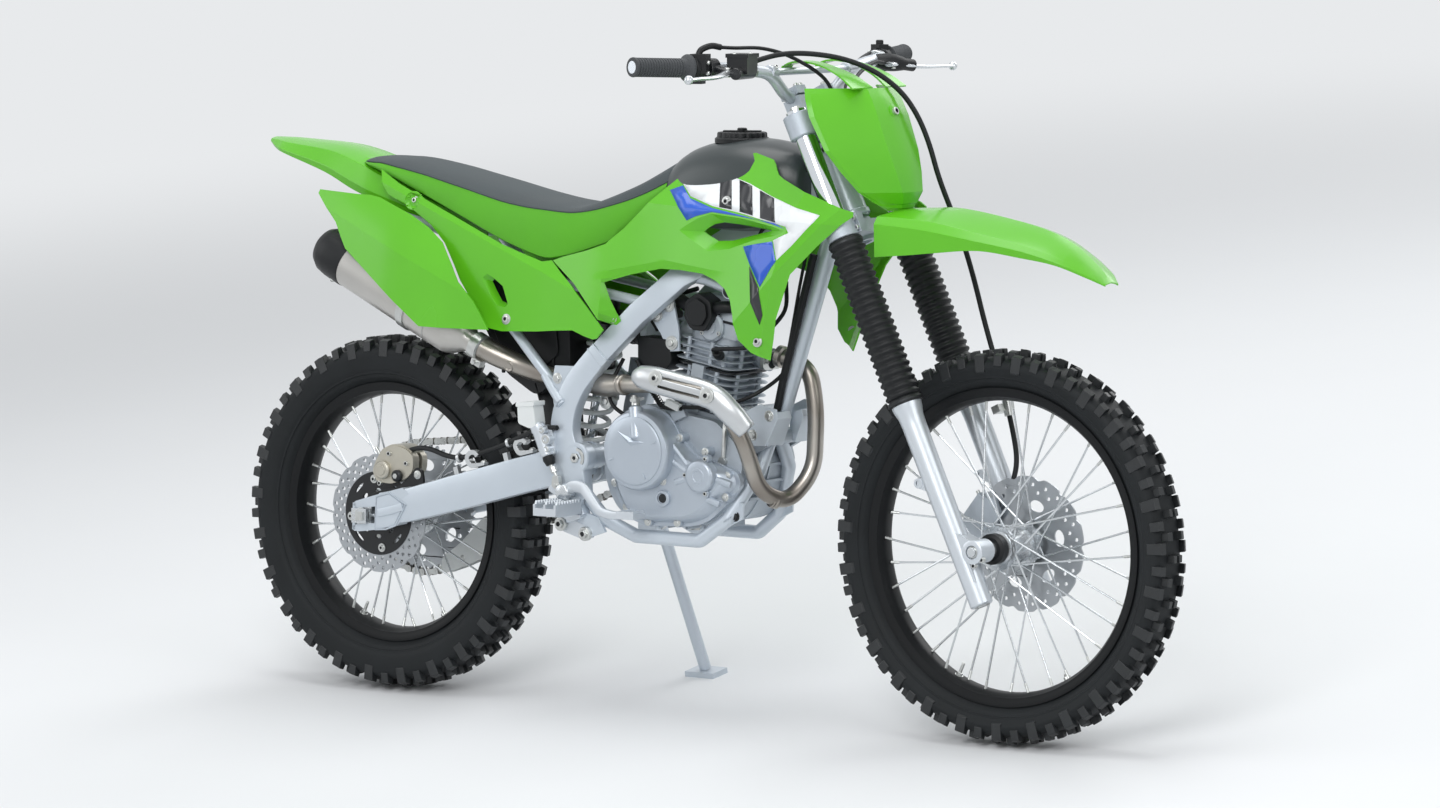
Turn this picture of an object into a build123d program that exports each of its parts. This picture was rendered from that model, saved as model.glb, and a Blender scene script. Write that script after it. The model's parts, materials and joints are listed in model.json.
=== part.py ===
from build123d import *
import math
import os

os.makedirs("parts", exist_ok=True)

# An off-road motorcycle. It is drawn upright, in millimetres: X forward, Y to its left, Z up,
# the rear axle above X = 0 and the ground at Z = 0. Every piece is leaned onto the side stand at the end.

# The whole machine
wheelbase = 1350.0
lean_angle = 9.0

# Wheels
front_radius = 345.0
front_width = 84.0
front_bead = 266.7
rear_radius = 327.0
rear_width = 104.0
rear_bead = 228.6
lug_height = 13.0
lug_rows = 24
lug_length = 36.0
carcass_wall = 6.0
rim_flange = 12.0
crown_half_width = 18.0
rim_wall = 3.5
front_rim_width = 52.0
rear_rim_width = 64.0
spokes_per_wheel = 36
spoke_size = 3.6
hub_radius = 22.0
hub_flange_radius = 37.0
hub_half_width = 40.0
front_disc_radius = 120.0
rear_disc_radius = 110.0
disc_thickness = 3.5
front_disc_y = 52.0
rear_disc_y = -65.0
front_axle_radius = 8.5
rear_axle_radius = 9.5
running_gap = 0.6

# Steering
rake = 25.0
fork_offset = 28.0
axle_lead = 32.0
leg_spread = 98.0
stanchion_radius = 18.5
lower_leg_radius = 21.5
boot_radius = 32.0
lower_leg_top = 651.0
axle_lug_drop = 88.0
boot_top = 950.0
lower_clamp_start = 952.0
lower_clamp_end = 992.0
upper_clamp_start = 1147.0
upper_clamp_end = 1190.0
head_tube_radius = 27.0
stem_radius = 14.0
bar_radius = 11.0
grip_radius = 17.0
grip_length = 122.0
saddle_height = 60.0
hose_radius = 4.7
panel_wall = 3.5

# Frame
down_tube_radius = 16.5
cradle_radius = 12.7
subframe_radius = 9.5
spar_width = 24.0
pivot_x = 499.0
pivot_z = 462.0
pivot_bolt_radius = 9.0
arm_height = 64.0
arm_inner_y = 88.0
arm_outer_y = 116.0

# Drive
chain_pitch = 15.875
rear_teeth = 48
front_teeth = 13
chain_y = 72.0
chain_width = 18.0
chain_plate_height = 15.0
countershaft_x = 565.0
countershaft_z = 470.0
chain_clearance = 12.0

# Engine
cylinder_tilt = 10.0
cylinder_x = 722.0
cylinder_z = 548.0
fin_size = 132.0
fin_pitch = 12.0
fin_thickness = 4.0
fin_count = 6
clutch_x = 643.0
clutch_z = 484.0
clutch_radius = 71.0
crank_x = 776.0
crank_z = 445.0
header_radius = 15.0
header_bend = 36.0
muffler_radius = 46.0

# Side stand
stand_pivot = (500.0, 128.0, 335.0)
stand_foot = (530.0, 236.0)
stand_folded = (-0.97, 0.10, 0.20)
stand_tube_radius = 11.0
stand_pin_radius = 6.0

sin_rake, cos_rake = math.sin(math.radians(rake)), math.cos(math.radians(rake))
front_axle_z = front_radius
axle_x = fork_offset + axle_lead
trail = (front_radius * sin_rake - axle_x) / cos_rake
# The point where the steering axis meets the ground; pieces that steer are measured from it.
steering_foot = (wheelbase + trail, 0, 0)
steering_axis = (-sin_rake, 0, cos_rake)
# The fork's own frame: x ahead of the steering axis, y to the left, z up along the axis.
fork = Plane(origin=steering_foot, x_dir=(cos_rake, 0, sin_rake), z_dir=steering_axis)
axle_z = (front_axle_z - axle_x * sin_rake) / cos_rake


def rod(start, end, radius):
    """A round bar between two points."""
    start, end = Vector(*start), Vector(*end)
    return extrude(Plane(origin=start, z_dir=end - start) * Circle(radius), (end - start).length)


def cross_rod(x, z, y_low, y_high, radius):
    """A round bar that runs across the machine."""
    return rod((x, y_low, z), (x, y_high, z), radius)


def tube(points, radius, bend):
    """A round tube along straight runs joined by bends."""
    path = FilletPolyline(*points, radius=bend)
    return sweep(Plane(origin=path @ 0, z_dir=path % 0) * Circle(radius), path=path)


def plate(outline, y_low, y_high, corner=0):
    """A piece seen from the side: an outline in X and Z, from one Y to another."""
    sketch = Polygon(*outline, align=None)
    if corner:
        sketch = fillet(sketch.vertices(), corner)
    return extrude(Plane.XZ.offset(-y_high) * sketch, y_high - y_low, dir=(0, -1, 0))


def turned(outline, x, z):
    """A ring or disc about an axle line; the outline is (radius, y)."""
    return Pos(x, 0, z) * revolve(make_face(Polyline(*outline, close=True)), Axis.Y)


def both_sides(solid):
    return solid + mirror(solid, about=Plane.XZ)


def section(x, points):
    """A closed outline (y, z) standing across the machine at one X."""
    plane = Plane(origin=(x, 0, 0), x_dir=(0, 1, 0), z_dir=(1, 0, 0))
    return plane * make_face(Polyline(*points, close=True))


def joined(sections):
    return loft(sections, ruled=True)


def corner_radii(points):
    """The largest even arc at each corner of a cord's route."""
    radii = []
    for before, corner, after in zip(points, points[1:], points[2:]):
        arriving, leaving = Vector(*corner) - Vector(*before), Vector(*after) - Vector(*corner)
        half_turn = math.radians(arriving.get_angle(leaving) / 2)
        radii.append(0.45 * min(arriving.length, leaving.length) / math.tan(half_turn))
    return radii


def hose(name, points):
    """A hose of round section along straight runs joined by tangent arcs."""
    radii = corner_radii(points)
    print(name, "radii", [round(radius) for radius in radii])
    path = FilletPolyline(*points, radius=radii)
    return sweep(Plane(origin=path @ 0, z_dir=path % 0) * Circle(hose_radius), path=path)


# Wheels


def faceted(outline, sides):
    """A ring with flat sides; the outline is (radius at the middle of a side, y)."""
    step = 2 * math.pi / sides
    spread = 1 / math.cos(step / 2)

    def corner(radius, y, index):
        turn = (index + 0.5) * step
        return Vector(radius * spread * math.sin(turn), y, -radius * spread * math.cos(turn))
    faces = []
    for index in range(sides):
        for (r1, y1), (r2, y2) in zip(outline, outline[1:] + outline[:1]):
            corners = [corner(r1, y1, index), corner(r2, y2, index), corner(r2, y2, index + 1),
                       corner(r1, y1, index + 1)]
            faces.append(Face(Wire.make_polygon(corners)))
    return Solid(Shell(faces))


def lug(outline, turn):
    """One block of tread: its outline across the tread is (radius, y), and it stands at a turn of the wheel."""
    across = Plane(origin=(lug_length / 2, 0, 0), x_dir=(0, 0, -1), z_dir=(-1, 0, 0))
    return Rot(0, -turn, 0) * extrude(across * Polygon(*outline, align=None), lug_length)


def mirrored(outline):
    return [(radius, -y) for radius, y in reversed(outline)]


def tyre(x, radius, width, bead, rim_width):
    """A knobbly tyre: a hollow carcass seated on its rim, and rows of lugs fused to it."""
    half = width / 2
    seat = rim_width / 2 - rim_wall
    top = bead + rim_flange
    base = radius - lug_height
    wall = carcass_wall
    outline = [
        (base, -half * 0.45), (base, half * 0.45), (base - 16, half * 0.93), (top + 6, half * 0.8), (top, seat),
        (bead + 3.5, seat), (bead + 3.5, seat - wall), (base - wall - 4, half * 0.6),
        (base - wall - 4, -half * 0.6), (bead + 3.5, wall - seat), (bead + 3.5, -seat), (top, -seat),
        (top + 6, -half * 0.8), (base - 16, -half * 0.93),
    ]
    centre = [(base - 3, -crown_half_width), (radius, -crown_half_width), (radius, crown_half_width),
              (base - 3, crown_half_width)]
    beside = [(base - 3, 7), (radius, 7), (radius - 2, half * 0.52), (base - 6, half * 0.52)]
    shoulder = [(base - 10, half * 0.62), (radius - 4, half * 0.6), (radius - 10, half), (base - 20, half * 0.98)]
    lugs = []
    for row in range(lug_rows):
        turn = row * 360 / lug_rows
        blocks = [beside, mirrored(beside)] if row % 2 else [centre]
        lugs += [lug(block, turn) for block in blocks + [shoulder, mirrored(shoulder)]]
    return Pos(x, 0, radius) * faceted(outline, lug_rows).fuse(*lugs)


def rim(x, z, bead, width):
    """A drop-centre rim."""
    half = width / 2
    seat = half - rim_wall
    top = bead + rim_flange
    outline = [
        (top, -half), (top, -seat), (bead + 1.3, -seat), (bead + 1.3, -half * 0.62), (bead - 7, -half * 0.42),
        (bead - 7, half * 0.42), (bead + 1.3, half * 0.62), (bead + 1.3, seat), (top, seat), (top, half),
        (bead - 2, half - 1), (bead - 11, half * 0.42), (bead - 11, -half * 0.42), (bead - 2, 1 - half),
    ]
    return turned(outline, x, z)


def spoke_set(x, z, hub_r, hub_y, rim_r, rim_y):
    """Crossed spokes, half of them from each hub flange."""
    spokes = Part()
    step = 360 / spokes_per_wheel
    for index in range(spokes_per_wheel):
        side = 1 if index % 2 else -1
        lead = 62 if (index // 2) % 2 else -62
        rim_angle = math.radians(index * step)
        hub_angle = rim_angle + math.radians(lead)
        start = Vector(x + hub_r * math.cos(hub_angle), side * hub_y, z + hub_r * math.sin(hub_angle))
        end = Vector(x + rim_r * math.cos(rim_angle), side * rim_y, z + rim_r * math.sin(rim_angle))
        line = Plane(origin=start, z_dir=end - start)
        spokes += extrude(line * Rectangle(spoke_size, spoke_size), (end - start).length)
    return spokes


def hub(x, z, axle_radius, bead, left_carrier, right_carrier, wheel_rim):
    """The hub with its flanges and spokes; a carrier is the (y, radius) of a disc or sprocket seat."""
    bore = axle_radius + running_gap
    flange_y = hub_half_width
    outline = [
        (bore, right_carrier[0]), (right_carrier[1], right_carrier[0]),
        (right_carrier[1], right_carrier[0] + 7), (hub_radius + 4, right_carrier[0] + 7),
        (hub_radius + 4, -flange_y), (hub_flange_radius, -flange_y), (hub_flange_radius, 6 - flange_y),
        (hub_radius, 14 - flange_y), (hub_radius, flange_y - 14), (hub_flange_radius, flange_y - 6),
        (hub_flange_radius, flange_y), (hub_radius + 4, flange_y), (hub_radius + 4, left_carrier[0] - 7),
        (left_carrier[1], left_carrier[0] - 7), (left_carrier[1], left_carrier[0]), (bore, left_carrier[0]),
    ]
    body = turned(outline, x, z)
    spokes = spoke_set(x, z, hub_flange_radius - 5, flange_y - 3, bead - 9, 6) - wheel_rim
    return body.fuse(*spokes.solids())


def disc(x, z, y, radius, inner_radius, holes):
    """A brake disc with a waved edge and drilled holes."""
    waves = 12
    blank = Plane.XZ.offset(-y - disc_thickness) * Circle(radius - 3)
    body = extrude(blank, disc_thickness)
    bites = [
        cross_rod(radius * 1.03 * math.cos(turn), radius * 1.03 * math.sin(turn), y - 1, y + disc_thickness + 1, 9)
        for turn in (math.radians(360 / waves * index) for index in range(waves))
    ]
    drilled = [
        cross_rod(radius * 0.84 * math.cos(turn), radius * 0.84 * math.sin(turn), y - 1, y + disc_thickness + 1, 4)
        for turn in (math.radians(360 / holes * index + 15) for index in range(holes))
    ]
    centre = cross_rod(0, 0, y - 1, y + disc_thickness + 1, inner_radius)
    return Pos(x, 0, z) * (body - bites - drilled - centre)


def sprocket(x, z, teeth, tip_radius, inner_radius, thickness):
    """A toothed wheel on the chain line."""
    root = tip_radius - 7
    points = []
    for index in range(teeth):
        for share, radius in ((-0.28, root), (-0.1, tip_radius), (0.1, tip_radius), (0.28, root)):
            turn = 2 * math.pi * (index + share) / teeth
            points.append((radius * math.cos(turn), radius * math.sin(turn)))
    body = plate(points, chain_y - thickness / 2, chain_y + thickness / 2)
    return Pos(x, 0, z) * (body - cross_rod(0, 0, 0, 2 * chain_y, inner_radius))


# Steering, drawn in the fork's own frame


def in_fork(solid):
    return fork.location * solid


def leg(start, end, radius, side):
    return extrude(Plane.XY.offset(start) * Pos(fork_offset, side * leg_spread) * Circle(radius), end - start)


def clamp(start, end, half_width):
    """A triple clamp: two leg rings joined to the stem."""
    lobes = Circle(26)
    for side in (-1, 1):
        lobes += Pos(fork_offset, side * leg_spread) * Circle(half_width)
    web = make_hull(lobes.edges())
    return extrude(Plane.XY.offset(start) * web, end - start)


def fork_clamps():
    body = clamp(lower_clamp_start, lower_clamp_end, 29) + clamp(upper_clamp_start, upper_clamp_end, 27)
    body += extrude(Plane.XY.offset(lower_clamp_start) * Circle(stem_radius), upper_clamp_end - lower_clamp_start + 8)
    for side in (-1, 1):
        body -= leg(lower_clamp_start - 1, upper_clamp_end + 1, stanchion_radius, side)
        body += Pos(0, side * 42, upper_clamp_end + saddle_height / 2) * Box(34, 30, saddle_height)
    return in_fork(body) - handlebar()


def fork_tubes():
    solids = Part()
    for side in (-1, 1):
        solids += leg(lower_leg_top, upper_clamp_end + 6, stanchion_radius, side)
    return in_fork(solids)


def fork_boots():
    """Bellows over the sliding part of each leg."""
    folds = 9
    inner = stanchion_radius + 3.5
    length = boot_top - lower_leg_top
    outline = [(inner, 0)]
    for index in range(folds):
        outline += [(boot_radius - 5, length * index / folds + 1), (boot_radius, length * (index + 0.5) / folds)]
    outline += [(boot_radius - 5, length - 1), (inner, length)]
    face = make_face(Polyline(*[(r, 0, h) for r, h in outline], close=True))
    bellows = revolve(face, Axis.Z)
    solids = Part()
    for side in (-1, 1):
        solids += Pos(fork_offset, side * leg_spread, lower_leg_top) * bellows
    return in_fork(solids)


def fork_lowers():
    """The sliding legs, each with an axle lug ahead of it."""
    solids = Part()
    for side in (-1, 1):
        body = leg(axle_z - axle_lug_drop, lower_leg_top, lower_leg_radius, side)
        body += leg(lower_leg_top - 26, lower_leg_top, lower_leg_radius + 4, side)
        lug = Pos(axle_x, side * leg_spread, axle_z) * Rot(90, 0, 0) * Cylinder(20, 40)
        web = Pos(fork_offset + axle_lead / 2, side * leg_spread, axle_z - 12) * Box(axle_lead, 34, 56)
        solids += body + lug + web
    return in_fork(solids) - front_axle()


def front_axle():
    body = cross_rod(wheelbase, front_axle_z, -leg_spread - 26, leg_spread + 26, front_axle_radius)
    for side in (-1, 1):
        body += cross_rod(wheelbase, front_axle_z, side * 60, side * (leg_spread - 20), 15)
        body += cross_rod(wheelbase, front_axle_z, side * (leg_spread + 20), side * (leg_spread + 30), 13)
    return body


def from_foot(back, y, z):
    """A point that lies so far behind the foot of the steering axis."""
    return (steering_foot[0] - back, y, z)


bar_half = [from_foot(*point) for point in (
    (521.7, 0, 1117), (521.7, -66, 1117), (517.7, -124, 1163), (532.7, -196, 1172), (601.7, -417.5, 1180))]
bar_middle = 55.0
bar_bend = 26.0
brace_end = from_foot(518.7, -126, 1164)
brace_radius = 6.5


def handlebar():
    """A braced handlebar, straight in the middle where it is clamped."""
    x, _, z = bar_half[0]
    half = tube([(x, -bar_middle, z)] + bar_half[1:], bar_radius, bar_bend)
    body = both_sides(half) + cross_rod(x, z, -bar_middle, bar_middle, bar_radius)
    return body + rod(brace_end, (brace_end[0], -brace_end[1], brace_end[2]), brace_radius)


def grip_line(side, inset):
    inner, outer = Vector(*bar_half[-2]), Vector(*bar_half[-1])
    point = outer + (inner - outer).normalized() * inset
    return Vector(point.X, side * abs(point.Y), point.Z)


def grips():
    """Rubber grips with the throttle housing and the switch beside them."""
    body = Part()
    for side in (-1, 1):
        body += rod(grip_line(side, 0), grip_line(side, grip_length), grip_radius)
        body += rod(grip_line(side, grip_length), grip_line(side, grip_length + 26), 24)
    return body - handlebar()


def levers():
    """Brake lever and its master cylinder on the right, clutch lever and its perch on the left."""
    body = Part()
    for side in (-1, 1):
        perch = grip_line(side, grip_length + 48)
        pivot = perch + Vector(36, 0, -7)
        body += rod(grip_line(side, grip_length + 38), grip_line(side, grip_length + 58), 18)
        body += rod(perch, pivot, 9)
        tip = grip_line(side, 12) + Vector(110, 0, -20)
        bend = Vector(pivot.X + 14, side * (abs(pivot.Y) + 40), pivot.Z - 4)
        body += tube([pivot, bend, tip], 6, 20) + Pos(tip) * Cylinder(8, 14)
    reservoir = grip_line(-1, grip_length + 62)
    body += Pos(reservoir.X + 38, reservoir.Y + 16, reservoir.Z + 6) * Box(40, 60, 34)
    return body - handlebar() - grips()


def front_number_plate():
    """The faceted plate ahead of the handlebar."""
    rows = [
        (1135, 446.7, 110, 368.7, 42), (1088, 428.7, 127, 340.7, 48), (1029, 400.7, 121, 318.7, 46),
        (956, 354.7, 82, 298.7, 30), (934, 336.7, 40, 298.7, 12),
    ]
    sheets = []
    for z, side_back, side_y, front_back, front_y in rows:
        wall = panel_wall
        points = [
            (-side_back, side_y), (-front_back, front_y), (-front_back, -front_y), (-side_back, -side_y),
            (-side_back - wall, wall - side_y), (-front_back - wall, wall - front_y),
            (-front_back - wall, front_y - wall), (-side_back - wall, side_y - wall),
        ]
        sheets.append(Plane.XY.offset(z) * make_face(Polyline(*points, close=True)))
    return Pos(steering_foot) * joined(sheets)


def fender_section(x, centre_z, half, drop, crown, wall):
    """An arched sheet: a raised middle, shoulders and turned-down edges."""
    outer = [
        (-half, centre_z - drop), (-half * 0.9, centre_z - crown), (-half * 0.45, centre_z - crown * 0.25),
        (0, centre_z), (half * 0.45, centre_z - crown * 0.25), (half * 0.9, centre_z - crown),
        (half, centre_z - drop),
    ]
    inner = [(y * (1 - wall / half), z - wall) for y, z in reversed(outer)]
    inner[0] = (half - wall, centre_z - drop)
    inner[-1] = (wall - half, centre_z - drop)
    return section(x, outer + inner)


def front_fender():
    stations = [
        (309.7, 922, 96, 34, 12), (200.7, 928, 96, 60, 16), (105.7, 915, 88, 48, 18),
        (-6.3, 892, 76, 42, 18), (-109.3, 812, 34, 12, 6),
    ]
    body = joined([fender_section(steering_foot[0] - back, z, half, drop, crown, panel_wall)
                   for back, z, half, drop, crown in stations])
    leg_room = stanchion_radius + 9
    return body - in_fork(leg(900, 1000, leg_room, 1) + leg(900, 1000, leg_room, -1))


def front_brake_caliper():
    """The caliper on the left leg, measured back and up from the axle."""
    outline = [(-139, -18), (-130, 40), (-98, 86), (-48, 92), (-32, 60), (-60, -35), (-98, -50)]
    body = plate([(wheelbase + x, front_axle_z + z) for x, z in outline], 43, 78, 8)
    slot = cross_rod(wheelbase, front_axle_z, front_disc_y - 4, front_disc_y + disc_thickness + 4,
                     front_disc_radius + 8)
    return body - slot - fork_lowers()


def front_brake_hose():
    """From the master cylinder, ahead of the number plate and down the left leg to the caliper."""
    route = [
        (514.7, -204, 1180), (500.7, -160, 1192), (486.7, -118, 1198), (460.7, -76, 1197), (420.7, -36, 1188),
        (378.7, 0, 1166), (344.7, 32, 1130), (322.7, 52, 1086), (306.7, 64, 1036), (296.7, 74, 984),
        (285.7, 88, 938), (274.7, 104, 894), (260.7, 112, 846), (244.7, 117, 790), (228.7, 121, 726),
        (206.7, 124, 656), (182.7, 121, 590), (162.7, 116, 530), (144.7, 102, 484), (142.7, 84, 446),
        (148.7, 72, 424), (152.7, 66, 406),
    ]
    body = hose("front_brake_hose", [from_foot(*point) for point in route])
    return body - levers() - front_brake_caliper()


# Frame


def frame_head():
    """Head tube, backbone and down tube; their front ends lie on the steering axis."""
    head_low, head_high = lower_clamp_end + 5, upper_clamp_start - 5

    def on_axis(height):
        return steering_foot[0] - height * sin_rake, height * cos_rake
    head = in_fork(extrude(Plane.XY.offset(head_low) * Circle(head_tube_radius), head_high - head_low))
    low_x, low_z = on_axis(head_low + 52)
    down = rod((low_x, 0, low_z), (848, 0, 500), down_tube_radius)
    backbone = plate([on_axis(head_high - 32), on_axis(head_low + 34), (760, 800), (715, 800), (700, 850)], -20, 20)
    gusset = plate([on_axis(head_low + 60), on_axis(head_low + 30), (912, 705), (900, 735)], -7, 7)
    body = head + down + backbone + gusset
    return body - in_fork(extrude(Plane.XY.offset(head_low - 60) * Circle(stem_radius + running_gap),
                                  head_high - head_low + 120))


def frame_spars():
    """Square spars from the backbone down to the swingarm pivot plates."""
    body = Part()
    centres = [(745, -44, 822), (705, -80, 795), (622, -95, 728), (537, -102, 644), (478, -106, 585), (463, -108, 510)]
    for start, end in zip(centres, centres[1:]):
        body += rod(start, end, spar_width * 0.6)
    outline = [(440, 560), (500, 600), (530, 560), (525, 480), (520, 400), (500, 360), (468, 370), (462, 430), (455, 500)]
    body += plate(outline, -118, -104, 6)
    return both_sides(body) + cross_rod(pivot_x, pivot_z, -124, 124, pivot_bolt_radius)


def frame_cradle():
    body = tube([(852, -12, 512), (850, -45, 455), (805, -82, 365), (752, -90, 325), (610, -90, 325),
                 (545, -96, 352), (505, -100, 395)], cradle_radius, 18)
    body = both_sides(body) + plate([(480, 310), (480, 365), (520, 365), (520, 310)], 92, 111, 6)
    body += stand_hinge(-24, 12, stand_pin_radius)
    return body - frame_head() - frame_spars()


def subframe():
    rail = tube([(640, -82, 742), (430, -84, 775), (180, -80, 852), (-30, -66, 912)], subframe_radius, 60)
    strut = tube([(470, -106, 560), (400, -106, 630), (180, -80, 838)], subframe_radius, 60)
    return both_sides(rail + strut) + rod((180, -80, 852), (180, 80, 852), subframe_radius) - frame_spars()


# Engine and exhaust


def tilted(solid):
    """Places a piece drawn on a vertical cylinder axis onto the engine's leaning one."""
    return Pos(cylinder_x, 0, cylinder_z) * Rot(0, cylinder_tilt, 0) * solid


def crankcase():
    outline = [(560, 520), (600, 566), (690, 556), (780, 540), (812, 480), (806, 410), (768, 362), (600, 347),
               (548, 392), (540, 450)]
    body = plate(outline, -80, 74, 24)
    body -= cross_rod(countershaft_x, countershaft_z, 40, 100, 46) + chain_space()
    output = cross_rod(countershaft_x, countershaft_z, 30, chain_y + 10, 12)
    front_sprocket = sprocket(countershaft_x, countershaft_z, front_teeth, 27, 10, 7)
    body -= cross_rod(pivot_x, pivot_z, -100, 100, 34)
    return body + output + front_sprocket


def engine_covers():
    """Clutch and crank covers on the right, generator cover on the left."""
    right = cross_rod(clutch_x, clutch_z, -146, -86, clutch_radius)
    right += cross_rod(crank_x, crank_z, -138, -86, 29)
    right += plate([(584, 377), (627, 346), (724, 352), (766, 379), (789, 410), (832, 434), (838, 450), (795, 462),
                    (752, 486), (722, 520), (640, 562), (580, 536), (566, 440)], -118, -86, 6)
    left = cross_rod(735, 440, 78, 112, 66)
    return right + left


def cylinder():
    half = fin_size / 2
    body = Pos(0, 0, 44) * Cylinder(46, 88)
    for index in range(fin_count):
        fin = RectangleRounded(fin_size, fin_size, 18)
        body += extrude(Plane.XY.offset(14 + index * fin_pitch) * fin, fin_thickness)
    return tilted(body) - crankcase()


def cylinder_head():
    base = 88
    body = Pos(0, 0, base + 40) * Box(96, 96, 80)
    for index in range(4):
        fin = RectangleRounded(fin_size, fin_size, 18)
        body += extrude(Plane.XY.offset(base + 6 + index * fin_pitch) * fin, fin_thickness)
    body += Pos(0, 0, base + 96) * Box(112, 104, 40)
    body += Pos(0, 0, base + 124) * Box(80, 84, 20)
    port = Pos(62, 30, base + 24) * Rot(0, 90, 0) * Cylinder(20, 50)
    intake = Pos(-62, 0, base + 40) * Rot(0, 90, 0) * Cylinder(19, 50)
    return tilted(body + port + intake)


def carburettor():
    body = rod((478, 30, 690), (655, 4, 690), 24)
    body += Pos(600, 12, 680) * Box(46, 60, 96)
    return body - cylinder_head() - frame_spars() - rear_shock()


def airbox():
    body = plate([(240, 690), (268, 800), (410, 765), (440, 735), (440, 610), (360, 560), (290, 600)], -62, 84, 16)
    return body - rear_shock() - subframe() - muffler() - exhaust_header()


def exhaust_header():
    points = [(835, 30, 652), (902, 34, 636), (920, 30, 560), (922, 20, 450), (895, -25, 396), (872, -78, 420),
              (858, -112, 520), (820, -136, 590), (690, -140, 606), (600, -112, 598), (520, -76, 592),
              (430, -74, 598), (350, -84, 618), (268, -108, 652)]
    pipe = tube(points, header_radius, header_bend)
    return pipe - cylinder_head()


def heat_shield():
    shield = tube([(884, -134, 528), (824, -160, 596), (690, -164, 612), (634, -150, 606)], 17, 30)
    return shield - exhaust_header() - engine_covers()


def muffler():
    start, end = Vector(268, -108, 652), Vector(-93, -108, 824)
    along = (end - start).normalized()
    length = (end - start).length
    outline = [(0, 0), (22, 0), (22, 18), (muffler_radius, 56), (muffler_radius, length - 26),
               (muffler_radius - 8, length - 8), (20, length), (20, length - 40), (0, length - 40)]
    face = make_face(Polyline(*[(r, 0, h) for r, h in outline], close=True))
    return Plane(origin=start, z_dir=along).location * revolve(face, Axis.Z)


# Rear suspension and drive


def swingarm():
    """A box-section swingarm with an open cross-member."""
    half = arm_height / 2
    outline = [(-24, 302), (-10, 354), (20, 366), (158, 355 + half), (405, 442 + half), (480, 486), (520, 470),
               (520, 440), (405, 442 - half), (158, 355 - half), (20, 292)]
    plan = [(-70, arm_inner_y), (-70, arm_outer_y), (330, arm_outer_y), (430, 101), (540, 101), (540, 74),
            (420, 74), (320, arm_inner_y)]
    arm = plate(outline, 60, 130, 6) & extrude(make_face(Polyline(*plan, close=True)), 700)
    cross = plate([(352, 386), (352, 436), (392, 446), (392, 396)], -arm_inner_y, arm_inner_y, 6)
    tabs = plate([(380, 392), (380, 428), (440, 444), (440, 404)], 27, 35, 6)
    body = both_sides(arm + tabs) + cross + cross_rod(pivot_x, pivot_z, -101, 101, 20)
    body -= cross_rod(pivot_x, pivot_z, -200, 200, pivot_bolt_radius)
    return body - cross_rod(0, rear_radius, -200, 200, rear_axle_radius) - rear_shock()


def rear_axle():
    body = cross_rod(0, rear_radius, -arm_outer_y - 14, arm_outer_y + 14, rear_axle_radius)
    for side in (-1, 1):
        body += cross_rod(0, rear_radius, side * 80, side * arm_inner_y, 18)
        body += cross_rod(0, rear_radius, side * arm_outer_y, side * (arm_outer_y + 10), 15)
    return body


def rear_shock():
    low, high = Vector(426, 0, 424), Vector(492, 0, 745)
    along = (high - low).normalized()
    body = rod(low, low + along * 110, 20) + rod(low + along * 90, low + along * 290, 36)
    return body + rod(low + along * 290, high, 16) + cross_rod(low.X, low.Z, -36, 36, 9)


def chain_radii():
    """The pitch circles of the two sprockets."""
    return [chain_pitch / 2 / math.sin(math.pi / teeth) for teeth in (rear_teeth, front_teeth)]


def chain_line(distance, grow):
    """A point so far along the chain's pitch line, moved outwards from it, and the line's whole length."""
    rear_r, front_r = chain_radii()
    span = math.hypot(countershaft_x, countershaft_z - rear_radius)
    slope = math.atan2(countershaft_z - rear_radius, countershaft_x)
    spread = math.acos((rear_r - front_r) / span)
    run = span * math.sin(spread)
    rear_arc, front_arc = rear_r * 2 * (math.pi - spread), front_r * 2 * spread
    total = rear_arc + front_arc + 2 * run
    distance %= total
    if distance < rear_arc:
        turn, x, z, radius, along = slope + spread + distance / rear_r, 0, rear_radius, rear_r, 0
    elif distance < rear_arc + run:
        turn, x, z, radius, along = slope - spread, 0, rear_radius, rear_r, distance - rear_arc
    elif distance < total - run:
        turn = slope - spread + (distance - rear_arc - run) / front_r
        x, z, radius, along = countershaft_x, countershaft_z, front_r, 0
    else:
        turn, x, z, radius, along = slope + spread, countershaft_x, countershaft_z, front_r, distance - total + run
    reach = radius + grow
    return (x + reach * math.cos(turn) - along * math.sin(turn), z + reach * math.sin(turn) + along * math.cos(turn),
            total)


def chain():
    """One closed loop of chain: the plates are widest at the pins and waisted between them."""
    links = round(chain_line(0, 0)[2] / chain_pitch)
    step = chain_line(0, 0)[2] / links
    outer = []
    for index in range(links):
        outer += [chain_line(index * step, chain_plate_height / 2)[:2],
                  chain_line((index + 0.5) * step, chain_plate_height / 2 - 2)[:2]]
    inner = [chain_line(index * step, -4.2)[:2] for index in range(links)]
    return (plate(outer, chain_y - chain_width / 2, chain_y + chain_width / 2)
            - plate(inner, chain_y - chain_width, chain_y + chain_width))


def chain_guide():
    """A block under the swingarm that leads the chain onto the rear sprocket."""
    rear_r, front_r = chain_radii()

    def lower_run(x):
        return rear_radius - rear_r + x * (countershaft_z - front_r - rear_radius + rear_r) / countershaft_x
    outline = [(52, lower_run(52) - 24), (48, lower_run(48) + 12), (96, lower_run(96) + 26), (150, lower_run(150) + 55),
               (235, lower_run(235) + 50), (235, lower_run(235) - 32), (150, lower_run(150) - 27),
               (100, lower_run(100) - 27)]
    body = plate(outline, chain_y - 15, chain_y + 15, 5)
    return body - chain_space() - swingarm()


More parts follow.
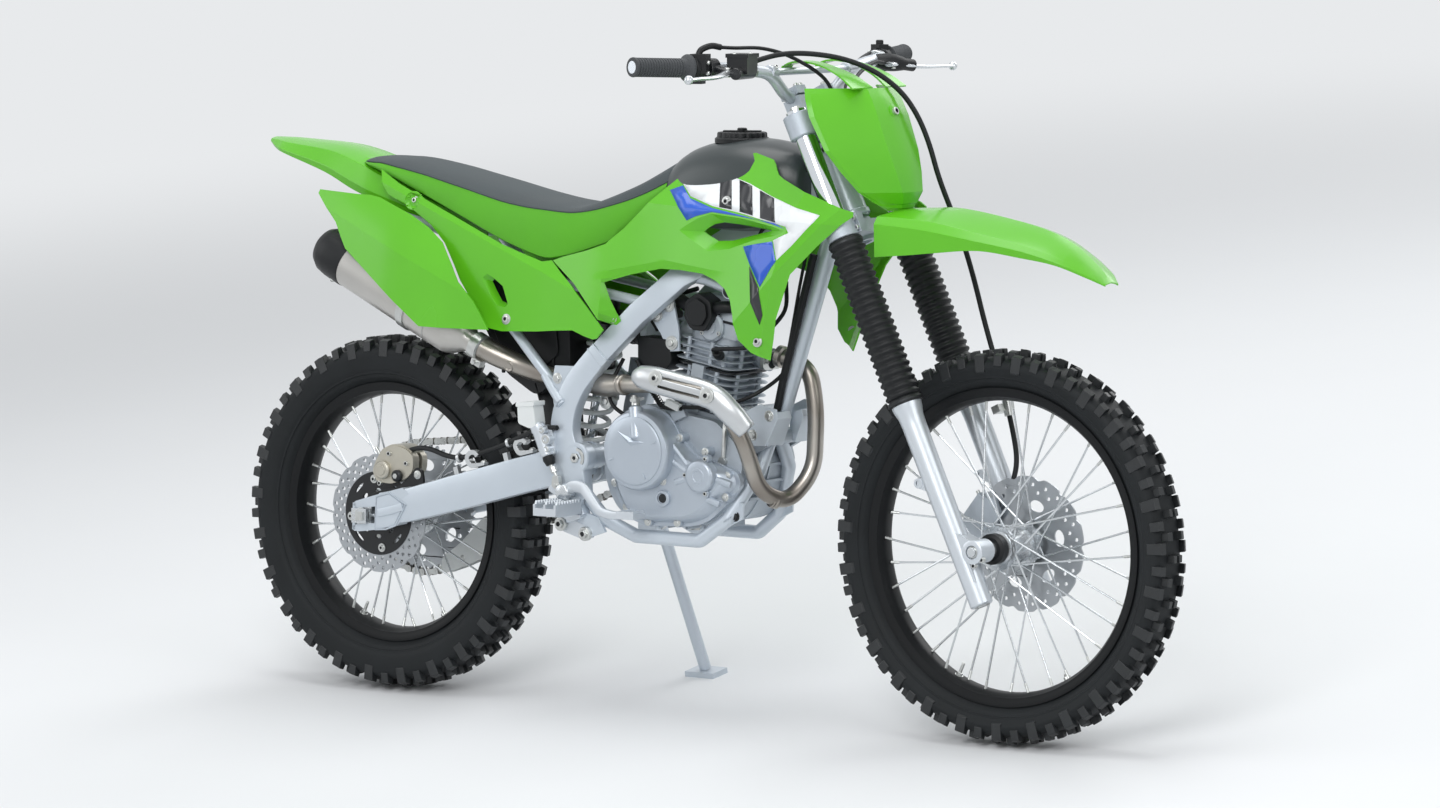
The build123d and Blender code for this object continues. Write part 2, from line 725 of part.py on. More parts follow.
def chain_space():
    """The room that the chain runs in."""
    rear_r, front_r = chain_radii()
    rear = Pos(0, rear_radius) * Circle(rear_r + chain_clearance)
    front = Pos(countershaft_x, countershaft_z) * Circle(front_r + chain_clearance)
    loop = make_hull(rear.edges() + front.edges())
    return extrude(Plane.XZ.offset(-chain_y - 11) * loop, 22)


def rear_brake_caliper():
    outline = [(60, 35), (30, 62), (28, 118), (60, 129), (134, 124), (152, 103), (150, 66), (110, 27)]
    body = plate([(x, rear_radius + z) for x, z in outline], -88, -44, 6)
    slot = cross_rod(0, rear_radius, rear_disc_y - 5, rear_disc_y + disc_thickness + 5, rear_disc_radius + 6)
    return body - slot - swingarm()


def rear_brake_hose():
    """From the master cylinder along the top of the swingarm to the caliper."""
    route = [(78, -72, 440), (96, -77, 462), (122, -85, 474), (152, -94, 473), (184, -100, 462), (220, -104, 453),
             (262, -105, 456), (312, -103, 472), (360, -106, 490), (404, -116, 506), (436, -127, 514),
             (464, -132, 515)]
    return hose("rear_brake_hose", route) - rear_brake_caliper() - rear_brake_master()


def rear_brake_master():
    body = rod((452, -132, 420), (470, -132, 550), 11) + Pos(474, -132, 560) * Box(26, 22, 40)
    return body - frame_spars() - swingarm()


def footpegs():
    body = Part()
    for side in (-1, 1):
        platform = Box(52, 84, 24) - Box(38, 68, 24)
        for step in range(-2, 3):
            platform += Pos(0, step * 14, 0) * Box(52, 3, 24)
            platform -= Pos(0, step * 14 + 7, 12) * Box(60, 6, 12)
        body += Pos(487, side * 160, 375) * platform
        body += plate([(470, 357), (470, 392), (512, 392), (512, 357)], min(side * 104, side * 122),
                      max(side * 104, side * 122), 4)
    return body - frame_cradle() - frame_spars() - engine_covers()


def brake_pedal():
    body = rod((500, -128, 410), (560, -168, 392), 7) + rod((560, -168, 392), (660, -168, 372), 7)
    return body + Pos(672, -160, 372) * Box(36, 44, 12) - engine_covers() - footpegs()


def gear_lever():
    body = rod((600, 84, 392), (600, 132, 392), 7) + rod((600, 128, 392), (660, 132, 384), 6)
    body += rod((660, 122, 384), (660, 166, 384), 8)
    return body - engine_covers() - crankcase()


# Bodywork


def fuel_tank():
    stations = [(648, 972, 890, 76, 52), (690, 1012, 872, 88, 70), (770, 1036, 866, 92, 76),
                (850, 1038, 872, 88, 72), (905, 1024, 905, 56, 54)]
    sections = []
    for x, top, bottom, half, top_half in stations:
        middle = bottom + (top - bottom) * 0.55
        points = [(top_half * 0.55, top), (top_half, top - 16), (half, middle), (half * 0.96, bottom),
                  (-half * 0.96, bottom), (-half, middle), (-top_half, top - 16), (-top_half * 0.55, top)]
        sections.append(section(x, points))
    channel = plate([(1010, 1040), (1010, 925), (760, 790), (600, 790), (600, 860), (985, 1014)], -27, 27)
    return joined(sections) - channel


def fuel_cap():
    return Pos(780, 0, 1042) * Cylinder(42, 26) - fuel_tank()


def shroud(side):
    """A shroud that stands out from the tank and carries air to the cylinder."""
    outline = [(563, 781), (592, 712), (688, 810), (736, 810), (822, 796), (863, 763), (881, 694), (932, 658),
               (953, 733), (988, 813), (1084, 905), (1100, 922), (945, 977), (906, 1009), (859, 1019),
               (751, 995), (696, 967)]
    cut = plate(outline, -300, 0)
    plan = [(540, -124), (700, -126), (860, -140), (1000, -172), (1110, -200)]
    inner = [(x, y + panel_wall) for x, y in reversed(plan)]
    wall = extrude(Plane.XY.offset(600) * make_face(Polyline(*plan, *inner, close=True)), 500)
    body = cut & (Pos(0, 0, 800) * Rot(-9, 0, 0) * Pos(0, 0, -800) * wall)
    body -= plate([(772, 876), (816, 894), (945, 887), (845, 864)], -300, 0)
    return body if side < 0 else mirror(body, about=Plane.XZ)


def seat():
    stations = [(-22, 986, 976, 84, 70), (48, 984, 955, 92, 74), (234, 948, 886, 98, 78), (372, 921, 832, 104, 82),
                (455, 911, 822, 104, 80), (560, 945, 853, 96, 72), (640, 985, 918, 84, 60)]
    sections = []
    for x, top, bottom, half, top_half in stations:
        edge = top - min(14, (top - bottom) / 2)
        points = [(top_half, top), (half, edge), (half + 3, bottom), (-half - 3, bottom), (-half, edge),
                  (-top_half, top)]
        sections.append(section(x, points))
    return joined(sections) - subframe() - fuel_tank()


def leaned_plate(outline, y_top, y_low, side):
    """A side panel whose lower edge stands further out than its upper edge."""
    tops = [z for _, z in outline]
    high, low = max(tops), min(tops)
    turn = math.degrees(math.atan2(y_top - y_low, high - low))
    panel = plate(outline, y_top, y_top + panel_wall)
    panel = Pos(0, y_top, high) * Rot(-turn, 0, 0) * Pos(0, -y_top, -high) * panel
    return panel if side < 0 else mirror(panel, about=Plane.XZ)


def side_cover(side):
    outline = [(34, 966), (80, 941), (204, 890), (325, 840), (417, 812), (493, 773), (573, 696), (551, 679),
               (503, 693), (345, 684), (305, 741), (246, 808), (214, 846), (60, 922)]
    return leaned_plate(outline, -116, -142, side) - muffler()


def number_panel(side):
    outline = [(-86, 929), (-36, 869), (-9, 822), (177, 686), (334, 687), (297, 739), (238, 804), (206, 842),
               (52, 917)]
    return leaned_plate(outline, -126, -172, side)


def rear_fender():
    stations = [(250, 872, 60, 30, 8), (26, 952, 86, 40, 10), (-117, 1003, 72, 24, 8), (-226, 1012, 52, 18, 6),
                (-292, 1012, 26, 8, 3)]
    body = joined([fender_section(x, z, half, drop, crown, panel_wall) for x, z, half, drop, crown in stations])
    return body - seat() - subframe()


# Side stand


def stand_ends():
    """The stand's pivot and its foot on the ground, which slopes because the machine leans."""
    rise = (stand_foot[1] - crown_half_width) * math.tan(math.radians(lean_angle))
    return Vector(*stand_pivot), Vector(stand_foot[0], stand_foot[1], rise)


def stand_hinge(start, end, radius):
    """A round bar along the stand's hinge, which is square to the stand deployed and folded."""
    pivot, foot = stand_ends()
    hinge = (foot - pivot).cross(Vector(*stand_folded)).normalized()
    return rod(pivot + hinge * start, pivot + hinge * end, radius)


def side_stand():
    """The prop stand, deployed, with a foot that lies flat on the ground."""
    pivot, foot = stand_ends()
    body = rod(pivot, foot + Vector(0, -3, 12), stand_tube_radius) + stand_hinge(-8, 8, 17)
    pad = Pos(foot) * Rot(lean_angle, 0, 0) * Pos(0, 0, 5) * Box(64, 46, 10)
    below = Pos(foot) * Rot(lean_angle, 0, 0) * Pos(0, 0, -50) * Box(300, 300, 100)
    return body + pad - below - stand_hinge(-40, 40, stand_pin_radius + running_gap)


front_rim = rim(wheelbase, front_radius, front_bead, front_rim_width)
rear_rim = rim(0, rear_radius, rear_bead, rear_rim_width)
nodes = {
    "frame_head": frame_head(),
    "frame_spars": frame_spars(),
    "frame_cradle": frame_cradle(),
    "subframe": subframe(),
    "crankcase": crankcase(),
    "engine_covers": engine_covers(),
    "cylinder": cylinder(),
    "cylinder_head": cylinder_head(),
    "carburettor": carburettor(),
    "airbox": airbox(),
    "exhaust_header": exhaust_header(),
    "heat_shield": heat_shield(),
    "muffler": muffler() - exhaust_header(),
    "swingarm": swingarm(),
    "rear_axle": rear_axle(),
    "rear_shock": rear_shock(),
    "chain": chain(),
    "chain_guide": chain_guide(),
    "rear_brake_caliper": rear_brake_caliper(),
    "rear_brake_hose": rear_brake_hose(),
    "rear_brake_master": rear_brake_master(),
    "footpegs": footpegs(),
    "brake_pedal": brake_pedal(),
    "gear_lever": gear_lever(),
    "fuel_tank": fuel_tank(),
    "fuel_cap": fuel_cap(),
    "shroud_right": shroud(-1),
    "shroud_left": shroud(1),
    "seat": seat(),
    "side_cover_right": side_cover(-1),
    "side_cover_left": side_cover(1),
    "number_panel_right": number_panel(-1),
    "number_panel_left": number_panel(1),
    "rear_fender": rear_fender(),
    "fork_clamps": fork_clamps(),
    "fork_tubes": fork_tubes(),
    "fork_boots": fork_boots(),
    "fork_lowers": fork_lowers(),
    "handlebar": handlebar(),
    "grips": grips(),
    "levers": levers(),
    "front_number_plate": front_number_plate(),
    "front_fender": front_fender(),
    "front_axle": front_axle(),
    "front_brake_caliper": front_brake_caliper(),
    "front_brake_hose": front_brake_hose(),
    "front_tyre": tyre(wheelbase, front_radius, front_width, front_bead, front_rim_width),
    "front_rim": front_rim,
    "front_hub": hub(wheelbase, front_radius, front_axle_radius, front_bead,
                     (front_disc_y, 34), (-56, 20), front_rim),
    "front_disc": disc(wheelbase, front_radius, front_disc_y, front_disc_radius, 30, 24),
    "rear_tyre": tyre(0, rear_radius, rear_width, rear_bead, rear_rim_width),
    "rear_rim": rear_rim,
    "rear_hub": hub(0, rear_radius, rear_axle_radius, rear_bead, (chain_y - 3.5, 50),
                    (rear_disc_y + disc_thickness, 34), rear_rim),
    "rear_disc": disc(0, rear_radius, rear_disc_y, rear_disc_radius, 30, 20),
    "rear_sprocket": sprocket(0, rear_radius, rear_teeth, 115.5, 44, 7),
    "side_stand": side_stand(),
}

lean = Rot(-lean_angle, 0, 0)
leaned = {name: lean * solid for name, solid in nodes.items()}
boxes = [solid.bounding_box() for solid in leaned.values()]
low = Vector(*[min(tuple(box.min)[axis] for box in boxes) for axis in range(3)])
high = Vector(*[max(tuple(box.max)[axis] for box in boxes) for axis in range(3)])
home = Pos(-(low.X + high.X) / 2, -(low.Y + high.Y) / 2, -low.Z)
for name, solid in leaned.items():
    placed = home * solid
    export_step(Compound(placed.solids()) if len(placed.solids()) > 1 else placed.solids()[0], f"parts/{name}.step")
print("moved by", home.position, "overall size", high - low)
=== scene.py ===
import json
import math

import bmesh
import bpy
from mathutils import Matrix, Vector
from mathutils.geometry import tessellate_polygon


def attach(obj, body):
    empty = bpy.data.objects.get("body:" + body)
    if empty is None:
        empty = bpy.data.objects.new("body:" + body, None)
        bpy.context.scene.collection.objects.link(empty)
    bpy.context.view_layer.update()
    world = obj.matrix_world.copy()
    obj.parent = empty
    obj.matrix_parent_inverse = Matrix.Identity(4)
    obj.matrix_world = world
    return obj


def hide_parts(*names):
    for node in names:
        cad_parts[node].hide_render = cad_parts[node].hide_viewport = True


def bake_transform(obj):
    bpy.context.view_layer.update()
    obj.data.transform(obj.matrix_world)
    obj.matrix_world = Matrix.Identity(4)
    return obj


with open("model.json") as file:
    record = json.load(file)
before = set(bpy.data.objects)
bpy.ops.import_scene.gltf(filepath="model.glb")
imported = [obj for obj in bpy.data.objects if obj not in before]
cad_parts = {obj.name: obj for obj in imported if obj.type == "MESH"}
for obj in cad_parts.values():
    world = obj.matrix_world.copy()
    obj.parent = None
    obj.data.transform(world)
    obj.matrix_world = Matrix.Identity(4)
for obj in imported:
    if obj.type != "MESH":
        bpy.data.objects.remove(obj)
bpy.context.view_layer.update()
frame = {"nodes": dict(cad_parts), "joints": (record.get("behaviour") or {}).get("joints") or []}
joints = {joint["name"]: joint for joint in frame["joints"]}
print("frame loaded")

# Every piece is drawn on the upright machine, in millimetres: X forward, Y to the rider's left,
# Z up, the rear axle above X = 0. bikeSpace leans it onto its side stand, where the frame holds it.
bike = {
    "rearAxleHeight": 327,
    "wheelbase": 1350,
    "rake": math.radians(25),
    "trail": 94.67,
    "forkOffset": 28,
    "axleLead": 32,
    "legSpread": 98,
}
rearHub = Vector(joints["rear_wheel"]["pos_m"])
axleLine = Vector(joints["rear_wheel"]["axis"])
leanAngle = math.atan2(-axleLine.z, axleLine.y)
bikeSpace = (Matrix.Translation(rearHub) @ Matrix.Rotation(-leanAngle, 4, "X") @ Matrix.Scale(0.001, 4)
             @ Matrix.Translation((0, 0, -bike["rearAxleHeight"])))

# The fork's own space: x ahead of the steering axis, y to the left, z up along the axis.
forkUp = Vector((-math.sin(bike["rake"]), 0, math.cos(bike["rake"])))
forkAhead = Vector((math.cos(bike["rake"]), 0, math.sin(bike["rake"])))
forkFoot = Vector((bike["wheelbase"] + bike["trail"], 0, 0))
hoseRadius = 4.7


def onFork(ahead, across, along):
    return forkFoot + forkAhead * ahead + Vector((0, across, 0)) + forkUp * along


# Shape tools: each one adds faces to a bmesh.

def spanRows(mesh, rows, finish=0, closeRows=True, closePoints=True):
    # rows are lists of bmesh vertices; a vertex shared by neighbours makes a pole
    nextRows = rows[1:] + rows[:1] if closeRows else rows[1:]
    for low, high in zip(rows, nextRows):
        count = len(low)
        for index in range(count if closePoints else count - 1):
            following = (index + 1) % count
            corners = []
            for vertex in (low[index], low[following], high[following], high[index]):
                if vertex not in corners:
                    corners.append(vertex)
            if len(corners) > 2:
                face = mesh.faces.new(corners)
                face.material_index = finish


def addRings(mesh, rings, finish=0):
    # a closed skin over rings of points, with a face over each end
    rows = [[mesh.verts.new(point) for point in ring] for ring in rings]
    spanRows(mesh, rows, finish, closeRows=False)
    for row in (rows[0], rows[-1]):
        mesh.faces.new(row).material_index = finish


def turnedFrame(axis):
    axis = Vector(axis).normalized()
    side = Vector((0, 0, 1)).cross(axis)
    if side.length < 0.2:
        side = Vector((1, 0, 0)).cross(axis)
    side.normalize()
    return axis, side, axis.cross(side)


def addTurned(mesh, outline, centre, axis=(0, 1, 0), steps=48, finish=0, ring=False):
    # outline is (radius, distance along the axis); ring joins its last point to its first
    centre = Vector(centre)
    axis, side, up = turnedFrame(axis)
    poles = {index: mesh.verts.new(centre + axis * along) for index, (radius, along) in enumerate(outline)
             if radius < 0.001}
    rows = []
    for step in range(steps):
        turn = math.tau * step / steps
        outward = side * math.cos(turn) + up * math.sin(turn)
        rows.append([poles.get(index) or mesh.verts.new(centre + axis * along + outward * radius)
                     for index, (radius, along) in enumerate(outline)])
    spanRows(mesh, rows, finish, closePoints=ring)


def addAcross(mesh, outline, x, z, steps=48, finish=0, ring=False):
    # turned about a line that runs across the machine
    addTurned(mesh, outline, (x, 0, z), (0, 1, 0), steps, finish, ring)


def pin(radius, low, high):
    return [(0, low), (radius, low), (radius, high), (0, high)]


def band(inner, outer, low, high):
    return [(inner, low), (outer, low), (outer, high), (inner, high)]


def onSide(side, near, far):
    # from near to far of the middle plane, as low and high for the right (-1) or the left (1)
    return sorted((side * near, side * far))


def addRod(mesh, start, end, radius, finish=0, steps=16, chamfer=0.0):
    start, end = Vector(start), Vector(end)
    length = (end - start).length
    if chamfer:
        outline = [(0, 0), (radius - chamfer, 0), (radius, chamfer), (radius, length - chamfer),
                   (radius - chamfer, length), (0, length)]
    else:
        outline = [(0, 0), (radius, 0), (radius, length), (0, length)]
    addTurned(mesh, outline, start, end - start, steps, finish)


def bentPath(points, bend, steps=5):
    # straight runs joined by arcs
    points = [Vector(point) for point in points]
    path = [points[0]]
    for before, corner, after in zip(points, points[1:], points[2:]):
        inward, outward = (before - corner).normalized(), (after - corner).normalized()
        reach = min(bend, (before - corner).length * 0.48, (after - corner).length * 0.48)
        start, end = corner + inward * reach, corner + outward * reach
        for step in range(steps + 1):
            share = step / steps
            path.append(start.lerp(corner, share).lerp(corner.lerp(end, share), share))
    path.append(points[-1])
    return path


def smoothPath(points, steps=6):
    points = [Vector(point) for point in points]
    ends = [points[0] * 2 - points[1]] + points + [points[-1] * 2 - points[-2]]
    path = []
    for a, b, c, d in zip(ends, ends[1:], ends[2:], ends[3:]):
        for step in range(steps):
            t = step / steps
            path.append(0.5 * (2 * b + (c - a) * t + (2 * a - 5 * b + 4 * c - d) * t * t
                               + (3 * b - a - 3 * c + d) * t * t * t))
    path.append(points[-1])
    return path


def heading(path, index):
    return (path[min(index + 1, len(path) - 1)] - path[max(index - 1, 0)]).normalized()


def addTube(mesh, path, radius, finish=0, sides=12, flat=1.0, start=None):
    # radius may be one number, or a list with one for each point of the path
    path = [Vector(point) for point in path]
    radii = radius if isinstance(radius, (list, tuple)) else [radius] * len(path)
    along = (path[1] - path[0]).normalized()
    side = Vector(start or turnedFrame(along)[1])
    rings = []
    for index, point in enumerate(path):
        ahead = heading(path, index)
        side = (side - ahead * side.dot(ahead)).normalized()
        up = ahead.cross(side)
        rings.append([point + (side * math.cos(turn) + up * math.sin(turn) * flat) * radii[index]
                      for turn in (math.tau * step / sides for step in range(sides))])
    addRings(mesh, rings, finish)


sideView = Matrix(((1, 0, 0, 0), (0, 0, 1, 0), (0, 1, 0, 0), (0, 0, 0, 1)))  # (x, z, y) to the machine


def facing(origin, normal):
    # a space whose third axis is normal and whose second is as near up as it can be
    normal = Vector(normal).normalized()
    across = Vector((0, 0, 1)).cross(normal).normalized()
    space = Matrix((across, normal.cross(across), normal)).transposed().to_4x4()
    space.translation = Vector(origin)
    return space


def addPlate(mesh, outline, low, high, finish=0, holes=(), space=sideView):
    # outline and holes are in the first two axes of the space, low to high in its third
    loops = [[Vector((u, v, 0)) for u, v in loop] for loop in (outline, *holes)]
    flat = [point for loop in loops for point in loop]
    sides = []
    for depth in (low, high):
        sides.append([mesh.verts.new(space @ Vector((point.x, point.y, depth))) for point in flat])
    if holes:
        for corners in tessellate_polygon(loops):
            for side in sides:
                mesh.faces.new([side[corner] for corner in corners]).material_index = finish
    else:
        for side in sides:
            mesh.faces.new(side).material_index = finish
    first = 0
    for loop in loops:
        count = len(loop)
        for index in range(count):
            a, b = first + index, first + (index + 1) % count
            mesh.faces.new((sides[0][a], sides[0][b], sides[1][b], sides[1][a])).material_index = finish
        first += count


def addBox(mesh, centre, size, finish=0, space=None):
    space = space or Matrix.Identity(4)
    x, y, z = (Vector(size) / 2)
    outline = [(-x, -y), (x, -y), (x, y), (-x, y)]
    addPlate(mesh, outline, -z, z, finish, space=Matrix.Translation(Vector(centre)) @ space)


def circle(u, v, radius, count=16, start=0.0):
    return [(u + radius * math.cos(start + math.tau * step / count),
             v + radius * math.sin(start + math.tau * step / count)) for step in range(count)]


def addBolt(mesh, at, axis, radius=5.0, height=5.0, finish=0, kind="flange", recessShade=None):
    # kinds: flange (hexagon on a washer), socket (round with a hexagon hole), dome (cross-head screw); the
    # hexagon hole and the cross slots take a darker finish, a painted shade
    at, axis = Vector(at), Vector(axis).normalized()
    recessShade = finish if recessShade is None else recessShade
    base = at - axis * 2
    if kind == "flange":
        addTurned(mesh, [(0, 0), (radius * 1.45, 0), (radius * 1.45, 3), (radius, 4), (0, 4)], base, axis, 20,
                  finish)
        addTurned(mesh, [(radius, 0), (radius, height + 1), (radius * 0.82, height + 2), (0, height + 2)],
                  base, axis, 6, finish)
    elif kind == "socket":
        rim = radius * 0.12
        outline = [(radius, 0), (radius, height + 2 - rim), (radius - rim, height + 2),
                   (radius * 0.58, height + 2)]
        addTurned(mesh, outline, base, axis, 20, finish)
        # the hexagon hole gets the darker finish: painted shade inside the hole
        addTurned(mesh, [(radius * 0.58, height + 2), (radius * 0.5, height * 0.45 + 2),
                         (0, height * 0.4 + 2)], base, axis, 6, recessShade)
    else:
        outline = [(radius, 0), (radius, 2.5), (radius * 0.8, height + 1.2), (radius * 0.4, height + 2),
                   (0, height + 2)]
        addTurned(mesh, outline, base, axis, 20, finish)
        aim, side, up = turnedFrame(axis)
        space = Matrix((side, up, aim)).transposed().to_4x4()
        # the cross slots are two dark bars on the dome: painted shade
        for first, second in ((0.95, 0.2), (0.2, 0.95)):
            addBox(mesh, base + axis * (height + 1.6), (radius * first, radius * second, 1.6), recessShade, space)


def addSpring(mesh, start, end, radius, wire, turns, finish=0, sides=8):
    start, end = Vector(start), Vector(end)
    side, up = turnedFrame(end - start)[1:]
    count = int(turns * 18)
    path = [start.lerp(end, step / count) + (side * math.cos(turn) + up * math.sin(turn)) * radius
            for step, turn in ((step, math.tau * turns * step / count) for step in range(count + 1))]
    addTube(mesh, path, wire, finish, sides)


def mirrored(points):
    return [Vector((point[0], -point[1], point[2])) for point in points]


def mirroredRows(mesh, rows, shared=1):
    # vertices for the rows of one half and for their mirror; the shared rows lie in the middle plane
    whole = [mirrored(row) for row in reversed(rows[shared:])] + rows
    return [[mesh.verts.new(point) for point in row] for row in whole]


def closeShell(mesh, vertices, finish=0):
    # the two ends and the open underside of a mirrored skin
    for end in (0, -1):
        mesh.faces.new([row[end] for row in vertices]).material_index = finish
    spanRows(mesh, [vertices[0], vertices[-1]], finish, closeRows=False, closePoints=False)


def linked(name, data):
    piece = bpy.data.objects.new(name, data)
    bpy.context.scene.collection.objects.link(piece)
    return piece


def smoothData(name, mesh, coats):
    # the bmesh as shaded mesh data, leant onto the stand
    data = bpy.data.meshes.new(name)
    mesh.to_mesh(data)
    mesh.free()
    data.transform(bikeSpace)
    for coat in coats:
        data.materials.append(finishes[coat])
    data.polygons.foreach_set("use_smooth", [True] * len(data.polygons))
    return data


def makePiece(name, mesh, coats, body, replaces=(), slot=None, bevel=0.0, bevelSteps=2, sharp=38, wall=0.0,
              rounding=0, sheet=False):
    # a sheet is open, and keeps the side that it was made to face
    if sheet:
        bmesh.ops.remove_doubles(mesh, verts=mesh.verts, dist=0.01)
    else:
        bmesh.ops.recalc_face_normals(mesh, faces=mesh.faces)
    data = smoothData(name, mesh, coats)
    piece = linked(name, data)
    if wall:
        thickness = piece.modifiers.new("wall", "SOLIDIFY")
        thickness.thickness = wall / 1000
        thickness.offset = -1
        thickness.use_even_offset = not sheet
        thickness.use_quality_normals = not sheet
    if bevel:
        edges = piece.modifiers.new("edges", "BEVEL")
        edges.width = bevel / 1000
        edges.segments = bevelSteps
        edges.limit_method = "ANGLE"
        edges.angle_limit = math.radians(sharp)
        edges.harden_normals = True
    else:
        data.set_sharp_from_angle(angle=math.radians(sharp))
    if rounding:
        smoother = piece.modifiers.new("rounding", "SUBSURF")
        smoother.levels = smoother.render_levels = rounding
    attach(piece, body)
    if replaces:
        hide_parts(*replaces)
    return piece


def makeHose(name, route, body, node):
    # a brake hose on one smooth line, held at both ends
    curve = bpy.data.curves.new(name, "CURVE")
    curve.dimensions = "3D"
    curve.bevel_depth = hoseRadius / 1000
    curve.bevel_resolution = 4
    curve.use_fill_caps = True
    line = curve.splines.new("NURBS")
    line.points.add(len(route) - 1)
    for point, place in zip(line.points, route):
        point.co = (*(bikeSpace @ Vector(place)), 1)
    line.order_u = 3
    line.use_endpoint_u = True
    line.resolution_u = 6
    curve.materials.append(finishes["softRubber"])
    piece = linked(name, curve)
    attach(piece, body)
    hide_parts(node)

# Finishes

def shade(red, green, blue):
    # a colour as it is seen, 0 to 255, as the shader takes it
    return tuple(((c / 255 + 0.055) / 1.055) ** 2.4 if c > 10 else c / 3294.6 for c in (red, green, blue))


coatTable = {
    "greenPlastic": {"color": (94, 184, 30), "rough": 0.26, "tint": 0.03, "tintSize": 6, "grain": 0.04,
                     "grainSize": 260, "coat": 0.22, "shine": 0.4},
    "greenVinyl": {"color": (84, 166, 30), "rough": 0.46, "tint": 0.05, "tintSize": 9, "grain": 0.22,
                   "grainSize": 700, "cells": True, "shine": 0.35},
    "blackPlastic": {"color": (21, 23, 25), "rough": 0.46, "tint": 0.12, "tintSize": 14, "grain": 0.18,
                     "grainSize": 900, "shine": 0.3},
    "tankPlastic": {"color": (54, 61, 62), "rough": 0.34, "tint": 0.10, "tintSize": 7, "grain": 0.10,
                    "grainSize": 500},
    "whitePlastic": {"color": (222, 226, 226), "rough": 0.42, "tint": 0.04, "tintSize": 12, "grain": 0.10,
                     "grainSize": 600},
    "seatVinyl": {"color": (52, 61, 64), "rough": 0.62, "tint": 0.10, "tintSize": 11, "grain": 0.55,
                  "grainSize": 620, "cells": True},
    "framePaint": {"color": (196, 205, 214), "rough": 0.38, "metal": 0.35, "tint": 0.03, "tintSize": 10,
                   "grain": 0.05, "grainSize": 1400, "coat": 0.25},
    "weldBead": {"color": (186, 195, 204), "rough": 0.45, "metal": 0.35, "tint": 0.08, "tintSize": 80,
                 "grain": 0.4, "grainSize": 420},
    # black paint; on the rear disc's bolts it is also the painted shade in their hexagon holes
    "blackPaintAndRecessShade": {"color": (18, 20, 23), "rough": 0.32, "tint": 0.15, "tintSize": 12, "grain": 0.04,
                   "grainSize": 900, "coat": 0.12, "shine": 0.4},
    "rimPaint": {"color": (15, 17, 19), "rough": 0.42, "tint": 0.12, "tintSize": 12, "grain": 0.04,
                 "grainSize": 900, "shine": 0.22},
    "castAlloy": {"color": (176, 184, 192), "rough": 0.50, "metal": 0.55, "tint": 0.07, "tintSize": 26,
                  "grain": 0.45, "grainSize": 1100},
    "coverAlloy": {"color": (178, 187, 197), "rough": 0.36, "metal": 0.50, "tint": 0.03, "tintSize": 14,
                   "grain": 0.10, "grainSize": 1300, "coat": 0.15},
    "legAlloy": {"color": (204, 210, 216), "rough": 0.34, "metal": 0.55, "tint": 0.03, "tintSize": 9,
                 "grain": 0.06, "grainSize": 900, "stretch": (1, 1, 0.15)},
    "machinedAlloy": {"color": (205, 209, 212), "rough": 0.26, "metal": 0.9, "tint": 0.05, "tintSize": 30,
                      "grain": 0.12, "grainSize": 700, "stretch": (1, 8, 1)},
    "caliperBronze": {"color": (184, 180, 168), "rough": 0.36, "metal": 0.7, "tint": 0.06, "tintSize": 30,
                      "grain": 0.3, "grainSize": 900},
    "zincBolt": {"color": (196, 198, 196), "rough": 0.30, "metal": 0.85, "tint": 0.06, "tintSize": 120,
                 "grain": 0.15, "grainSize": 1500},
    # dark bolts and clamps; the same dark finish is also the painted shade in bolt holes, cross slots and
    # pocket floors
    "darkBoltAndRecessShade": {"color": (46, 48, 50), "rough": 0.40, "metal": 0.6, "tint": 0.10, "tintSize": 120,
                 "grain": 0.2, "grainSize": 1500},
    "chrome": {"color": (226, 230, 234), "rough": 0.07, "metal": 1.0, "tint": 0.02, "tintSize": 20,
               "grain": 0.01, "grainSize": 500},
    "discSteel": {"color": (170, 174, 178), "rough": 0.30, "metal": 0.85, "tint": 0.05, "tintSize": 20,
                  "grain": 0.12, "grainSize": 800},
    "chainSteel": {"color": (120, 118, 112), "rough": 0.38, "metal": 0.85, "tint": 0.15, "tintSize": 90,
                   "grain": 0.3, "grainSize": 1200},
    "shieldSteel": {"color": (200, 203, 205), "rough": 0.30, "metal": 0.75, "tint": 0.03, "tintSize": 20,
                    "grain": 0.10, "grainSize": 900, "stretch": (0.2, 1, 1)},
    "mufflerSteel": {"color": (186, 184, 180), "rough": 0.34, "metal": 0.8, "tint": 0.05, "tintSize": 8,
                     "grain": 0.12, "grainSize": 800, "stretch": (1, 1, 0.2)},
    "softRubber": {"color": (22, 24, 26), "rough": 0.50, "tint": 0.12, "tintSize": 20, "grain": 0.15,
                   "grainSize": 1000, "shine": 0.3},
    "gripRubber": {"color": (58, 61, 64), "rough": 0.70, "tint": 0.10, "tintSize": 20, "grain": 0.3,
                   "grainSize": 1000},
    "tyreRubber": {"color": (27, 30, 32), "rough": 0.60, "tint": 0.16, "tintSize": 16, "grain": 0.35,
                   "grainSize": 700, "shine": 0.22},
    "treadRubber": {"color": (28, 31, 33), "rough": 0.44, "tint": 0.2, "tintSize": 30, "grain": 0.35,
                    "grainSize": 900, "shine": 0.5},
    "decalWhite": {"color": (236, 240, 242), "rough": 0.28, "tint": 0.02, "tintSize": 8, "grain": 0.03,
                   "grainSize": 400, "coat": 0.3},
    "decalBlue": {"color": (26, 86, 196), "rough": 0.28, "tint": 0.04, "tintSize": 8, "grain": 0.03,
                  "grainSize": 400, "coat": 0.3},
    "decalDark": {"color": (24, 27, 32), "rough": 0.30, "tint": 0.08, "tintSize": 8, "grain": 0.03,
                  "grainSize": 400, "coat": 0.3},
}


def addNode(tree, kind, values=(), **settings):
    # a shader node with its settings and the (input, value) pairs that differ from the defaults
    node = tree.nodes.new("ShaderNode" + kind)
    for setting, value in settings.items():
        setattr(node, setting, value)
    for entry, value in values:
        node.inputs[entry].default_value = value
    return node


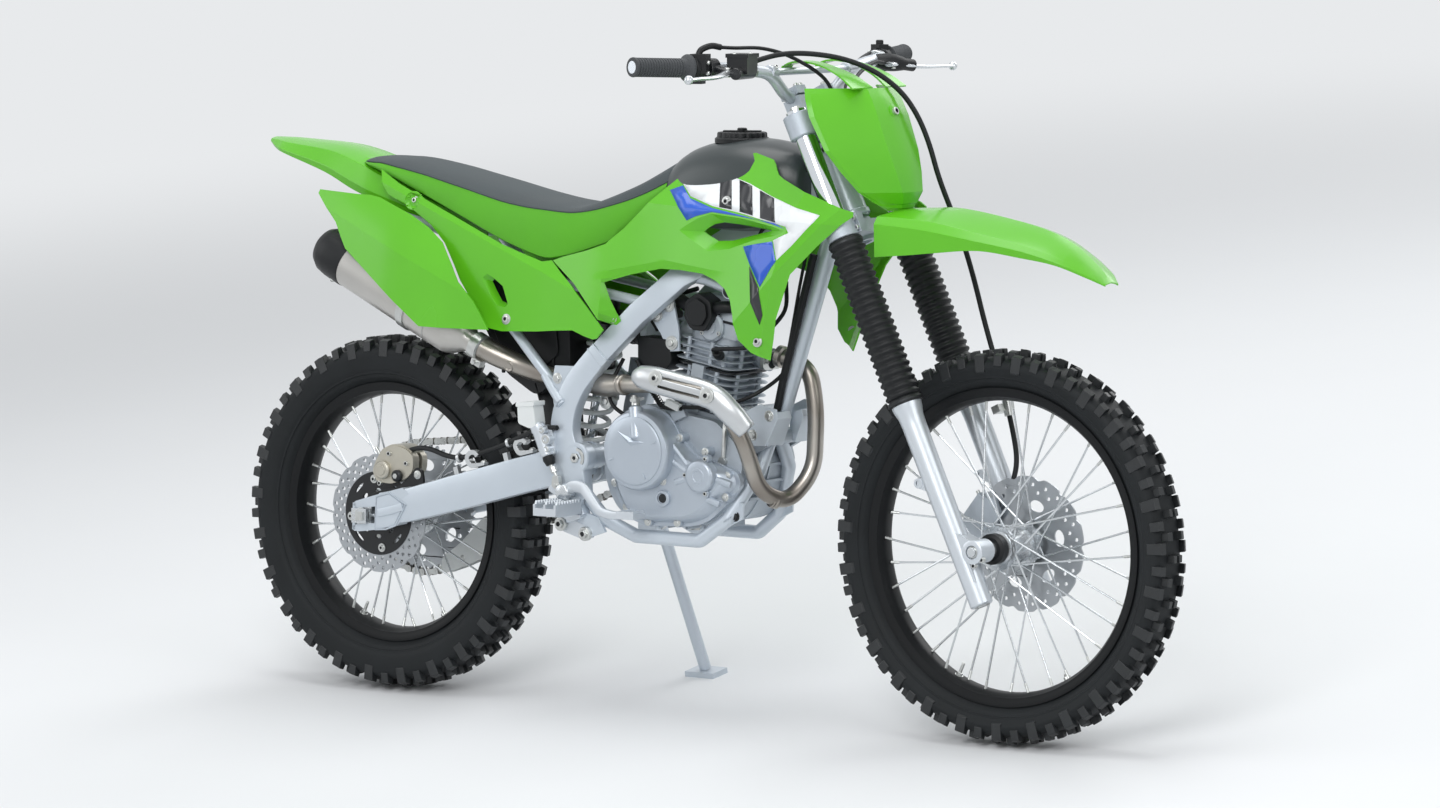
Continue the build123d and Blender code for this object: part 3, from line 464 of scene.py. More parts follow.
def join(tree, *links):
    # each link is a node, its output, a second node and its input
    for source, output, target, entry in links:
        tree.links.new(source.outputs[output], target.inputs[entry])


def addRamp(tree, *stops):
    ramp = addNode(tree, "ValToRGB")
    for element, (position, color) in zip(ramp.color_ramp.elements, stops):
        element.position = position
        element.color = (*color, 1)
    return ramp


def nodeMaterial(name):
    material = bpy.data.materials.new(name)
    material.use_nodes = True
    return material, material.node_tree, material.node_tree.nodes["Principled BSDF"]


def makeFinish(name, color, rough, metal=0.0, tint=0.05, tintSize=20, grain=0.1, grainSize=800, coat=0.0,
               shine=0.5, cells=False, stretch=(1, 1, 1)):
    material, tree, shader = nodeMaterial(name)
    for entry, value in (("Metallic", metal), ("Specular IOR Level", shine), ("Coat Weight", coat),
                         ("Coat Roughness", 0.12)):
        shader.inputs[entry].default_value = value
    place = addNode(tree, "TexCoord")
    stretched = addNode(tree, "Mapping", [("Scale", stretch)])
    # slow change of colour over the piece, and the gloss changes a little with it
    clouds = addNode(tree, "TexNoise", [("Scale", tintSize), ("Detail", 4)])
    seen = shade(*color)
    tone = addRamp(tree, (0.3, [c * (1 - tint) for c in seen]), (0.7, [min(1, c * (1 + tint)) for c in seen]))
    sheen = addNode(tree, "MapRange", [("To Min", rough * 0.88), ("To Max", rough * 1.12)])
    if cells:  # pebbled grain
        fine, height = addNode(tree, "TexVoronoi", feature="SMOOTH_F1"), "Distance"
    else:
        fine, height = addNode(tree, "TexNoise", [("Detail", 3)]), "Fac"
    fine.inputs["Scale"].default_value = grainSize
    relief = addNode(tree, "Bump", [("Strength", grain), ("Distance", 0.0008)])
    join(tree, (place, "Object", stretched, "Vector"), (stretched, "Vector", clouds, "Vector"),
         (clouds, "Fac", tone, "Fac"), (tone, "Color", shader, "Base Color"), (clouds, "Fac", sheen, "Value"),
         (sheen, "Result", shader, "Roughness"), (stretched, "Vector", fine, "Vector"),
         (fine, height, relief, "Height"), (relief, "Normal", shader, "Normal"))
    return material


def makeHeatTintAndReflectionSteel():
    # the header pipe: bright steel with brown patches, partly heat tint and partly a painted reflection
    material = makeFinish("heatTintAndReflectionSteel", (152, 147, 140), 0.30, metal=0.85, tint=0.1, tintSize=14, grain=0.12)
    tree = material.node_tree
    bands = addNode(tree, "TexNoise", [("Scale", 9), ("Detail", 2)])
    # brown patches from noise: heat tint together with a painted reflection
    tintAndReflection = addRamp(tree, (0.35, shade(122, 113, 105)), (0.62, shade(182, 178, 171)))
    mix = addNode(tree, "Mix", data_type="RGBA")
    mix.inputs["Factor"].default_value = 0.6
    join(tree, (tree.nodes["Texture Coordinate"], "Object", bands, "Vector"), (bands, "Fac", tintAndReflection, "Fac"),
         (tree.nodes["Color Ramp"], "Color", mix, "A"), (tintAndReflection, "Color", mix, "B"),
         (mix, "Result", tree.nodes["Principled BSDF"], "Base Color"))
    return material


finishes = {}
for coatName, values in coatTable.items():
    finishes[coatName] = makeFinish(coatName, **values)
finishes["heatTintAndReflectionSteel"] = makeHeatTintAndReflectionSteel()


def coatNode(node, coat):
    # gives a carried-over solid of the frame its finish
    solid = frame["nodes"][node]
    if not solid.material_slots:
        solid.data.materials.append(None)
    for material in solid.material_slots:
        material.material = finishes[coat]


print("finishes made")

# Studio: pale floor, soft lamps and the camera

studio = {
    "paleGround": (232, 234, 236),
    "worldLight": 0.46,
    "fadeStart": 3.2,  # metres from the machine, where the floor turns into the plain background
    "fadeEnd": 6.5,
    "lamps": {  # place in metres, size, power
        "keyLamp": ((1.6, -4.2, 4.0), 3.0, 128),
        "topLamp": ((-0.2, 0.4, 4.6), 3.6, 98),
        "fillLamp": ((-4.0, -2.2, 2.6), 3.0, 34),
        "farLamp": ((0.8, 4.4, 3.2), 3.4, 70),
        "noseLamp": ((4.6, -0.8, 2.4), 2.6, 34),
    },
    "cameraTurn": math.radians(35.673),
    "cameraRise": math.radians(5.004),
    "cameraDistance": 11963.75,
    "cameraTarget": (730.21, 0, 562.24),
    "lens": 167.0,
}


def seenRays(tree):
    # 1 where the eye, a mirror or glass sees the surface, 0 where it only lights the machine
    rays = addNode(tree, "LightPath")
    total = rays.outputs["Is Camera Ray"]
    for kind in ("Is Glossy Ray", "Is Transmission Ray"):
        either = addNode(tree, "Math", operation="MAXIMUM")
        tree.links.new(total, either.inputs[0])
        tree.links.new(rays.outputs[kind], either.inputs[1])
        total = either.outputs[0]
    return total


def makeFloor():
    mesh = bmesh.new()
    bmesh.ops.create_circle(mesh, cap_ends=True, radius=40, segments=96)
    data = bpy.data.meshes.new("studioFloor")
    mesh.to_mesh(data)
    mesh.free()
    floor = linked("studioFloor", data)
    material, tree, shader = nodeMaterial("studioFloorPaint")
    shader.inputs["Roughness"].default_value = 0.9
    shader.inputs["Specular IOR Level"].default_value = 0.05
    pale = shade(*studio["paleGround"])
    place = addNode(tree, "TexCoord")
    speckle = addNode(tree, "TexNoise", [("Scale", 3)])
    tone = addRamp(tree, (0, [c * 0.985 for c in pale]), (1, pale))
    # far from the machine the floor becomes the background's plain colour
    reach = addNode(tree, "VectorMath", operation="LENGTH")
    fade = addNode(tree, "MapRange", [("From Min", studio["fadeStart"]), ("From Max", studio["fadeEnd"])],
                   interpolation_type="SMOOTHSTEP")
    plain = addNode(tree, "Emission", [("Color", (*pale, 1))])
    seen = addNode(tree, "Math", operation="MULTIPLY")
    mix = addNode(tree, "MixShader")
    tree.links.new(seenRays(tree), seen.inputs[1])
    join(tree, (place, "Object", speckle, "Vector"), (speckle, "Fac", tone, "Fac"),
         (tone, "Color", shader, "Base Color"), (place, "Object", reach, 0), (reach, "Value", fade, "Value"),
         (fade, "Result", seen, 0), (seen, 0, mix, "Fac"), (shader, "BSDF", mix, 1),
         (plain, "Emission", mix, 2), (mix, "Shader", tree.nodes["Material Output"], "Surface"))
    data.materials.append(material)


def makeWorld():
    world = bpy.data.worlds.new("studioWorld")
    bpy.context.scene.world = world
    world.use_nodes = True
    tree = world.node_tree
    tree.nodes.clear()
    output = addNode(tree, "OutputWorld")
    mix = addNode(tree, "MixShader")
    tree.links.new(seenRays(tree), mix.inputs["Fac"])
    for index, strength in ((1, studio["worldLight"]), (2, 1.0)):
        sky = addNode(tree, "Background", [("Color", (*shade(*studio["paleGround"]), 1)),
                                           ("Strength", strength)])
        tree.links.new(sky.outputs["Background"], mix.inputs[index])
    tree.links.new(mix.outputs["Shader"], output.inputs["Surface"])


def makeLamps():
    for name, (place, size, power) in studio["lamps"].items():
        light = bpy.data.lights.new(name, "AREA")
        light.shape = "DISK"
        light.size = size
        light.energy = power
        lamp = linked(name, light)
        lamp.location = place
        lamp.rotation_euler = (Vector((0, 0, 0.55)) - lamp.location).to_track_quat("-Z", "Y").to_euler()


def makeCamera():
    turn, rise = studio["cameraTurn"], studio["cameraRise"]
    target = Vector(studio["cameraTarget"])
    away = Vector((math.sin(turn) * math.cos(rise), -math.cos(turn) * math.cos(rise), math.sin(rise)))
    place = bikeSpace @ (target + away * studio["cameraDistance"])
    back = (place - bikeSpace @ target).normalized()
    up = (bikeSpace.to_3x3() @ Vector((0, 0, 1))).normalized()
    across = up.cross(back).normalized()
    lens = bpy.data.cameras.new("studioCamera")
    lens.lens = studio["lens"]
    lens.sensor_width = 36
    lens.clip_end = 200
    camera = linked("studioCamera", lens)
    pose = Matrix((across, back.cross(across), back)).transposed().to_4x4()
    pose.translation = place
    camera.matrix_world = pose
    bpy.context.scene.camera = camera


bpy.context.scene.view_settings.view_transform = "Standard"
makeFloor()
makeWorld()
makeLamps()
makeCamera()
print("studio ready")

# Wheels

wheels = {
    "front": {"x": 1350, "radius": 345, "width": 84, "bead": 266.7, "rimWidth": 52, "rows": 54, "lug": 13,
              "body": "front_wheel"},
    "rear": {"x": 0, "radius": 327, "width": 104, "bead": 228.6, "rimWidth": 64, "rows": 50, "lug": 14,
             "body": "rear_wheel"},
    "spokes": 36,
    "spokeRadius": 1.9,
    "flangeRadius": 33,
    "flangeY": 37,
    "spokeLead": math.radians(62),
}


def crownDrop(across, half):
    # how far the tread curves in from the crown at a distance across it
    share = abs(across) / half
    return 0 if share < 0.42 else 17 * ((share - 0.42) / 0.58) ** 1.7


def addLug(mesh, wheel, angle, length, low, high, height, sunk=4, taper=1.2):
    # a tread block over the crown: low and high are its edges across the tyre
    radius, half = wheel["radius"], wheel["width"] / 2
    corners = []
    for top in (False, True):
        inset = taper if top else 0
        for across, sign in ((low + inset, -1), (high - inset, -1), (high - inset, 1), (low + inset, 1)):
            reach = radius - crownDrop(across, half) - (0 if top else height + sunk)
            turn = angle + sign * (length / 2 - inset) / radius
            corners.append(mesh.verts.new((wheel["x"] + reach * math.cos(turn), across,
                                           radius + reach * math.sin(turn))))
    for side in ((0, 1, 2, 3), (4, 5, 6, 7), (0, 1, 5, 4), (1, 2, 6, 5), (2, 3, 7, 6), (3, 0, 4, 7)):
        mesh.faces.new([corners[index] for index in side])


def addShoulderLug(mesh, wheel, angle, length, side, long):
    # a block on the tyre's shoulder, reaching down its side
    radius, half = wheel["radius"], wheel["width"] / 2
    depth = 37 if long else 27
    profile = [(radius - 20, half * 0.66), (radius - crownDrop(half * 0.72, half) + 0.5, half * 0.70),
               (radius - 9, half * 0.955), (radius - depth, half * 1.0), (radius - depth - 3, half * 0.90)]
    ends = []
    for sign in (-1, 1):
        ring = []
        for index, (reach, across) in enumerate(profile):
            trim = 1.6 if index in (1, 2, 3) else 0
            turn = angle + sign * (length / 2 - trim) / radius
            ring.append((wheel["x"] + reach * math.cos(turn), side * across, radius + reach * math.sin(turn)))
        ends.append(ring)
    addRings(mesh, ends)


def makeTyre(name):
    wheel = wheels[name]
    radius, half, top = wheel["radius"], wheel["width"] / 2, wheel["bead"] + 12
    seat = wheel["rimWidth"] / 2 - 3.5
    base = radius - wheel["lug"]
    carcass = bmesh.new()
    side = [(top + 1, seat), (top + 3, seat + 1.6), (top + 10, half * 0.74), (top + 16, half * 0.80),
            (top + 17.5, half * 0.855), (top + 20.5, half * 0.86), (top + 22, half * 0.875),
            (top + 30, half * 0.945), (base - 18, half * 0.975), (base - 8, half * 0.90),
            (base - 2, half * 0.66), (base, half * 0.3)]
    outline = [(x.x, x.y) for x in smoothPath([(r, y, 0) for r, y in side], 3)]
    outline += [(r, -y) for r, y in reversed(outline)]
    outline += [(top - 8, -seat + 1), (top - 8, seat - 1)]
    addAcross(carcass, outline, wheel["x"], radius, steps=144, ring=True)
    makePiece(name + "TyreCarcass", carcass, ["tyreRubber"], wheel["body"], [name + "_tyre"], "tyre_rubber",
              sharp=50)
    lugs = bmesh.new()
    step = math.tau / wheel["rows"]
    wide = wheel["width"] / 84
    for row in range(wheel["rows"]):
        angle = row * step
        long = row % 2 == 0
        for hand in (-1, 1):
            addShoulderLug(lugs, wheel, angle + step * 0.5, 24 if long else 20, hand, long)
            if long:
                edges = sorted((hand * 2.2 * wide, hand * 14.5 * wide))
                addLug(lugs, wheel, angle, 15, *edges, wheel["lug"])
            else:
                edges = sorted((hand * 12.5 * wide, hand * 26.5 * wide))
                addLug(lugs, wheel, angle, 17, *edges, wheel["lug"])
        if not long and name == "rear":
            addLug(lugs, wheel, angle, 15, -8, 8, wheel["lug"])
    makePiece(name + "TyreLugs", lugs, ["treadRubber"], wheel["body"], slot="tyre_rubber", bevel=0.9,
              bevelSteps=1)


def spokeEnds(wheel, index):
    side = 1 if index % 2 else -1
    lead = wheels["spokeLead"] * (1 if (index // 2) % 2 else -1)
    rimAngle = math.tau * index / wheels["spokes"]
    hubAngle = rimAngle + lead
    hubR, rimR = wheels["flangeRadius"], wheel["bead"] - 10
    centre = Vector((wheel["x"], 0, wheel["radius"]))
    outside = 1 if (index // 2) % 2 else 0  # heads alternate between the two faces of the flange
    start = centre + Vector((hubR * math.cos(hubAngle), side * (wheels["flangeY"] - 2.5 + outside * 5),
                             hubR * math.sin(hubAngle)))
    end = centre + Vector((rimR * math.cos(rimAngle), side * 6, rimR * math.sin(rimAngle)))
    return start, end


def makeRim(name):
    wheel = wheels[name]
    bead, half = wheel["bead"], wheel["rimWidth"] / 2
    top = bead + 12
    ring = bmesh.new()
    outline = [(top, half), (top + 0.6, half - 1.2), (top - 0.6, half - 3.5), (bead + 2, half - 4.5),
               (bead + 1, half * 0.62), (bead - 5, half * 0.36), (bead - 5, -half * 0.36),
               (bead + 1, -half * 0.62), (bead + 2, 4.5 - half), (top - 0.6, 3.5 - half),
               (top + 0.6, 1.2 - half), (top, -half), (top - 5, -half - 0.1), (bead + 3, -half + 1.5),
               (bead - 3.5, -half + 2.5), (bead - 6, -half * 0.74), (bead - 9.5, -half * 0.55),
               (bead - 11.5, -half * 0.28), (bead - 11.5, half * 0.28), (bead - 9.5, half * 0.55),
               (bead - 6, half * 0.74), (bead - 3.5, half - 2.5), (bead + 3, half - 1.5),
               (top - 5, half + 0.1)]
    addAcross(ring, outline, wheel["x"], wheel["radius"], steps=144, ring=True)
    makePiece(name + "RimRing", ring, ["rimPaint"], wheel["body"], [name + "_rim"], "black_paint", sharp=30)
    fittings = bmesh.new()
    for index in range(wheels["spokes"]):
        start, end = spokeEnds(wheel, index)
        aim = (end - start).normalized()
        addTurned(fittings, [(0, -2), (3.6, -2), (3.6, 1.5), (2.5, 4), (2.5, 17), (1.9, 18.5), (0, 18.5)],
                  end + aim * 1, -aim, 10)
    low = math.radians(-90)
    for turn, height, radius in ((low - 0.42, 26, 3.2), (low + 0.50, 12, 4.0)):  # tube valve and bead lock
        outward = Vector((math.cos(turn), 0, math.sin(turn)))
        foot = Vector((wheel["x"], 0, wheel["radius"])) + outward * (bead - 10)
        addTurned(fittings, [(0, 0), (8, 0), (8, 2), (radius + 2.6, 2.2)], foot, -outward, 16)
        addTurned(fittings, [(radius + 2.6, 2.2), (radius + 2.6, 7), (radius, 7.5)], foot, -outward, 6)
        outline = [(radius, 7)] + [(radius - 0.5 * (mark % 2), 8 + mark * (height - 8) / 12)
                                   for mark in range(12)]
        addTurned(fittings, outline + [(radius - 1, height), (0, height)], foot, -outward, 14)
    makePiece(name + "RimFittings", fittings, ["zincBolt"], wheel["body"], slot="bright_alloy", sharp=40)


def makeSpokes(name):
    wheel = wheels[name]
    mesh = bmesh.new()
    for index in range(wheels["spokes"]):
        start, end = spokeEnds(wheel, index)
        side = 1 if index % 2 else -1
        inboard = Vector((0, -side * (6 if (index // 2) % 2 else -6), 0))
        path = [start + inboard, start, start.lerp(end, 0.03), end]
        addTube(mesh, path, wheels["spokeRadius"], sides=8)
        addTurned(mesh, [(0, -1.6), (3.4, -1.2), (3.4, 0.6), (1.9, 1.4)], start - inboard * 0.05, inboard, 10)
    return mesh


hubs = {
    "front": {"barrel": 21, "flange": 39, "sealRadius": 27},
    "rear": {"barrel": 25, "flange": 42},
    "flangeWidth": 6,
}


def addSpokeFlange(mesh, x, z, side, radius, inner):
    edge, width = wheels["flangeY"], hubs["flangeWidth"]
    outline = [(inner, side * (edge - width)), (radius - 9, side * (edge - width * 0.5)),
               (radius, side * (edge - width * 0.5)), (radius, side * (edge + width * 0.5)),
               (radius - 10, side * (edge + width * 0.5)), (radius - 12, side * (edge + 1)),
               (inner, side * (edge + 2))]
    addAcross(mesh, outline, x, z, steps=72)


def makeFrontHub():
    parts, wheel = hubs["front"], wheels["front"]
    mesh = makeSpokes("front")
    x, z, body = wheel["x"], wheel["radius"], parts["barrel"]
    barrel = [(11, -54), (20, -54), (20, -44), (31, -42), (31, -38), (body + 2, -30), (body, -18), (body, 14),
              (body + 5, 24), (30, 33), (30, 44), (34, 45), (34, 52), (24, 52), (24, 58), (11, 58)]
    addAcross(mesh, barrel, x, z, steps=72)
    for side in (-1, 1):
        addSpokeFlange(mesh, x, z, side, parts["flange"], body)
    makePiece("frontHubBody", mesh, ["machinedAlloy"], "front_wheel", ["front_hub"], "bright_alloy", sharp=30)
    seal = bmesh.new()
    outline = [(12, -62), (21, -62), (parts["sealRadius"], -58), (parts["sealRadius"], -44), (12, -44)]
    addAcross(seal, outline, x, z, steps=56)
    makePiece("frontHubSeal", seal, ["blackPlastic"], "front_wheel", slot="black_plastic", sharp=30)


def discHoles(rows, windows):
    holes = []
    for radius, count, size, start in rows:
        for index in range(count):
            turn = start + math.tau * index / count
            holes.append(circle(radius * math.cos(turn), radius * math.sin(turn), size, 12))
    for radius, count, width, height, start in windows:
        for index in range(count):
            turn = start + math.tau * index / count
            loop = []
            for u, v in circle(0, 0, 1, 18):
                spread = turn + u * width / radius
                reach = radius + v * height
                loop.append((reach * math.cos(spread), reach * math.sin(spread)))
            holes.append(loop)
    return holes


def wheelSpace(wheel):
    # the side view with the wheel's middle as its origin
    return Matrix.Translation((wheel["x"], 0, wheel["radius"])) @ sideView


def wavedEdge(radius, waves, depth):
    points = []
    for turn in (math.tau * step / 144 for step in range(144)):
        reach = radius - depth * max(0, math.cos(waves * turn)) ** 2.5
        points.append((reach * math.cos(turn), reach * math.sin(turn)))
    return points


def makeFrontDisc():
    wheel = wheels["front"]
    mesh = bmesh.new()
    holes = [circle(0, 0, 31, 40)] + discHoles(
        [(106, 24, 3.4, 0.13), (94, 24, 3.4, 0.0)], [(71, 6, 15, 10, 0.2)])
    addPlate(mesh, wavedEdge(119.4, 14, 5.5), 52, 55.5, holes=holes, space=wheelSpace(wheel))
    for x, z in circle(wheel["x"], wheel["radius"], 42, 6, 0.2 + math.radians(30)):
        addBolt(mesh, (x, 55.4, z), (0, 1, 0), 5.5, 4, 1, "socket")
    makePiece("frontDiscRing", mesh, ["discSteel", "darkBoltAndRecessShade"], "front_wheel", ["front_disc"], "disc_steel",
              bevel=0.5, bevelSteps=1)


def makeRearHub():
    parts, wheel = hubs["rear"], wheels["rear"]
    mesh = makeSpokes("rear")
    x, z, body = wheel["x"], wheel["radius"], parts["barrel"]
    barrel = [(12, -62), (30, -62), (34, -60), (34, -50), (body + 3, -44), (body, -26), (body, 24),
              (body + 5, 32), (body + 8, 44), (50, 52), (50, 68), (42, 68), (42, 74), (12, 74)]
    addAcross(mesh, barrel, x, z, steps=72)
    for side in (-1, 1):
        addSpokeFlange(mesh, x, z, side, parts["flange"], body)
    makePiece("rearHubBody", mesh, ["machinedAlloy"], "rear_wheel", ["rear_hub"], "bright_alloy", sharp=30)


def makeRearDisc():
    wheel = wheels["rear"]
    mesh = bmesh.new()
    holes = [circle(0, 0, 76, 64)] + discHoles([(101.5, 28, 3.7, 0.1), (92, 28, 3.7, 0.21),
                                                (83.5, 28, 3.4, 0.1)], [])
    addPlate(mesh, wavedEdge(109.6, 14, 4.0), -65, -61.5, holes=holes, space=wheelSpace(wheel))
    carrier = [circle(0, 0, 31, 40)] + discHoles([], [(64, 4, 13, 3.2, math.radians(45)), (43, 8, 7, 4, 0)])
    addPlate(mesh, circle(0, 0, 77.5, 72), -66.5, -62.5, 1, carrier, wheelSpace(wheel))
    for x, z in circle(wheel["x"], wheel["radius"], 64, 4, math.radians(8)):
        addTurned(mesh, pin(8, 0, 2), (x, -66.4, z), (0, -1, 0), 20, 2)
        # zinc bolts whose hexagon holes take the black paint as a painted shade
        addBolt(mesh, (x, -68.4, z), (0, -1, 0), 4.6, 3, 2, "socket", 1)
    makePiece("rearDiscRing", mesh, ["discSteel", "blackPaintAndRecessShade", "zincBolt"], "rear_wheel", ["rear_disc"],
              "disc_steel", bevel=0.5, bevelSteps=1)


def makeRearSprocket():
    wheel, teeth, tip = wheels["rear"], 48, 120
    outline = []
    for index in range(teeth):
        for share, reach in ((-0.30, tip - 8.5), (-0.12, tip - 1.5), (0, tip), (0.12, tip - 1.5),
                             (0.30, tip - 8.5)):
            turn = math.tau * (index + share) / teeth
            outline.append((reach * math.cos(turn), reach * math.sin(turn)))
    mesh = bmesh.new()
    holes = [circle(0, 0, 45, 40)] + discHoles([(98, 12, 4.5, 0.0)], [(80, 6, 15, 11, 0.4)])
    addPlate(mesh, outline, 68.6, 75.4, holes=holes, space=wheelSpace(wheel))
    for x, z in circle(wheel["x"], wheel["radius"], 58, 6, 0.4 + math.radians(30)):
        addBolt(mesh, (x, 75.4, z), (0, 1, 0), 6, 6, 1)
    makePiece("rearSprocketRing", mesh, ["discSteel", "zincBolt"], "rear_wheel", ["rear_sprocket"],
              "bright_alloy", bevel=0.5, bevelSteps=1)


for wheelName in ("front", "rear"):
    makeTyre(wheelName)
    makeRim(wheelName)
makeFrontHub()
makeFrontDisc()
makeRearHub()
makeRearDisc()
makeRearSprocket()
print("wheels made")

# Moulded panels: a flat outline in X and Z, cut along its folds, then laid on a surface that gives Y

def alongLine(point, line):
    # how far a point lies to the left of a line, looking from the line's first point to its second
    (x0, z0), (x1, z1) = line
    length = math.hypot(x1 - x0, z1 - z0)
    return ((x1 - x0) * (point[1] - z0) - (z1 - z0) * (point[0] - x0)) / length


def nearLoop(point, loop):
    best = 1e9
    for (x0, z0), (x1, z1) in zip(loop, loop[1:] + loop[:1]):
        dx, dz = x1 - x0, z1 - z0
        share = ((point[0] - x0) * dx + (point[1] - z0) * dz) / (dx * dx + dz * dz)
        share = min(1, max(0, share))
        best = min(best, math.hypot(point[0] - x0 - dx * share, point[1] - z0 - dz * share))
    return best


def insideLoop(point, loop):
    inside = False
    for (x0, z0), (x1, z1) in zip(loop, loop[1:] + loop[:1]):
        if (z0 > point[1]) != (z1 > point[1]) and point[0] < x0 + (x1 - x0) * (point[1] - z0) / (z1 - z0):
            inside = not inside
    return inside


def between(value, table):
    # the table's second value at a place between its first ones
    if value <= table[0][0]:
        return table[0][1]
    for (low, first), (high, second) in zip(table, table[1:]):
        if value <= high:
            return first + (second - first) * (value - low) / (high - low)
    return table[-1][1]


def roundedLoop(points, reach, steps=3):
    # an outline with its corners rounded
    loop = []
    for index, corner in enumerate(points):
        before, after = Vector(points[index - 1]), Vector(points[(index + 1) % len(points)])
        corner = Vector(corner)
        cut = min(reach, (before - corner).length * 0.4, (after - corner).length * 0.4)
        start, end = corner + (before - corner).normalized() * cut, corner + (after
                - corner).normalized() * cut
        for step in range(steps + 1):
            share = step / steps
            loop.append(tuple(start.lerp(corner, share).lerp(corner.lerp(end, share), share)))
    return loop


def addPanel(mesh, outline, surface, side, dishes=(), folds=()):
    # dishes are (rim, floor, depth, open): the surface sinks from the rim loop to the floor loop
    sheet = bmesh.new()
    loops = [[Vector((x, z, 0)) for x, z in loop] for loop in (outline, *[dish[0] for dish in dishes])]
    flat = [sheet.verts.new((point.x, 0, point.y)) for loop in loops for point in loop]
    if len(loops) > 1:
        for corners in tessellate_polygon(loops):
            sheet.faces.new([flat[corner] for corner in corners])
    else:
        sheet.faces.new(flat)
    first = len(outline)
    for rim, floor, depth, open in dishes:
        inner = [sheet.verts.new((x, 0, z)) for x, z in floor]
        outer = flat[first:first + len(rim)]
        first += len(rim)
        for index in range(len(rim)):
            following = (index + 1) % len(rim)
            sheet.faces.new((outer[index], outer[following], inner[following], inner[index]))
        if not open:
            sheet.faces.new(inner)
    cuts = [((x0, 0, z0), (z1 - z0, 0, x0 - x1)) for (x0, z0), (x1, z1) in folds]
    xs, zs, grid = [point[0] for point in outline], [point[1] for point in outline], 24
    cuts += [((x, 0, 0), (1, 0, 0)) for x in range(int(min(xs)) + grid, int(max(xs)), grid)]
    cuts += [((0, 0, z), (0, 0, 1)) for z in range(int(min(zs)) + grid, int(max(zs)), grid)]
    for place, normal in cuts:
        bmesh.ops.bisect_plane(sheet, geom=sheet.verts[:] + sheet.edges[:] + sheet.faces[:], dist=0.01,
                               plane_co=place, plane_no=Vector(normal).normalized())
    for vertex in sheet.verts:
        spot = (vertex.co.x, vertex.co.z)
        sunk = 0
        for rim, floor, depth, open in dishes:
            if insideLoop(spot, floor) and not open:
                sunk = depth
            elif insideLoop(spot, rim) or nearLoop(spot, rim) < 0.01:
                fromRim, fromFloor = nearLoop(spot, rim), nearLoop(spot, floor)
                sunk = depth * fromRim / max(0.001, fromRim + fromFloor)
        vertex.co.y = side * (surface(*spot) - sunk)
    sheet.normal_update()
    if sum(face.normal.y * face.calc_area() for face in sheet.faces) * side < 0:
        bmesh.ops.reverse_faces(sheet, faces=sheet.faces)
    copies = {vertex: mesh.verts.new(vertex.co) for vertex in sheet.verts}
    for face in sheet.faces:
        mesh.faces.new([copies[vertex] for vertex in face.verts])
    sheet.free()


def addScrew(mesh, x, z, surface, side, radius=7.5):
    at = (x, side * (surface(x, z) - 1), z)
    axis = Vector((0, side, 0.16))
    addTurned(mesh, [(0, 0), (radius * 1.3, 0), (radius * 1.3, 1.5), (radius, 2.2), (0, 2.2)], at, axis, 24)
    addBolt(mesh, Vector(at) + axis.normalized() * 2, axis, radius * 0.8, 3.5, 0, "socket", 1)


def makePanelPiece(name, mesh, coats, body, sharp=12, **options):
    makePiece(name, mesh, coats, body, sharp=sharp, bevelSteps=3, sheet=True, **options)


# Shrouds

shroud = {
    "outline": [(440, 815), (496, 776), (536, 738), (576, 699), (592, 712), (574, 748), (563, 781),
                (622, 797), (688, 810), (736, 810), (790, 806), (822, 796), (848, 782), (863, 763),
                (873, 735), (881, 694), (902, 672), (932, 658), (943, 695), (953, 733), (988, 813),
                (1036, 862), (1084, 905), (1098, 916), (1098, 924), (1020, 952), (945, 977), (930, 984),
                (922, 992), (914, 1002), (906, 1009), (859, 1019), (806, 1011), (751, 995), (722, 983),
                (696, 967), (664, 939), (633, 909), (600, 878), (561, 849), (520, 836), (462, 822)],
    "plan": [(440, 114), (540, 124), (640, 127), (700, 131), (860, 149), (1000, 175), (1110, 201)],
    "shoulder": ((640, 926), (1098, 900)),
    "front": ((1070, 922), (958, 808)),
    "fang": ((964, 822), (912, 655)),
    "hem": ((560, 800), (700, 826)),
    "hemRear": ((700, 826), (830, 812)),
    "ventRim": [(728, 880), (752, 868), (800, 846), (850, 852), (905, 869), (960, 880), (982, 889),
                (950, 896), (880, 906), (800, 912), (768, 902), (745, 890)],
    "ventFloor": [(776, 879), (786, 874), (812, 864), (846, 866), (880, 874), (915, 882), (938, 887),
                  (915, 890), (870, 894), (822, 897), (800, 893), (786, 886)],
    "ventDepth": 16,
    "hemTurn": 0.30,
    "wall": 3.0,
    "lean": math.tan(math.radians(9)),
}


def shroudSurface(x, z):
    # distance of the shroud from the machine's middle plane
    y = between(x, shroud["plan"]) - (z - 800) * shroud["lean"]
    y -= max(0, alongLine((x, z), shroud["shoulder"])) * 0.42
    y -= max(0, alongLine((x, z), shroud["front"])) * 0.55
    y -= max(0, alongLine((x, z), shroud["fang"])) * 0.45
    if 560 < x < 700:  # the lower edge turns inwards
        y += min(0, alongLine((x, z), shroud["hem"])) * shroud["hemTurn"]
    elif 700 <= x < 845:
        fade = min(1, (845 - x) / 60)
        y += min(0, alongLine((x, z), shroud["hemRear"])) * shroud["hemTurn"] * fade
    return y


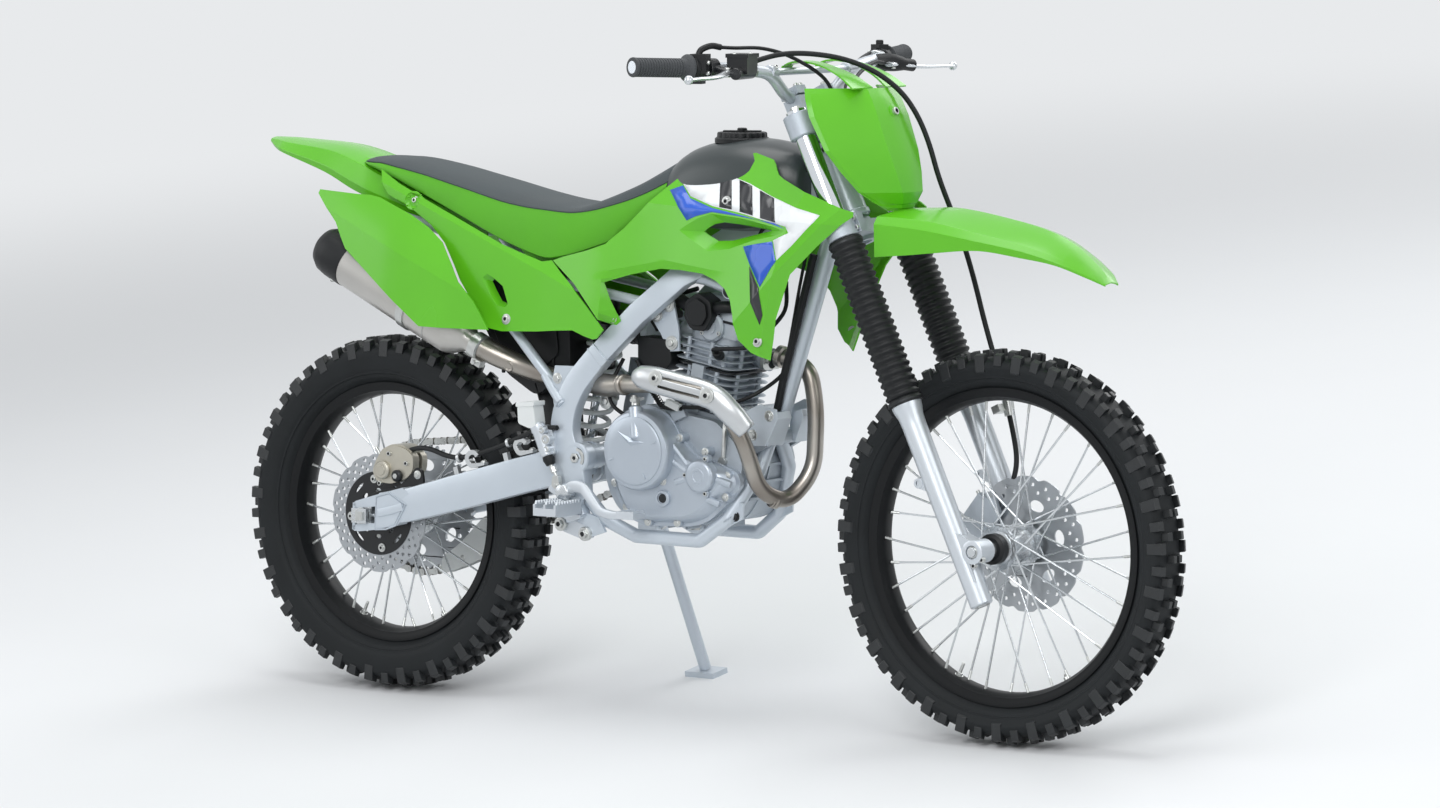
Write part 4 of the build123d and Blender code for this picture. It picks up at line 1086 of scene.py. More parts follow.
shroudStripes = {  # a plain stripe set: a white field, a blue band under it, slanted dark bars and a tail
    "decalWhite": [
        [(716, 960), (742, 976), (770, 984), (806, 981), (870, 966), (930, 947), (1000, 929), (1044, 918),
         (1036, 906), (1021, 891), (996, 864), (969, 838), (956, 872), (990, 886), (984, 897), (950, 902),
         (880, 914), (800, 925), (742, 940)],
    ],
    "decalBlue": [
        [(690, 949), (716, 958), (742, 937), (800, 922), (880, 911), (950, 900), (982, 893), (955, 902),
         (880, 909), (802, 915), (764, 906), (744, 898), (716, 926)],
        [(954, 870), (967, 836), (958, 826), (934, 790), (905, 826), (884, 858), (916, 864)],
    ],
    "decalDark": [
        [(904, 824), (932, 787), (934, 740), (926, 722), (914, 762)],
        [(794, 981), (822, 976), (846, 921), (816, 924)],
        [(842, 972), (876, 963), (900, 913), (866, 918)],
        [(898, 956), (938, 944), (958, 903), (920, 909)],
    ],
}


def makeShroud(name, side):
    mesh = bmesh.new()
    folds = [shroud[fold] for fold in ("shoulder", "front", "fang", "hem", "hemRear")]
    addPanel(mesh, shroud["outline"], shroudSurface, side, folds=folds,
             dishes=[(shroud["ventRim"], shroud["ventFloor"], shroud["ventDepth"], True)])
    makePanelPiece(name + "Panel", mesh, ["greenPlastic"], "frame", wall=shroud["wall"], bevel=1.2,
                   replaces=["shroud_right" if side < 0 else "shroud_left"], slot="green_plastic")
    for layer, (coat, shapes) in enumerate(shroudStripes.items()):
        stripe = bmesh.new()
        for outline in shapes:
            addPanel(stripe, outline, lambda x, z: shroudSurface(x, z) + 0.45 + 0.25 * layer, side,
                     folds=folds)
        makePanelPiece(name + coat[5:] + "Stripe", stripe, [coat], "frame", wall=0.4, slot="green_plastic")
    screws = bmesh.new()
    for x, z in ((917, 692), (574, 716), (828, 934)):
        addScrew(screws, x, z, shroudSurface, side)
    makePiece(name + "Screws", screws, ["zincBolt", "darkBoltAndRecessShade"], "frame", slot="bright_alloy")


# Side covers and number panels

sideCover = {
    "outline": [(34, 966), (80, 942), (142, 916), (204, 891), (265, 866), (325, 841), (372, 826), (417, 812),
                (436, 815), (460, 796), (492, 773), (535, 734), (574, 697), (560, 681), (551, 679),
                (530, 684), (503, 693), (455, 690), (420, 687), (341, 684), (300, 690), (276, 724),
                (262, 745), (240, 772), (224, 800), (200, 838), (168, 868), (126, 893), (60, 922), (46, 940)],
    "plan": [(30, 121), (200, 124), (420, 123), (580, 131)],
    "spine": ((40, 945), (420, 795)),
    "slotRim": [(290, 778), (300, 786), (318, 778), (338, 765), (352, 733), (345, 727), (327, 730),
                (308, 752)],
    "slotFloor": [(304, 772), (309, 777), (320, 771), (333, 760), (343, 738), (339, 734), (329, 737),
                  (316, 754)],
    "cupPlace": (118, 912),
}
numberPanel = {
    "outline": [(-84, 927), (-86, 920), (-60, 893), (-36, 869), (-20, 840), (-9, 822), (60, 772), (120, 728),
                (177, 688), (230, 687), (334, 688), (318, 710), (297, 738), (270, 762), (258, 772),
                (236, 803), (206, 841), (170, 866), (126, 888), (52, 916), (30, 920), (0, 921)],
    "plan": [(-90, 146), (100, 160), (340, 155)],
    "shoulder": ((-86, 905), (230, 772)),
}


def sideCoverSurface(x, z):
    y = between(x, sideCover["plan"]) - (z - 800) * 0.10
    y -= max(0, alongLine((x, z), sideCover["spine"])) * 0.55
    return y


def numberPanelSurface(x, z):
    y = between(x, numberPanel["plan"]) - (z - 800) * 0.10
    rise = alongLine((x, z), numberPanel["shoulder"])
    if rise > 0:
        y -= rise * 0.20 + rise * rise * 0.0026
    return y


def makeSidePanels(name, side):
    word = "Right" if side < 0 else "Left"
    mesh = bmesh.new()
    cup = sideCover["cupPlace"]
    addPanel(mesh, sideCover["outline"], sideCoverSurface, side, folds=[sideCover["spine"]], dishes=[
        (sideCover["slotRim"], sideCover["slotFloor"], 14, True),
        (circle(*cup, 17, 18), circle(cup[0], cup[1], 12, 18), 9, False)])
    makePanelPiece("sideCover" + word, mesh, ["greenPlastic"], "frame", wall=3.0, bevel=1.2,
                   replaces=["side_cover_" + name], slot="green_plastic")
    mesh = bmesh.new()
    addPanel(mesh, numberPanel["outline"], numberPanelSurface, side, folds=[numberPanel["shoulder"]])
    makePanelPiece("numberPanel" + word, mesh, ["greenPlastic"], "frame", wall=3.0, bevel=1.2,
                   replaces=["number_panel_" + name], slot="green_plastic")
    screws = bmesh.new()
    addScrew(screws, 350, 706, sideCoverSurface, side)
    addScrew(screws, cup[0], cup[1], lambda x, z: sideCoverSurface(x, z) - 9, side, 6)
    makePiece("sideCoverScrews" + word, screws, ["zincBolt", "darkBoltAndRecessShade"], "frame", slot="bright_alloy")


# Arched sheets: fenders and the front number plate, spanned over cross sections

def addArch(mesh, stations):
    # a station is (x, [(y, z), ...]) from the middle outwards; the other half is its mirror
    rows = [smoothPath([(x, *points[index]) for x, points in stations], 5)
            for index in range(len(stations[0][1]))]
    spanRows(mesh, mirroredRows(mesh, rows), closeRows=False, closePoints=False)
    mesh.normal_update()


def faceUp(mesh, direction):
    if sum((face.normal * face.calc_area()).dot(Vector(direction)) for face in mesh.faces) < 0:
        bmesh.ops.reverse_faces(mesh, faces=mesh.faces)


frontFender = {  # each point: ridge, flank, shoulder, side edge
    "stations": [
        (1130, [(0, 927), (34, 924), (88, 917), (99, 904), (97, 846)]),
        (1190, [(0, 930), (35, 926), (88, 915), (99, 900), (97, 851)]),
        (1250, [(0, 931), (35, 926), (86, 910), (97, 894), (94, 857)]),
        (1339, [(0, 918), (34, 912), (80, 893), (90, 880), (88, 864)]),
        (1420, [(0, 901), (30, 895), (70, 876), (79, 866), (77, 854)]),
        (1480, [(0, 878), (25, 872), (57, 857), (65, 849), (63, 843)]),
        (1530, [(0, 842), (17, 838), (38, 831), (44, 828), (43, 823)]),
        (1558, [(0, 814), (8, 813), (18, 811), (21, 810), (20, 807)]),
    ],
}
rearFender = {
    "stations": [
        (-292, [(0, 1014), (8, 1013), (16, 1011), (18, 1007), (17, 1004)]),
        (-262, [(0, 1014), (16, 1013), (30, 1009), (39, 998), (38, 993)]),
        (-226, [(0, 1013), (24, 1011), (42, 1005), (56, 991), (54, 984)]),
        (-117, [(0, 1005), (36, 1003), (60, 995), (76, 968), (74, 955)]),
        (-40, [(0, 985), (44, 984), (72, 975), (88, 940), (86, 925)]),
        (26, [(0, 962), (46, 961), (78, 950), (92, 918), (90, 905)]),
        (140, [(0, 918), (46, 917), (70, 906), (76, 880), (74, 872)]),
        (250, [(0, 876), (40, 875), (52, 868), (58, 848), (57, 842)]),
    ],
}
frontPlate = {  # rows from the top down: height, then (x, y) from the middle outwards
    "rows": [
        (1137, [(1084, 0), (1078, 44), (1001, 108), (992, 112)]),
        (1118, [(1096, 0), (1090, 46), (1009, 117), (1000, 121)]),
        (1088, [(1110, 0), (1104, 48), (1022, 124), (1013, 128)]),
        (1029, [(1131, 0), (1126, 46), (1050, 118), (1042, 122)]),
        (990, [(1142, 0), (1138, 39), (1072, 98), (1064, 102)]),
        (956, [(1149, 0), (1146, 31), (1094, 78), (1087, 82)]),
        (936, [(1142, 0), (1140, 22), (1112, 50), (1107, 53)]),
        (925, [(1130, 0), (1128, 14), (1118, 30), (1114, 32)]),
    ],
}


def makeFenders():
    for name, fender, body in (("front", frontFender, "steering"), ("rear", rearFender, "frame")):
        mesh = bmesh.new()
        addArch(mesh, fender["stations"])
        faceUp(mesh, (0, 0, 1))
        makePanelPiece(name + "FenderShell", mesh, ["greenPlastic"], body, wall=3.2, bevel=1.4, sharp=16,
                       replaces=[name + "_fender"], slot="green_plastic")


def makeFrontPlate():
    mesh = bmesh.new()
    rows = []
    for z, points in frontPlate["rows"]:
        right = [(x, -y, z) for x, y in reversed(points[1:])]
        rows.append([mesh.verts.new(point) for point in right + [(x, y, z) for x, y in points]])
    spanRows(mesh, rows, closeRows=False, closePoints=False)
    mesh.normal_update()
    faceUp(mesh, (1, 0, 0))
    bmesh.ops.subdivide_edges(mesh, edges=mesh.edges[:], cuts=1, use_grid_fill=True)
    for side in (-1, 1):  # straps that hook over the handlebar's brace
        middle = side * 52
        path = smoothPath([(1075, middle, 1138), (1040, middle, 1160), (990, middle, 1178),
                           (945, middle, 1183), (918, middle, 1176), (912, middle, 1162)], 3)
        strip = []
        for point in path:
            narrow = 15 if point.x < 1000 else 15 + (point.x - 1000) * 0.22
            strip.append([mesh.verts.new((point.x, point.y - narrow, point.z)),
                          mesh.verts.new((point.x, point.y + narrow, point.z))])
        for (a, b), (c, d) in zip(strip, strip[1:]):
            mesh.faces.new((a, b, d, c))
    mesh.normal_update()
    for face in mesh.faces:
        if face.normal.x + face.normal.z < 0:
            face.normal_flip()
    makePanelPiece("frontPlateShell", mesh, ["greenPlastic"], "steering", wall=3.2, bevel=1.4, sharp=14,
                   replaces=["front_number_plate"], slot="green_plastic")
    screw = bmesh.new()
    addTurned(screw, [(0, 0), (13, 0), (13, 2.2), (10, 3), (0, 3)], (1104, 0, 1095), (1, 0, 0.36), 28)
    addBolt(screw, (1107, 0, 1096), (1, 0, 0.36), 7, 5, 1, "socket", 2)
    makePiece("frontPlateScrew", screw, ["greenPlastic", "zincBolt", "darkBoltAndRecessShade"], "steering",
              slot="bright_alloy")


makeShroud("shroudRight", -1)
makeShroud("shroudLeft", 1)
makeSidePanels("right", -1)
makeSidePanels("left", 1)
makeFenders()
makeFrontPlate()
print("bodywork made")

# Seat: foam under a stretched cover, dark on top and green at the sides

seat = {
    "top": [(-30, 984), (-22, 986), (48, 984), (123, 971), (234, 949), (311, 933), (372, 921), (451, 911),
            (480, 915), (507, 924), (552, 941), (597, 961), (640, 984), (668, 1000)],
    "edge": [(-30, 978), (25, 977), (123, 960), (234, 935), (311, 917), (372, 908), (451, 902), (480, 902),
             (520, 908), (574, 922), (620, 938), (668, 962)],
    "low": [(-30, 975), (16, 966), (80, 945), (204, 895), (325, 845), (380, 828), (417, 819), (462, 823),
            (500, 833), (561, 855), (600, 884), (633, 912), (668, 946)],
    "edgeY": [(-30, 60), (-10, 74), (25, 82), (123, 88), (234, 93), (372, 98), (455, 98), (560, 90),
              (640, 78), (668, 72)],
    "sideY": [(-30, 62), (-10, 78), (25, 88), (123, 97), (234, 103), (372, 108), (455, 108), (560, 99),
              (640, 84), (668, 76)],
    "places": [-30, -27, -22, -10, 8, 25, 60, 123, 180, 234, 311, 372, 417, 451, 480, 520, 561, 597, 633, 655,
               668],
    "crown": [(0.0, 0.0), (0.3, 0.02), (0.58, 0.14), (0.80, 0.42), (0.93, 0.76)],
    "weltRadius": 1.5,
}


def seatSection(x):
    top, edge, low = between(x, seat["top"]), between(x, seat["edge"]), between(x, seat["low"])
    edgeY, sideY = between(x, seat["edgeY"]), between(x, seat["sideY"])
    low = min(low, edge - 1.5)
    points = [(edgeY * share, top - (top - edge) * fall) for share, fall in seat["crown"]]
    points += [(edgeY, edge), (edgeY + 0.6, edge - 1.2)]
    for share, swell in ((0.25, 2.6), (0.5, 3.6), (0.75, 2.4)):
        points.append((edgeY + (sideY - edgeY) * share + swell, edge - (edge - low) * share))
    points += [(sideY, low + 1), (sideY - 3, low - 1.5), (sideY - 12, low - 2)]
    return points


def makeSeat():
    mesh = bmesh.new()
    count = len(seatSection(0))
    rows = [smoothPath([(x, *seatSection(x)[index]) for x in seat["places"]], 3) for index in range(count)]
    vertices = mirroredRows(mesh, rows)
    darkSpans = len(seat["crown"]) + 1
    for index, pair in enumerate(zip(vertices, vertices[1:])):
        dark = abs(index - (count - 1) + 0.5) < darkSpans
        spanRows(mesh, pair, 0 if dark else 1, closeRows=False, closePoints=False)
    closeShell(mesh, vertices, 1)
    cushion = makePiece("seatCushion", mesh, ["seatVinyl", "greenVinyl"], "frame", ["seat"], "seat_cover",
                        sharp=50)
    welt = bmesh.new()  # the sewn edge between the two covers
    seam = len(seat["crown"])
    for line in (rows[seam], mirrored(rows[seam])):
        addTube(welt, [point + Vector((0, 0, 0.4)) for point in line[6:]], seat["weltRadius"], sides=8)
    makePiece("seatWelt", welt, ["seatVinyl"], "frame", slot="seat_cover")


# Fuel tank with its cap and collar

tank = {
    "sections": [  # x, then (y, z) from the middle outwards
        (652, [(0, 986), (30, 984), (52, 974), (66, 955), (74, 925), (72, 892)]),
        (672, [(0, 1006), (32, 1004), (60, 990), (78, 962), (86, 925), (82, 885)]),
        (700, [(0, 1023), (34, 1020), (66, 1006), (86, 975), (94, 935), (88, 878)]),
        (740, [(0, 1034), (36, 1032), (70, 1018), (92, 985), (98, 940), (92, 872)]),
        (800, [(0, 1042), (38, 1040), (72, 1026), (94, 992), (100, 945), (94, 870)]),
        (850, [(0, 1040), (38, 1038), (70, 1024), (92, 990), (98, 945), (90, 875)]),
        (890, [(0, 1032), (37, 1030), (64, 1018), (82, 988), (86, 950), (78, 895)]),
        (922, [(22, 1020), (37, 1018), (56, 1008), (68, 985), (70, 955), (64, 915)]),
        (944, [(26, 1000), (36, 998), (48, 990), (56, 972), (56, 952), (50, 925)]),
    ],
    "capPlace": (779, 1038),
    "capRadius": 45,
}


def makeTank():
    mesh = bmesh.new()
    rows = [smoothPath([(x, *points[index]) for x, points in tank["sections"]], 4)
            for index in range(len(tank["sections"][0][1]))]
    vertices = mirroredRows(mesh, rows, 0)
    spanRows(mesh, vertices, closeRows=False, closePoints=False)
    closeShell(mesh, vertices)
    bmesh.ops.remove_doubles(mesh, verts=mesh.verts, dist=0.01)
    makePiece("tankShell", mesh, ["tankPlastic"], "frame", ["fuel_tank"], "tank_plastic", sharp=70,
              rounding=1)
    cap = bmesh.new()
    x, z = tank["capPlace"]
    radius = tank["capRadius"]
    addTurned(cap, [(radius + 4, -6), (radius + 4, 2), (radius + 1, 4), (radius - 4, 4)], (x, 0, z),
              (0, 0, 1), 64)
    rings = []
    for height, reach in ((3, 1.0), (11, 0.99), (13, 0.96), (13.5, 0.80), (11.5, 0.78), (11.5, 0.4)):
        ring = []
        for step in range(96):
            turn = math.tau * step / 96
            notch = 2.2 * max(0, math.cos(turn * 16)) ** 2 if reach > 0.9 else 0
            ring.append((x + (radius * reach - notch) * math.cos(turn),
                         (radius * reach - notch) * math.sin(turn), z + height))
        rings.append(ring)
    addRings(cap, rings)
    for turn in (0.5, 0.5 + math.pi):  # the raised grip across the cap
        centre = Vector((x + 17 * math.cos(turn), 17 * math.sin(turn), z + 13))
        addBox(cap, centre, (34, 15, 6), space=Matrix.Rotation(turn, 4, "Z"))
    addTurned(cap, [(9, 10), (9, 19), (7, 20.5), (0, 20.5)], (x, 0, z), (0, 0, 1), 24)
    makePiece("fuelCapTop", cap, ["blackPlastic"], "frame", ["fuel_cap"], "black_plastic", bevel=0.8,
              sharp=40)


makeSeat()
makeTank()
print("seat and tank made")

# Fork

fork = {
    "leg": [(264, 0), (264, 18), (266, 20.5), (600, 21.5), (618, 22.5), (632, 26), (640, 27.2), (651, 27.2),
            (652, 19)],
    "bootFolds": 22,
    "bootStart": 640,
    "bootEnd": 951,
    "bootOuter": 32,
    "bootInner": 27.5,
    "lowerClamp": (952, 992),
    "upperClamp": (1147, 1190),
    "hoseRoute": [  # behind the foot of the steering axis, to the left, up
        (514.7, -204, 1180), (500.7, -160, 1192), (486.7, -118, 1198), (460.7, -76, 1197),
        (420.7, -36, 1188), (378.7, 0, 1166), (344.7, 32, 1130), (322.7, 52, 1086), (306.7, 64, 1036),
        (296.7, 74, 984), (285.7, 88, 938), (274.7, 104, 894), (260.7, 112, 846), (244.7, 117, 790),
        (228.7, 121, 726), (206.7, 124, 656), (182.7, 121, 590), (162.7, 116, 530), (144.7, 102, 484),
        (142.7, 84, 446), (148.7, 72, 424), (152.7, 66, 406),
    ],
    "axleS": (345 - 60 * math.sin(math.radians(25))) / math.cos(math.radians(25)),
}


def forkSpace():
    # x ahead of the steering axis, y to the left, z up along it
    space = Matrix((forkAhead, Vector((0, 1, 0)), forkUp)).transposed().to_4x4()
    space.translation = onFork(0, 0, 0)
    return space


def legCentre(side, along):
    return onFork(bike["forkOffset"], side * bike["legSpread"], along)


def makeForkLegs():
    mesh = bmesh.new()
    for side in (-1, 1):
        foot = legCentre(side, 0)
        addTurned(mesh, [(radius, along) for along, radius in fork["leg"]], foot, forkUp, 56)
        addTurned(mesh, [(14, 262.5), (14, 264), (9, 264), (9, 268), (0, 268)], foot, forkUp, 6, 1)
        ahead = bike["axleLead"]
        axle = Vector((bike["wheelbase"], side * bike["legSpread"], wheels["front"]["radius"]))
        outline = []  # the casting that carries the axle ahead of the leg
        for step in range(15):
            turn = math.radians(-110 + step * 220 / 14)
            outline.append((axle.x + 21 * math.cos(turn), axle.z + 21 * math.sin(turn)))
        top = legCentre(side, fork["axleS"] + 58)
        bottom = legCentre(side, fork["axleS"] - 40)
        outline += [(top.x + 14, top.z - 6), (top.x, top.z), (bottom.x, bottom.z),
                    (bottom.x + 18, bottom.z - 2)]
        addPlate(mesh, outline, axle.y - 17, axle.y + 17)
        addTurned(mesh, [(21, -20), (21, 20), (18, 21.5), (12, 21.5), (12, 14), (0, 14)], axle, (0, side, 0),
                  40)
        for ahead, along in ((12, -19), (-8, -22)):  # pinch bolts below the axle
            place = axle + forkAhead * ahead + forkUp * along
            addBolt(mesh, place + Vector((0, side * 14, 0)), (0, side, 0), 5, 6, 1, "socket", 2)
        tab = legCentre(side, fork["axleS"] + 150) - forkAhead * 26
        addPlate(mesh, [(tab.x - 9, tab.z - 8), (tab.x + 14, tab.z - 14), (tab.x + 14, tab.z + 16),
                        (tab.x - 9, tab.z + 6)], *onSide(side, bike["legSpread"] - 5, bike["legSpread"] + 5))
        addTurned(mesh, [(9, -6), (9, 6), (5, 6), (5, -6)], tab + Vector((-6, 0, 0)), (0, 1, 0), 20,
                  ring=True)
    makePiece("forkLegs", mesh, ["legAlloy", "zincBolt", "darkBoltAndRecessShade"], "steering", ["fork_lowers"],
              "bright_alloy", bevel=1.6, sharp=35)


def makeForkBoots():
    mesh = bmesh.new()
    first, last = fork["bootStart"], fork["bootEnd"]
    outline = [(27.8, first), (31, first + 1), (31, first + 9), (28.5, first + 11)]
    span = (last - 14 - first - 11) / fork["bootFolds"]
    for index in range(fork["bootFolds"]):
        foot = first + 11 + index * span
        for share, reach in ((0.12, 0.05), (0.30, 0.72), (0.45, 0.98), (0.55, 1.0), (0.68, 0.80),
                             (0.88, 0.1)):
            outline.append((fork["bootInner"] + (fork["bootOuter"] - fork["bootInner"]) * reach,
                            foot + span * share))
    outline += [(28, last - 14), (30.5, last - 12), (30.5, last - 2), (28, last), (20, last), (20, last - 4)]
    for side in (-1, 1):
        addTurned(mesh, outline, legCentre(side, 0), forkUp, 56)
    makePiece("forkBellows", mesh, ["softRubber"], "steering", ["fork_boots"], "black_rubber", sharp=70)
    bands = bmesh.new()
    for side in (-1, 1):
        for along in (first + 3, last - 9):
            outline = [(31.4, along), (31.8, along + 0.5), (31.8, along + 3.5), (31.4, along + 4),
                       (30.6, along + 4), (30.6, along)]
            addTurned(bands, outline, legCentre(side, 0), forkUp, ring=True)
    makePiece("bellowsBands", bands, ["darkBoltAndRecessShade"], "steering", slot="black_rubber")


def makeForkClamps():
    mesh = bmesh.new()
    spread, offset = bike["legSpread"], bike["forkOffset"]
    for (low, high), lobe, waist in ((fork["lowerClamp"], 29, 24), (fork["upperClamp"], 27, 21)):
        space = forkSpace()
        web = [(-waist, -26), (-waist, 26), (offset - 10, spread - 12), (offset + 18, spread - 12),
               (waist + 14, 20), (waist + 14, -20), (offset + 18, 12 - spread), (offset - 10, 12 - spread)]
        addPlate(mesh, web, low + 7, high - 8, space=space)
        addTurned(mesh, band(15, 26, low, high), onFork(0, 0, 0), forkUp, 40, ring=True)
        for side in (-1, 1):
            foot = legCentre(side, 0)
            addTurned(mesh, [(18.6, low), (lobe - 1.5, low), (lobe, low + 1.5), (lobe, high - 1.5),
                             (lobe - 1.5, high), (18.6, high)], foot, forkUp, ring=True)
            ears = onFork(offset + lobe - 3, side * (spread - 20), (low + high) / 2)
            addBox(mesh, ears, (17, 20, high - low - 4), space=space.to_3x3().to_4x4())
            for along in (low + 11, high - 11):
                at = onFork(offset + lobe - 1, side * (spread - 9), along)
                addBolt(mesh, at, Vector((0, side, 0)), 5.2, 5, 1, "socket", 2)
    top = fork["upperClamp"][1]
    addTurned(mesh, [(0, 0), (19, 0), (19, 4), (16, 5), (0, 5)], onFork(0, 0, top - 1), forkUp, 28, 1)
    addTurned(mesh, [(16, 4), (16, 13), (14, 15), (0, 15)], onFork(0, 0, top - 1), forkUp, 6, 1)
    addTurned(mesh, band(12, 14, fork["lowerClamp"][1], top), onFork(0, 0, 0), forkUp, 28, ring=True)
    for side in (-1, 1):
        cap = legCentre(side, top + 1)
        addTurned(mesh, [(18.4, 0), (18.4, 5), (16.5, 6.5), (0, 6.5)], cap, forkUp, 36, 1)
        addTurned(mesh, [(9, 6), (9, 12), (8, 13), (0, 13)], cap, forkUp, 6, 1)
    for side in (-1, 1):  # bar holders: a block below the bar, a cap over it, four bolts
        bar = Vector((923, side * 42, 1117))
        base = onFork(0, side * 42, top - 4)
        aim = (bar - base).normalized()
        across = Vector((0, 1, 0))
        front = across.cross(aim)
        length = (bar - base).length
        block = Matrix((front, across, aim)).transposed().to_4x4()
        addBox(mesh, base + aim * (length / 2 - 1), (36, 28, length - 2), space=block)
        addBox(mesh, bar + aim * 8.5, (40, 28, 15), space=block)
        for lead in (-15.5, 15.5):
            for shift in (-7, 7):
                addBolt(mesh, bar + front * lead + across * shift + aim * 15.5, aim, 4.4, 5, 1, "socket", 2)
    makePiece("forkClampSet", mesh, ["castAlloy", "zincBolt", "darkBoltAndRecessShade"], "steering", ["fork_clamps"],
              "bright_alloy", bevel=1.5, sharp=35)


def makeFrontAxle():
    mesh = bmesh.new()
    x, z, spread = bike["wheelbase"], wheels["front"]["radius"], bike["legSpread"]
    addRod(mesh, (x, -spread - 24, z), (x, spread + 24, z), 8.5, chamfer=1)
    addAcross(mesh, [(13.5, -84), (15, -82), (15, -62), (9, -62), (9, -84)], x, z, steps=32, ring=True)
    addAcross(mesh, band(9, 15, 60, 82), x, z, steps=32, ring=True)
    addBolt(mesh, (x, -spread - 13, z), (0, -1, 0), 11, 7, 1, "socket", 2)
    addTurned(mesh, pin(17, 20, 23), (x, spread, z), steps=32, finish=1)
    addTurned(mesh, [(13, 22), (13, 32), (11, 33.5), (0, 33.5)], (x, spread, z), steps=6, finish=1)
    makePiece("frontAxleSet", mesh, ["machinedAlloy", "zincBolt", "darkBoltAndRecessShade"], "steering", ["front_axle"],
              "bright_alloy", bevel=0.6, sharp=40)


# Front brake: sliding caliper over the disc on the left leg, its hose and guides

def makeFrontCaliper():
    mesh = bmesh.new()
    body = [(1212, 330), (1222, 384), (1252, 428), (1298, 434), (1314, 406), (1304, 366), (1290, 316),
            (1254, 298)]
    inner = [(1224, 336), (1234, 386), (1262, 420), (1292, 424), (1302, 400), (1282, 324), (1256, 308)]
    addPlate(mesh, body, 60, 78)
    addPlate(mesh, inner, 40, 49)
    addPlate(mesh, [(1214, 334), (1226, 328), (1240, 384), (1268, 418), (1256, 430), (1226, 392)], 44, 74)
    for x, z in ((1254, 342), (1270, 390)):
        addTurned(mesh, [(0, 0), (15, 0), (15, 8), (13, 10), (0, 10)], (x, 76, z), (0, 1, 0), 32)
        addBolt(mesh, (x + 20, 77, z + 12), (0, 1, 0), 5, 5, 1, "socket", 2)
    addPlate(mesh, [(1250, 420), (1276, 424), (1318, 402), (1330, 356), (1316, 356), (1300, 396),
                    (1262, 410)], 72, 80)
    addTurned(mesh, band(4.6, 8, -5, 5), (1293, 68, 420), (0, 1, 0), 20, 1, True)
    addBolt(mesh, (1293, 72, 420), (0, 1, 0), 5, 4, 1)
    addTurned(mesh, [(0, 0), (5, 0), (5, 5), (3.4, 7), (3.4, 13), (0, 13)], (1246, 66, 420), (-0.5, 0, 0.86),
              16, 1)
    makePiece("frontCaliperSet", mesh, ["castAlloy", "zincBolt", "darkBoltAndRecessShade"], "steering",
              ["front_brake_caliper"], "bright_alloy", bevel=2.0, sharp=35)
    makeHose("frontBrakeHose", [(forkFoot.x - back, y, z) for back, y, z in fork["hoseRoute"]], "steering",
             "front_brake_hose")
    clips = bmesh.new()
    for start, end in (((1233, 123.5, 670), (1244, 124, 636)), ((1262, 121, 590), (1270, 119, 560))):
        addRod(clips, start, end, 7.5, chamfer=1)
    for low in ((1229, 112, 651), (1258, 109, 573)):
        addBox(clips, low, (16, 30, 14), space=Matrix.Rotation(-bike["rake"], 4, "Y"))
    makePiece("frontHoseClips", clips, ["zincBolt"], "steering", slot="bright_alloy", bevel=1, sharp=40)


makeForkLegs()
makeForkBoots()
makeForkClamps()
makeFrontAxle()
makeFrontCaliper()
coatNode("fork_tubes", "chrome")
print("fork made")

# Handlebar and controls

controls = {
    "bar": [(923, 0, 1117), (923, -66, 1117), (927, -124, 1163), (912, -196, 1172), (843, -417.5, 1180)],
    "barRadius": 11,
    "gripLength": 122,
    "bendStart": (985, 0, 1125),  # where the cables pass from the steering to the frame
    "bendEnd": (965, 0, 995),
    "gripRadius": 16.5,
    "leverTip": (957, 408, 1160),
}


def barLine(side, inset):
    # a point on the bar's straight outer part, inset from its end
    inner, outer = Vector(controls["bar"][-2]), Vector(controls["bar"][-1])
    point = outer + (inner - outer).normalized() * inset
    return Vector((point.x, side * abs(point.y), point.z))


def barAim(side):
    return (barLine(side, 10) - barLine(side, 0)).normalized()


def makeHandlebar():
    mesh = bmesh.new()
    half = controls["bar"]
    path = bentPath(half[:0:-1] + [half[0]] + mirrored(half[1:]), 24, 6)
    addTube(mesh, path, controls["barRadius"], sides=32)
    addRod(mesh, (926, -126, 1164), (926, 126, 1164), 6.5, steps=24)
    for side in (-1, 1):  # the clamps that hold the brace
        addRod(mesh, (926, side * 108, 1163), (926, side * 128, 1165), 12.5, chamfer=1.5, steps=24)
        addBolt(mesh, (934, side * 118, 1172), (0.7, 0, 0.7), 4.5, 5, 1, "socket", 2)
        for ring in range(9):  # knurled band beside the clamps
            middle = side * (58 - ring * 1.6)
            addTurned(mesh, [(11.0, 0), (11.25, 0.4), (11.25, 1.0), (11.0, 1.4)], (923, middle, 1117),
                      (0, 1, 0), 24, ring=True)
    makePiece("handlebarTube", mesh, ["legAlloy", "zincBolt", "darkBoltAndRecessShade"], "steering", ["handlebar"],
              "bright_alloy", sharp=40)


def makeGrips():
    mesh = bmesh.new()
    radius = controls["gripRadius"]
    for side in (-1, 1):
        start, aim = barLine(side, 0), barAim(side)
        outline = [(0, 0.1), (12, 0.1), (16.9, 0.8), (17.5, 3), (17.1, 6), (radius - 0.8, 7)]
        for rib in range(17):
            foot = 8 + rib * 5.7
            outline += [(radius - 1.0, foot), (radius + 0.3, foot + 0.7), (radius + 0.3, foot + 3.6),
                        (radius - 1.0, foot + 4.3)]
        outline += [(radius, 107), (radius + 1, 112), (23.5, 117), (24.2, 119), (24.0, 122), (18, 123),
                    (11.2, 123)]
        addTurned(mesh, outline, start, aim, 40)
    makePiece("gripSleeves", mesh, ["gripRubber"], "steering", ["grips"], "black_rubber", sharp=34)


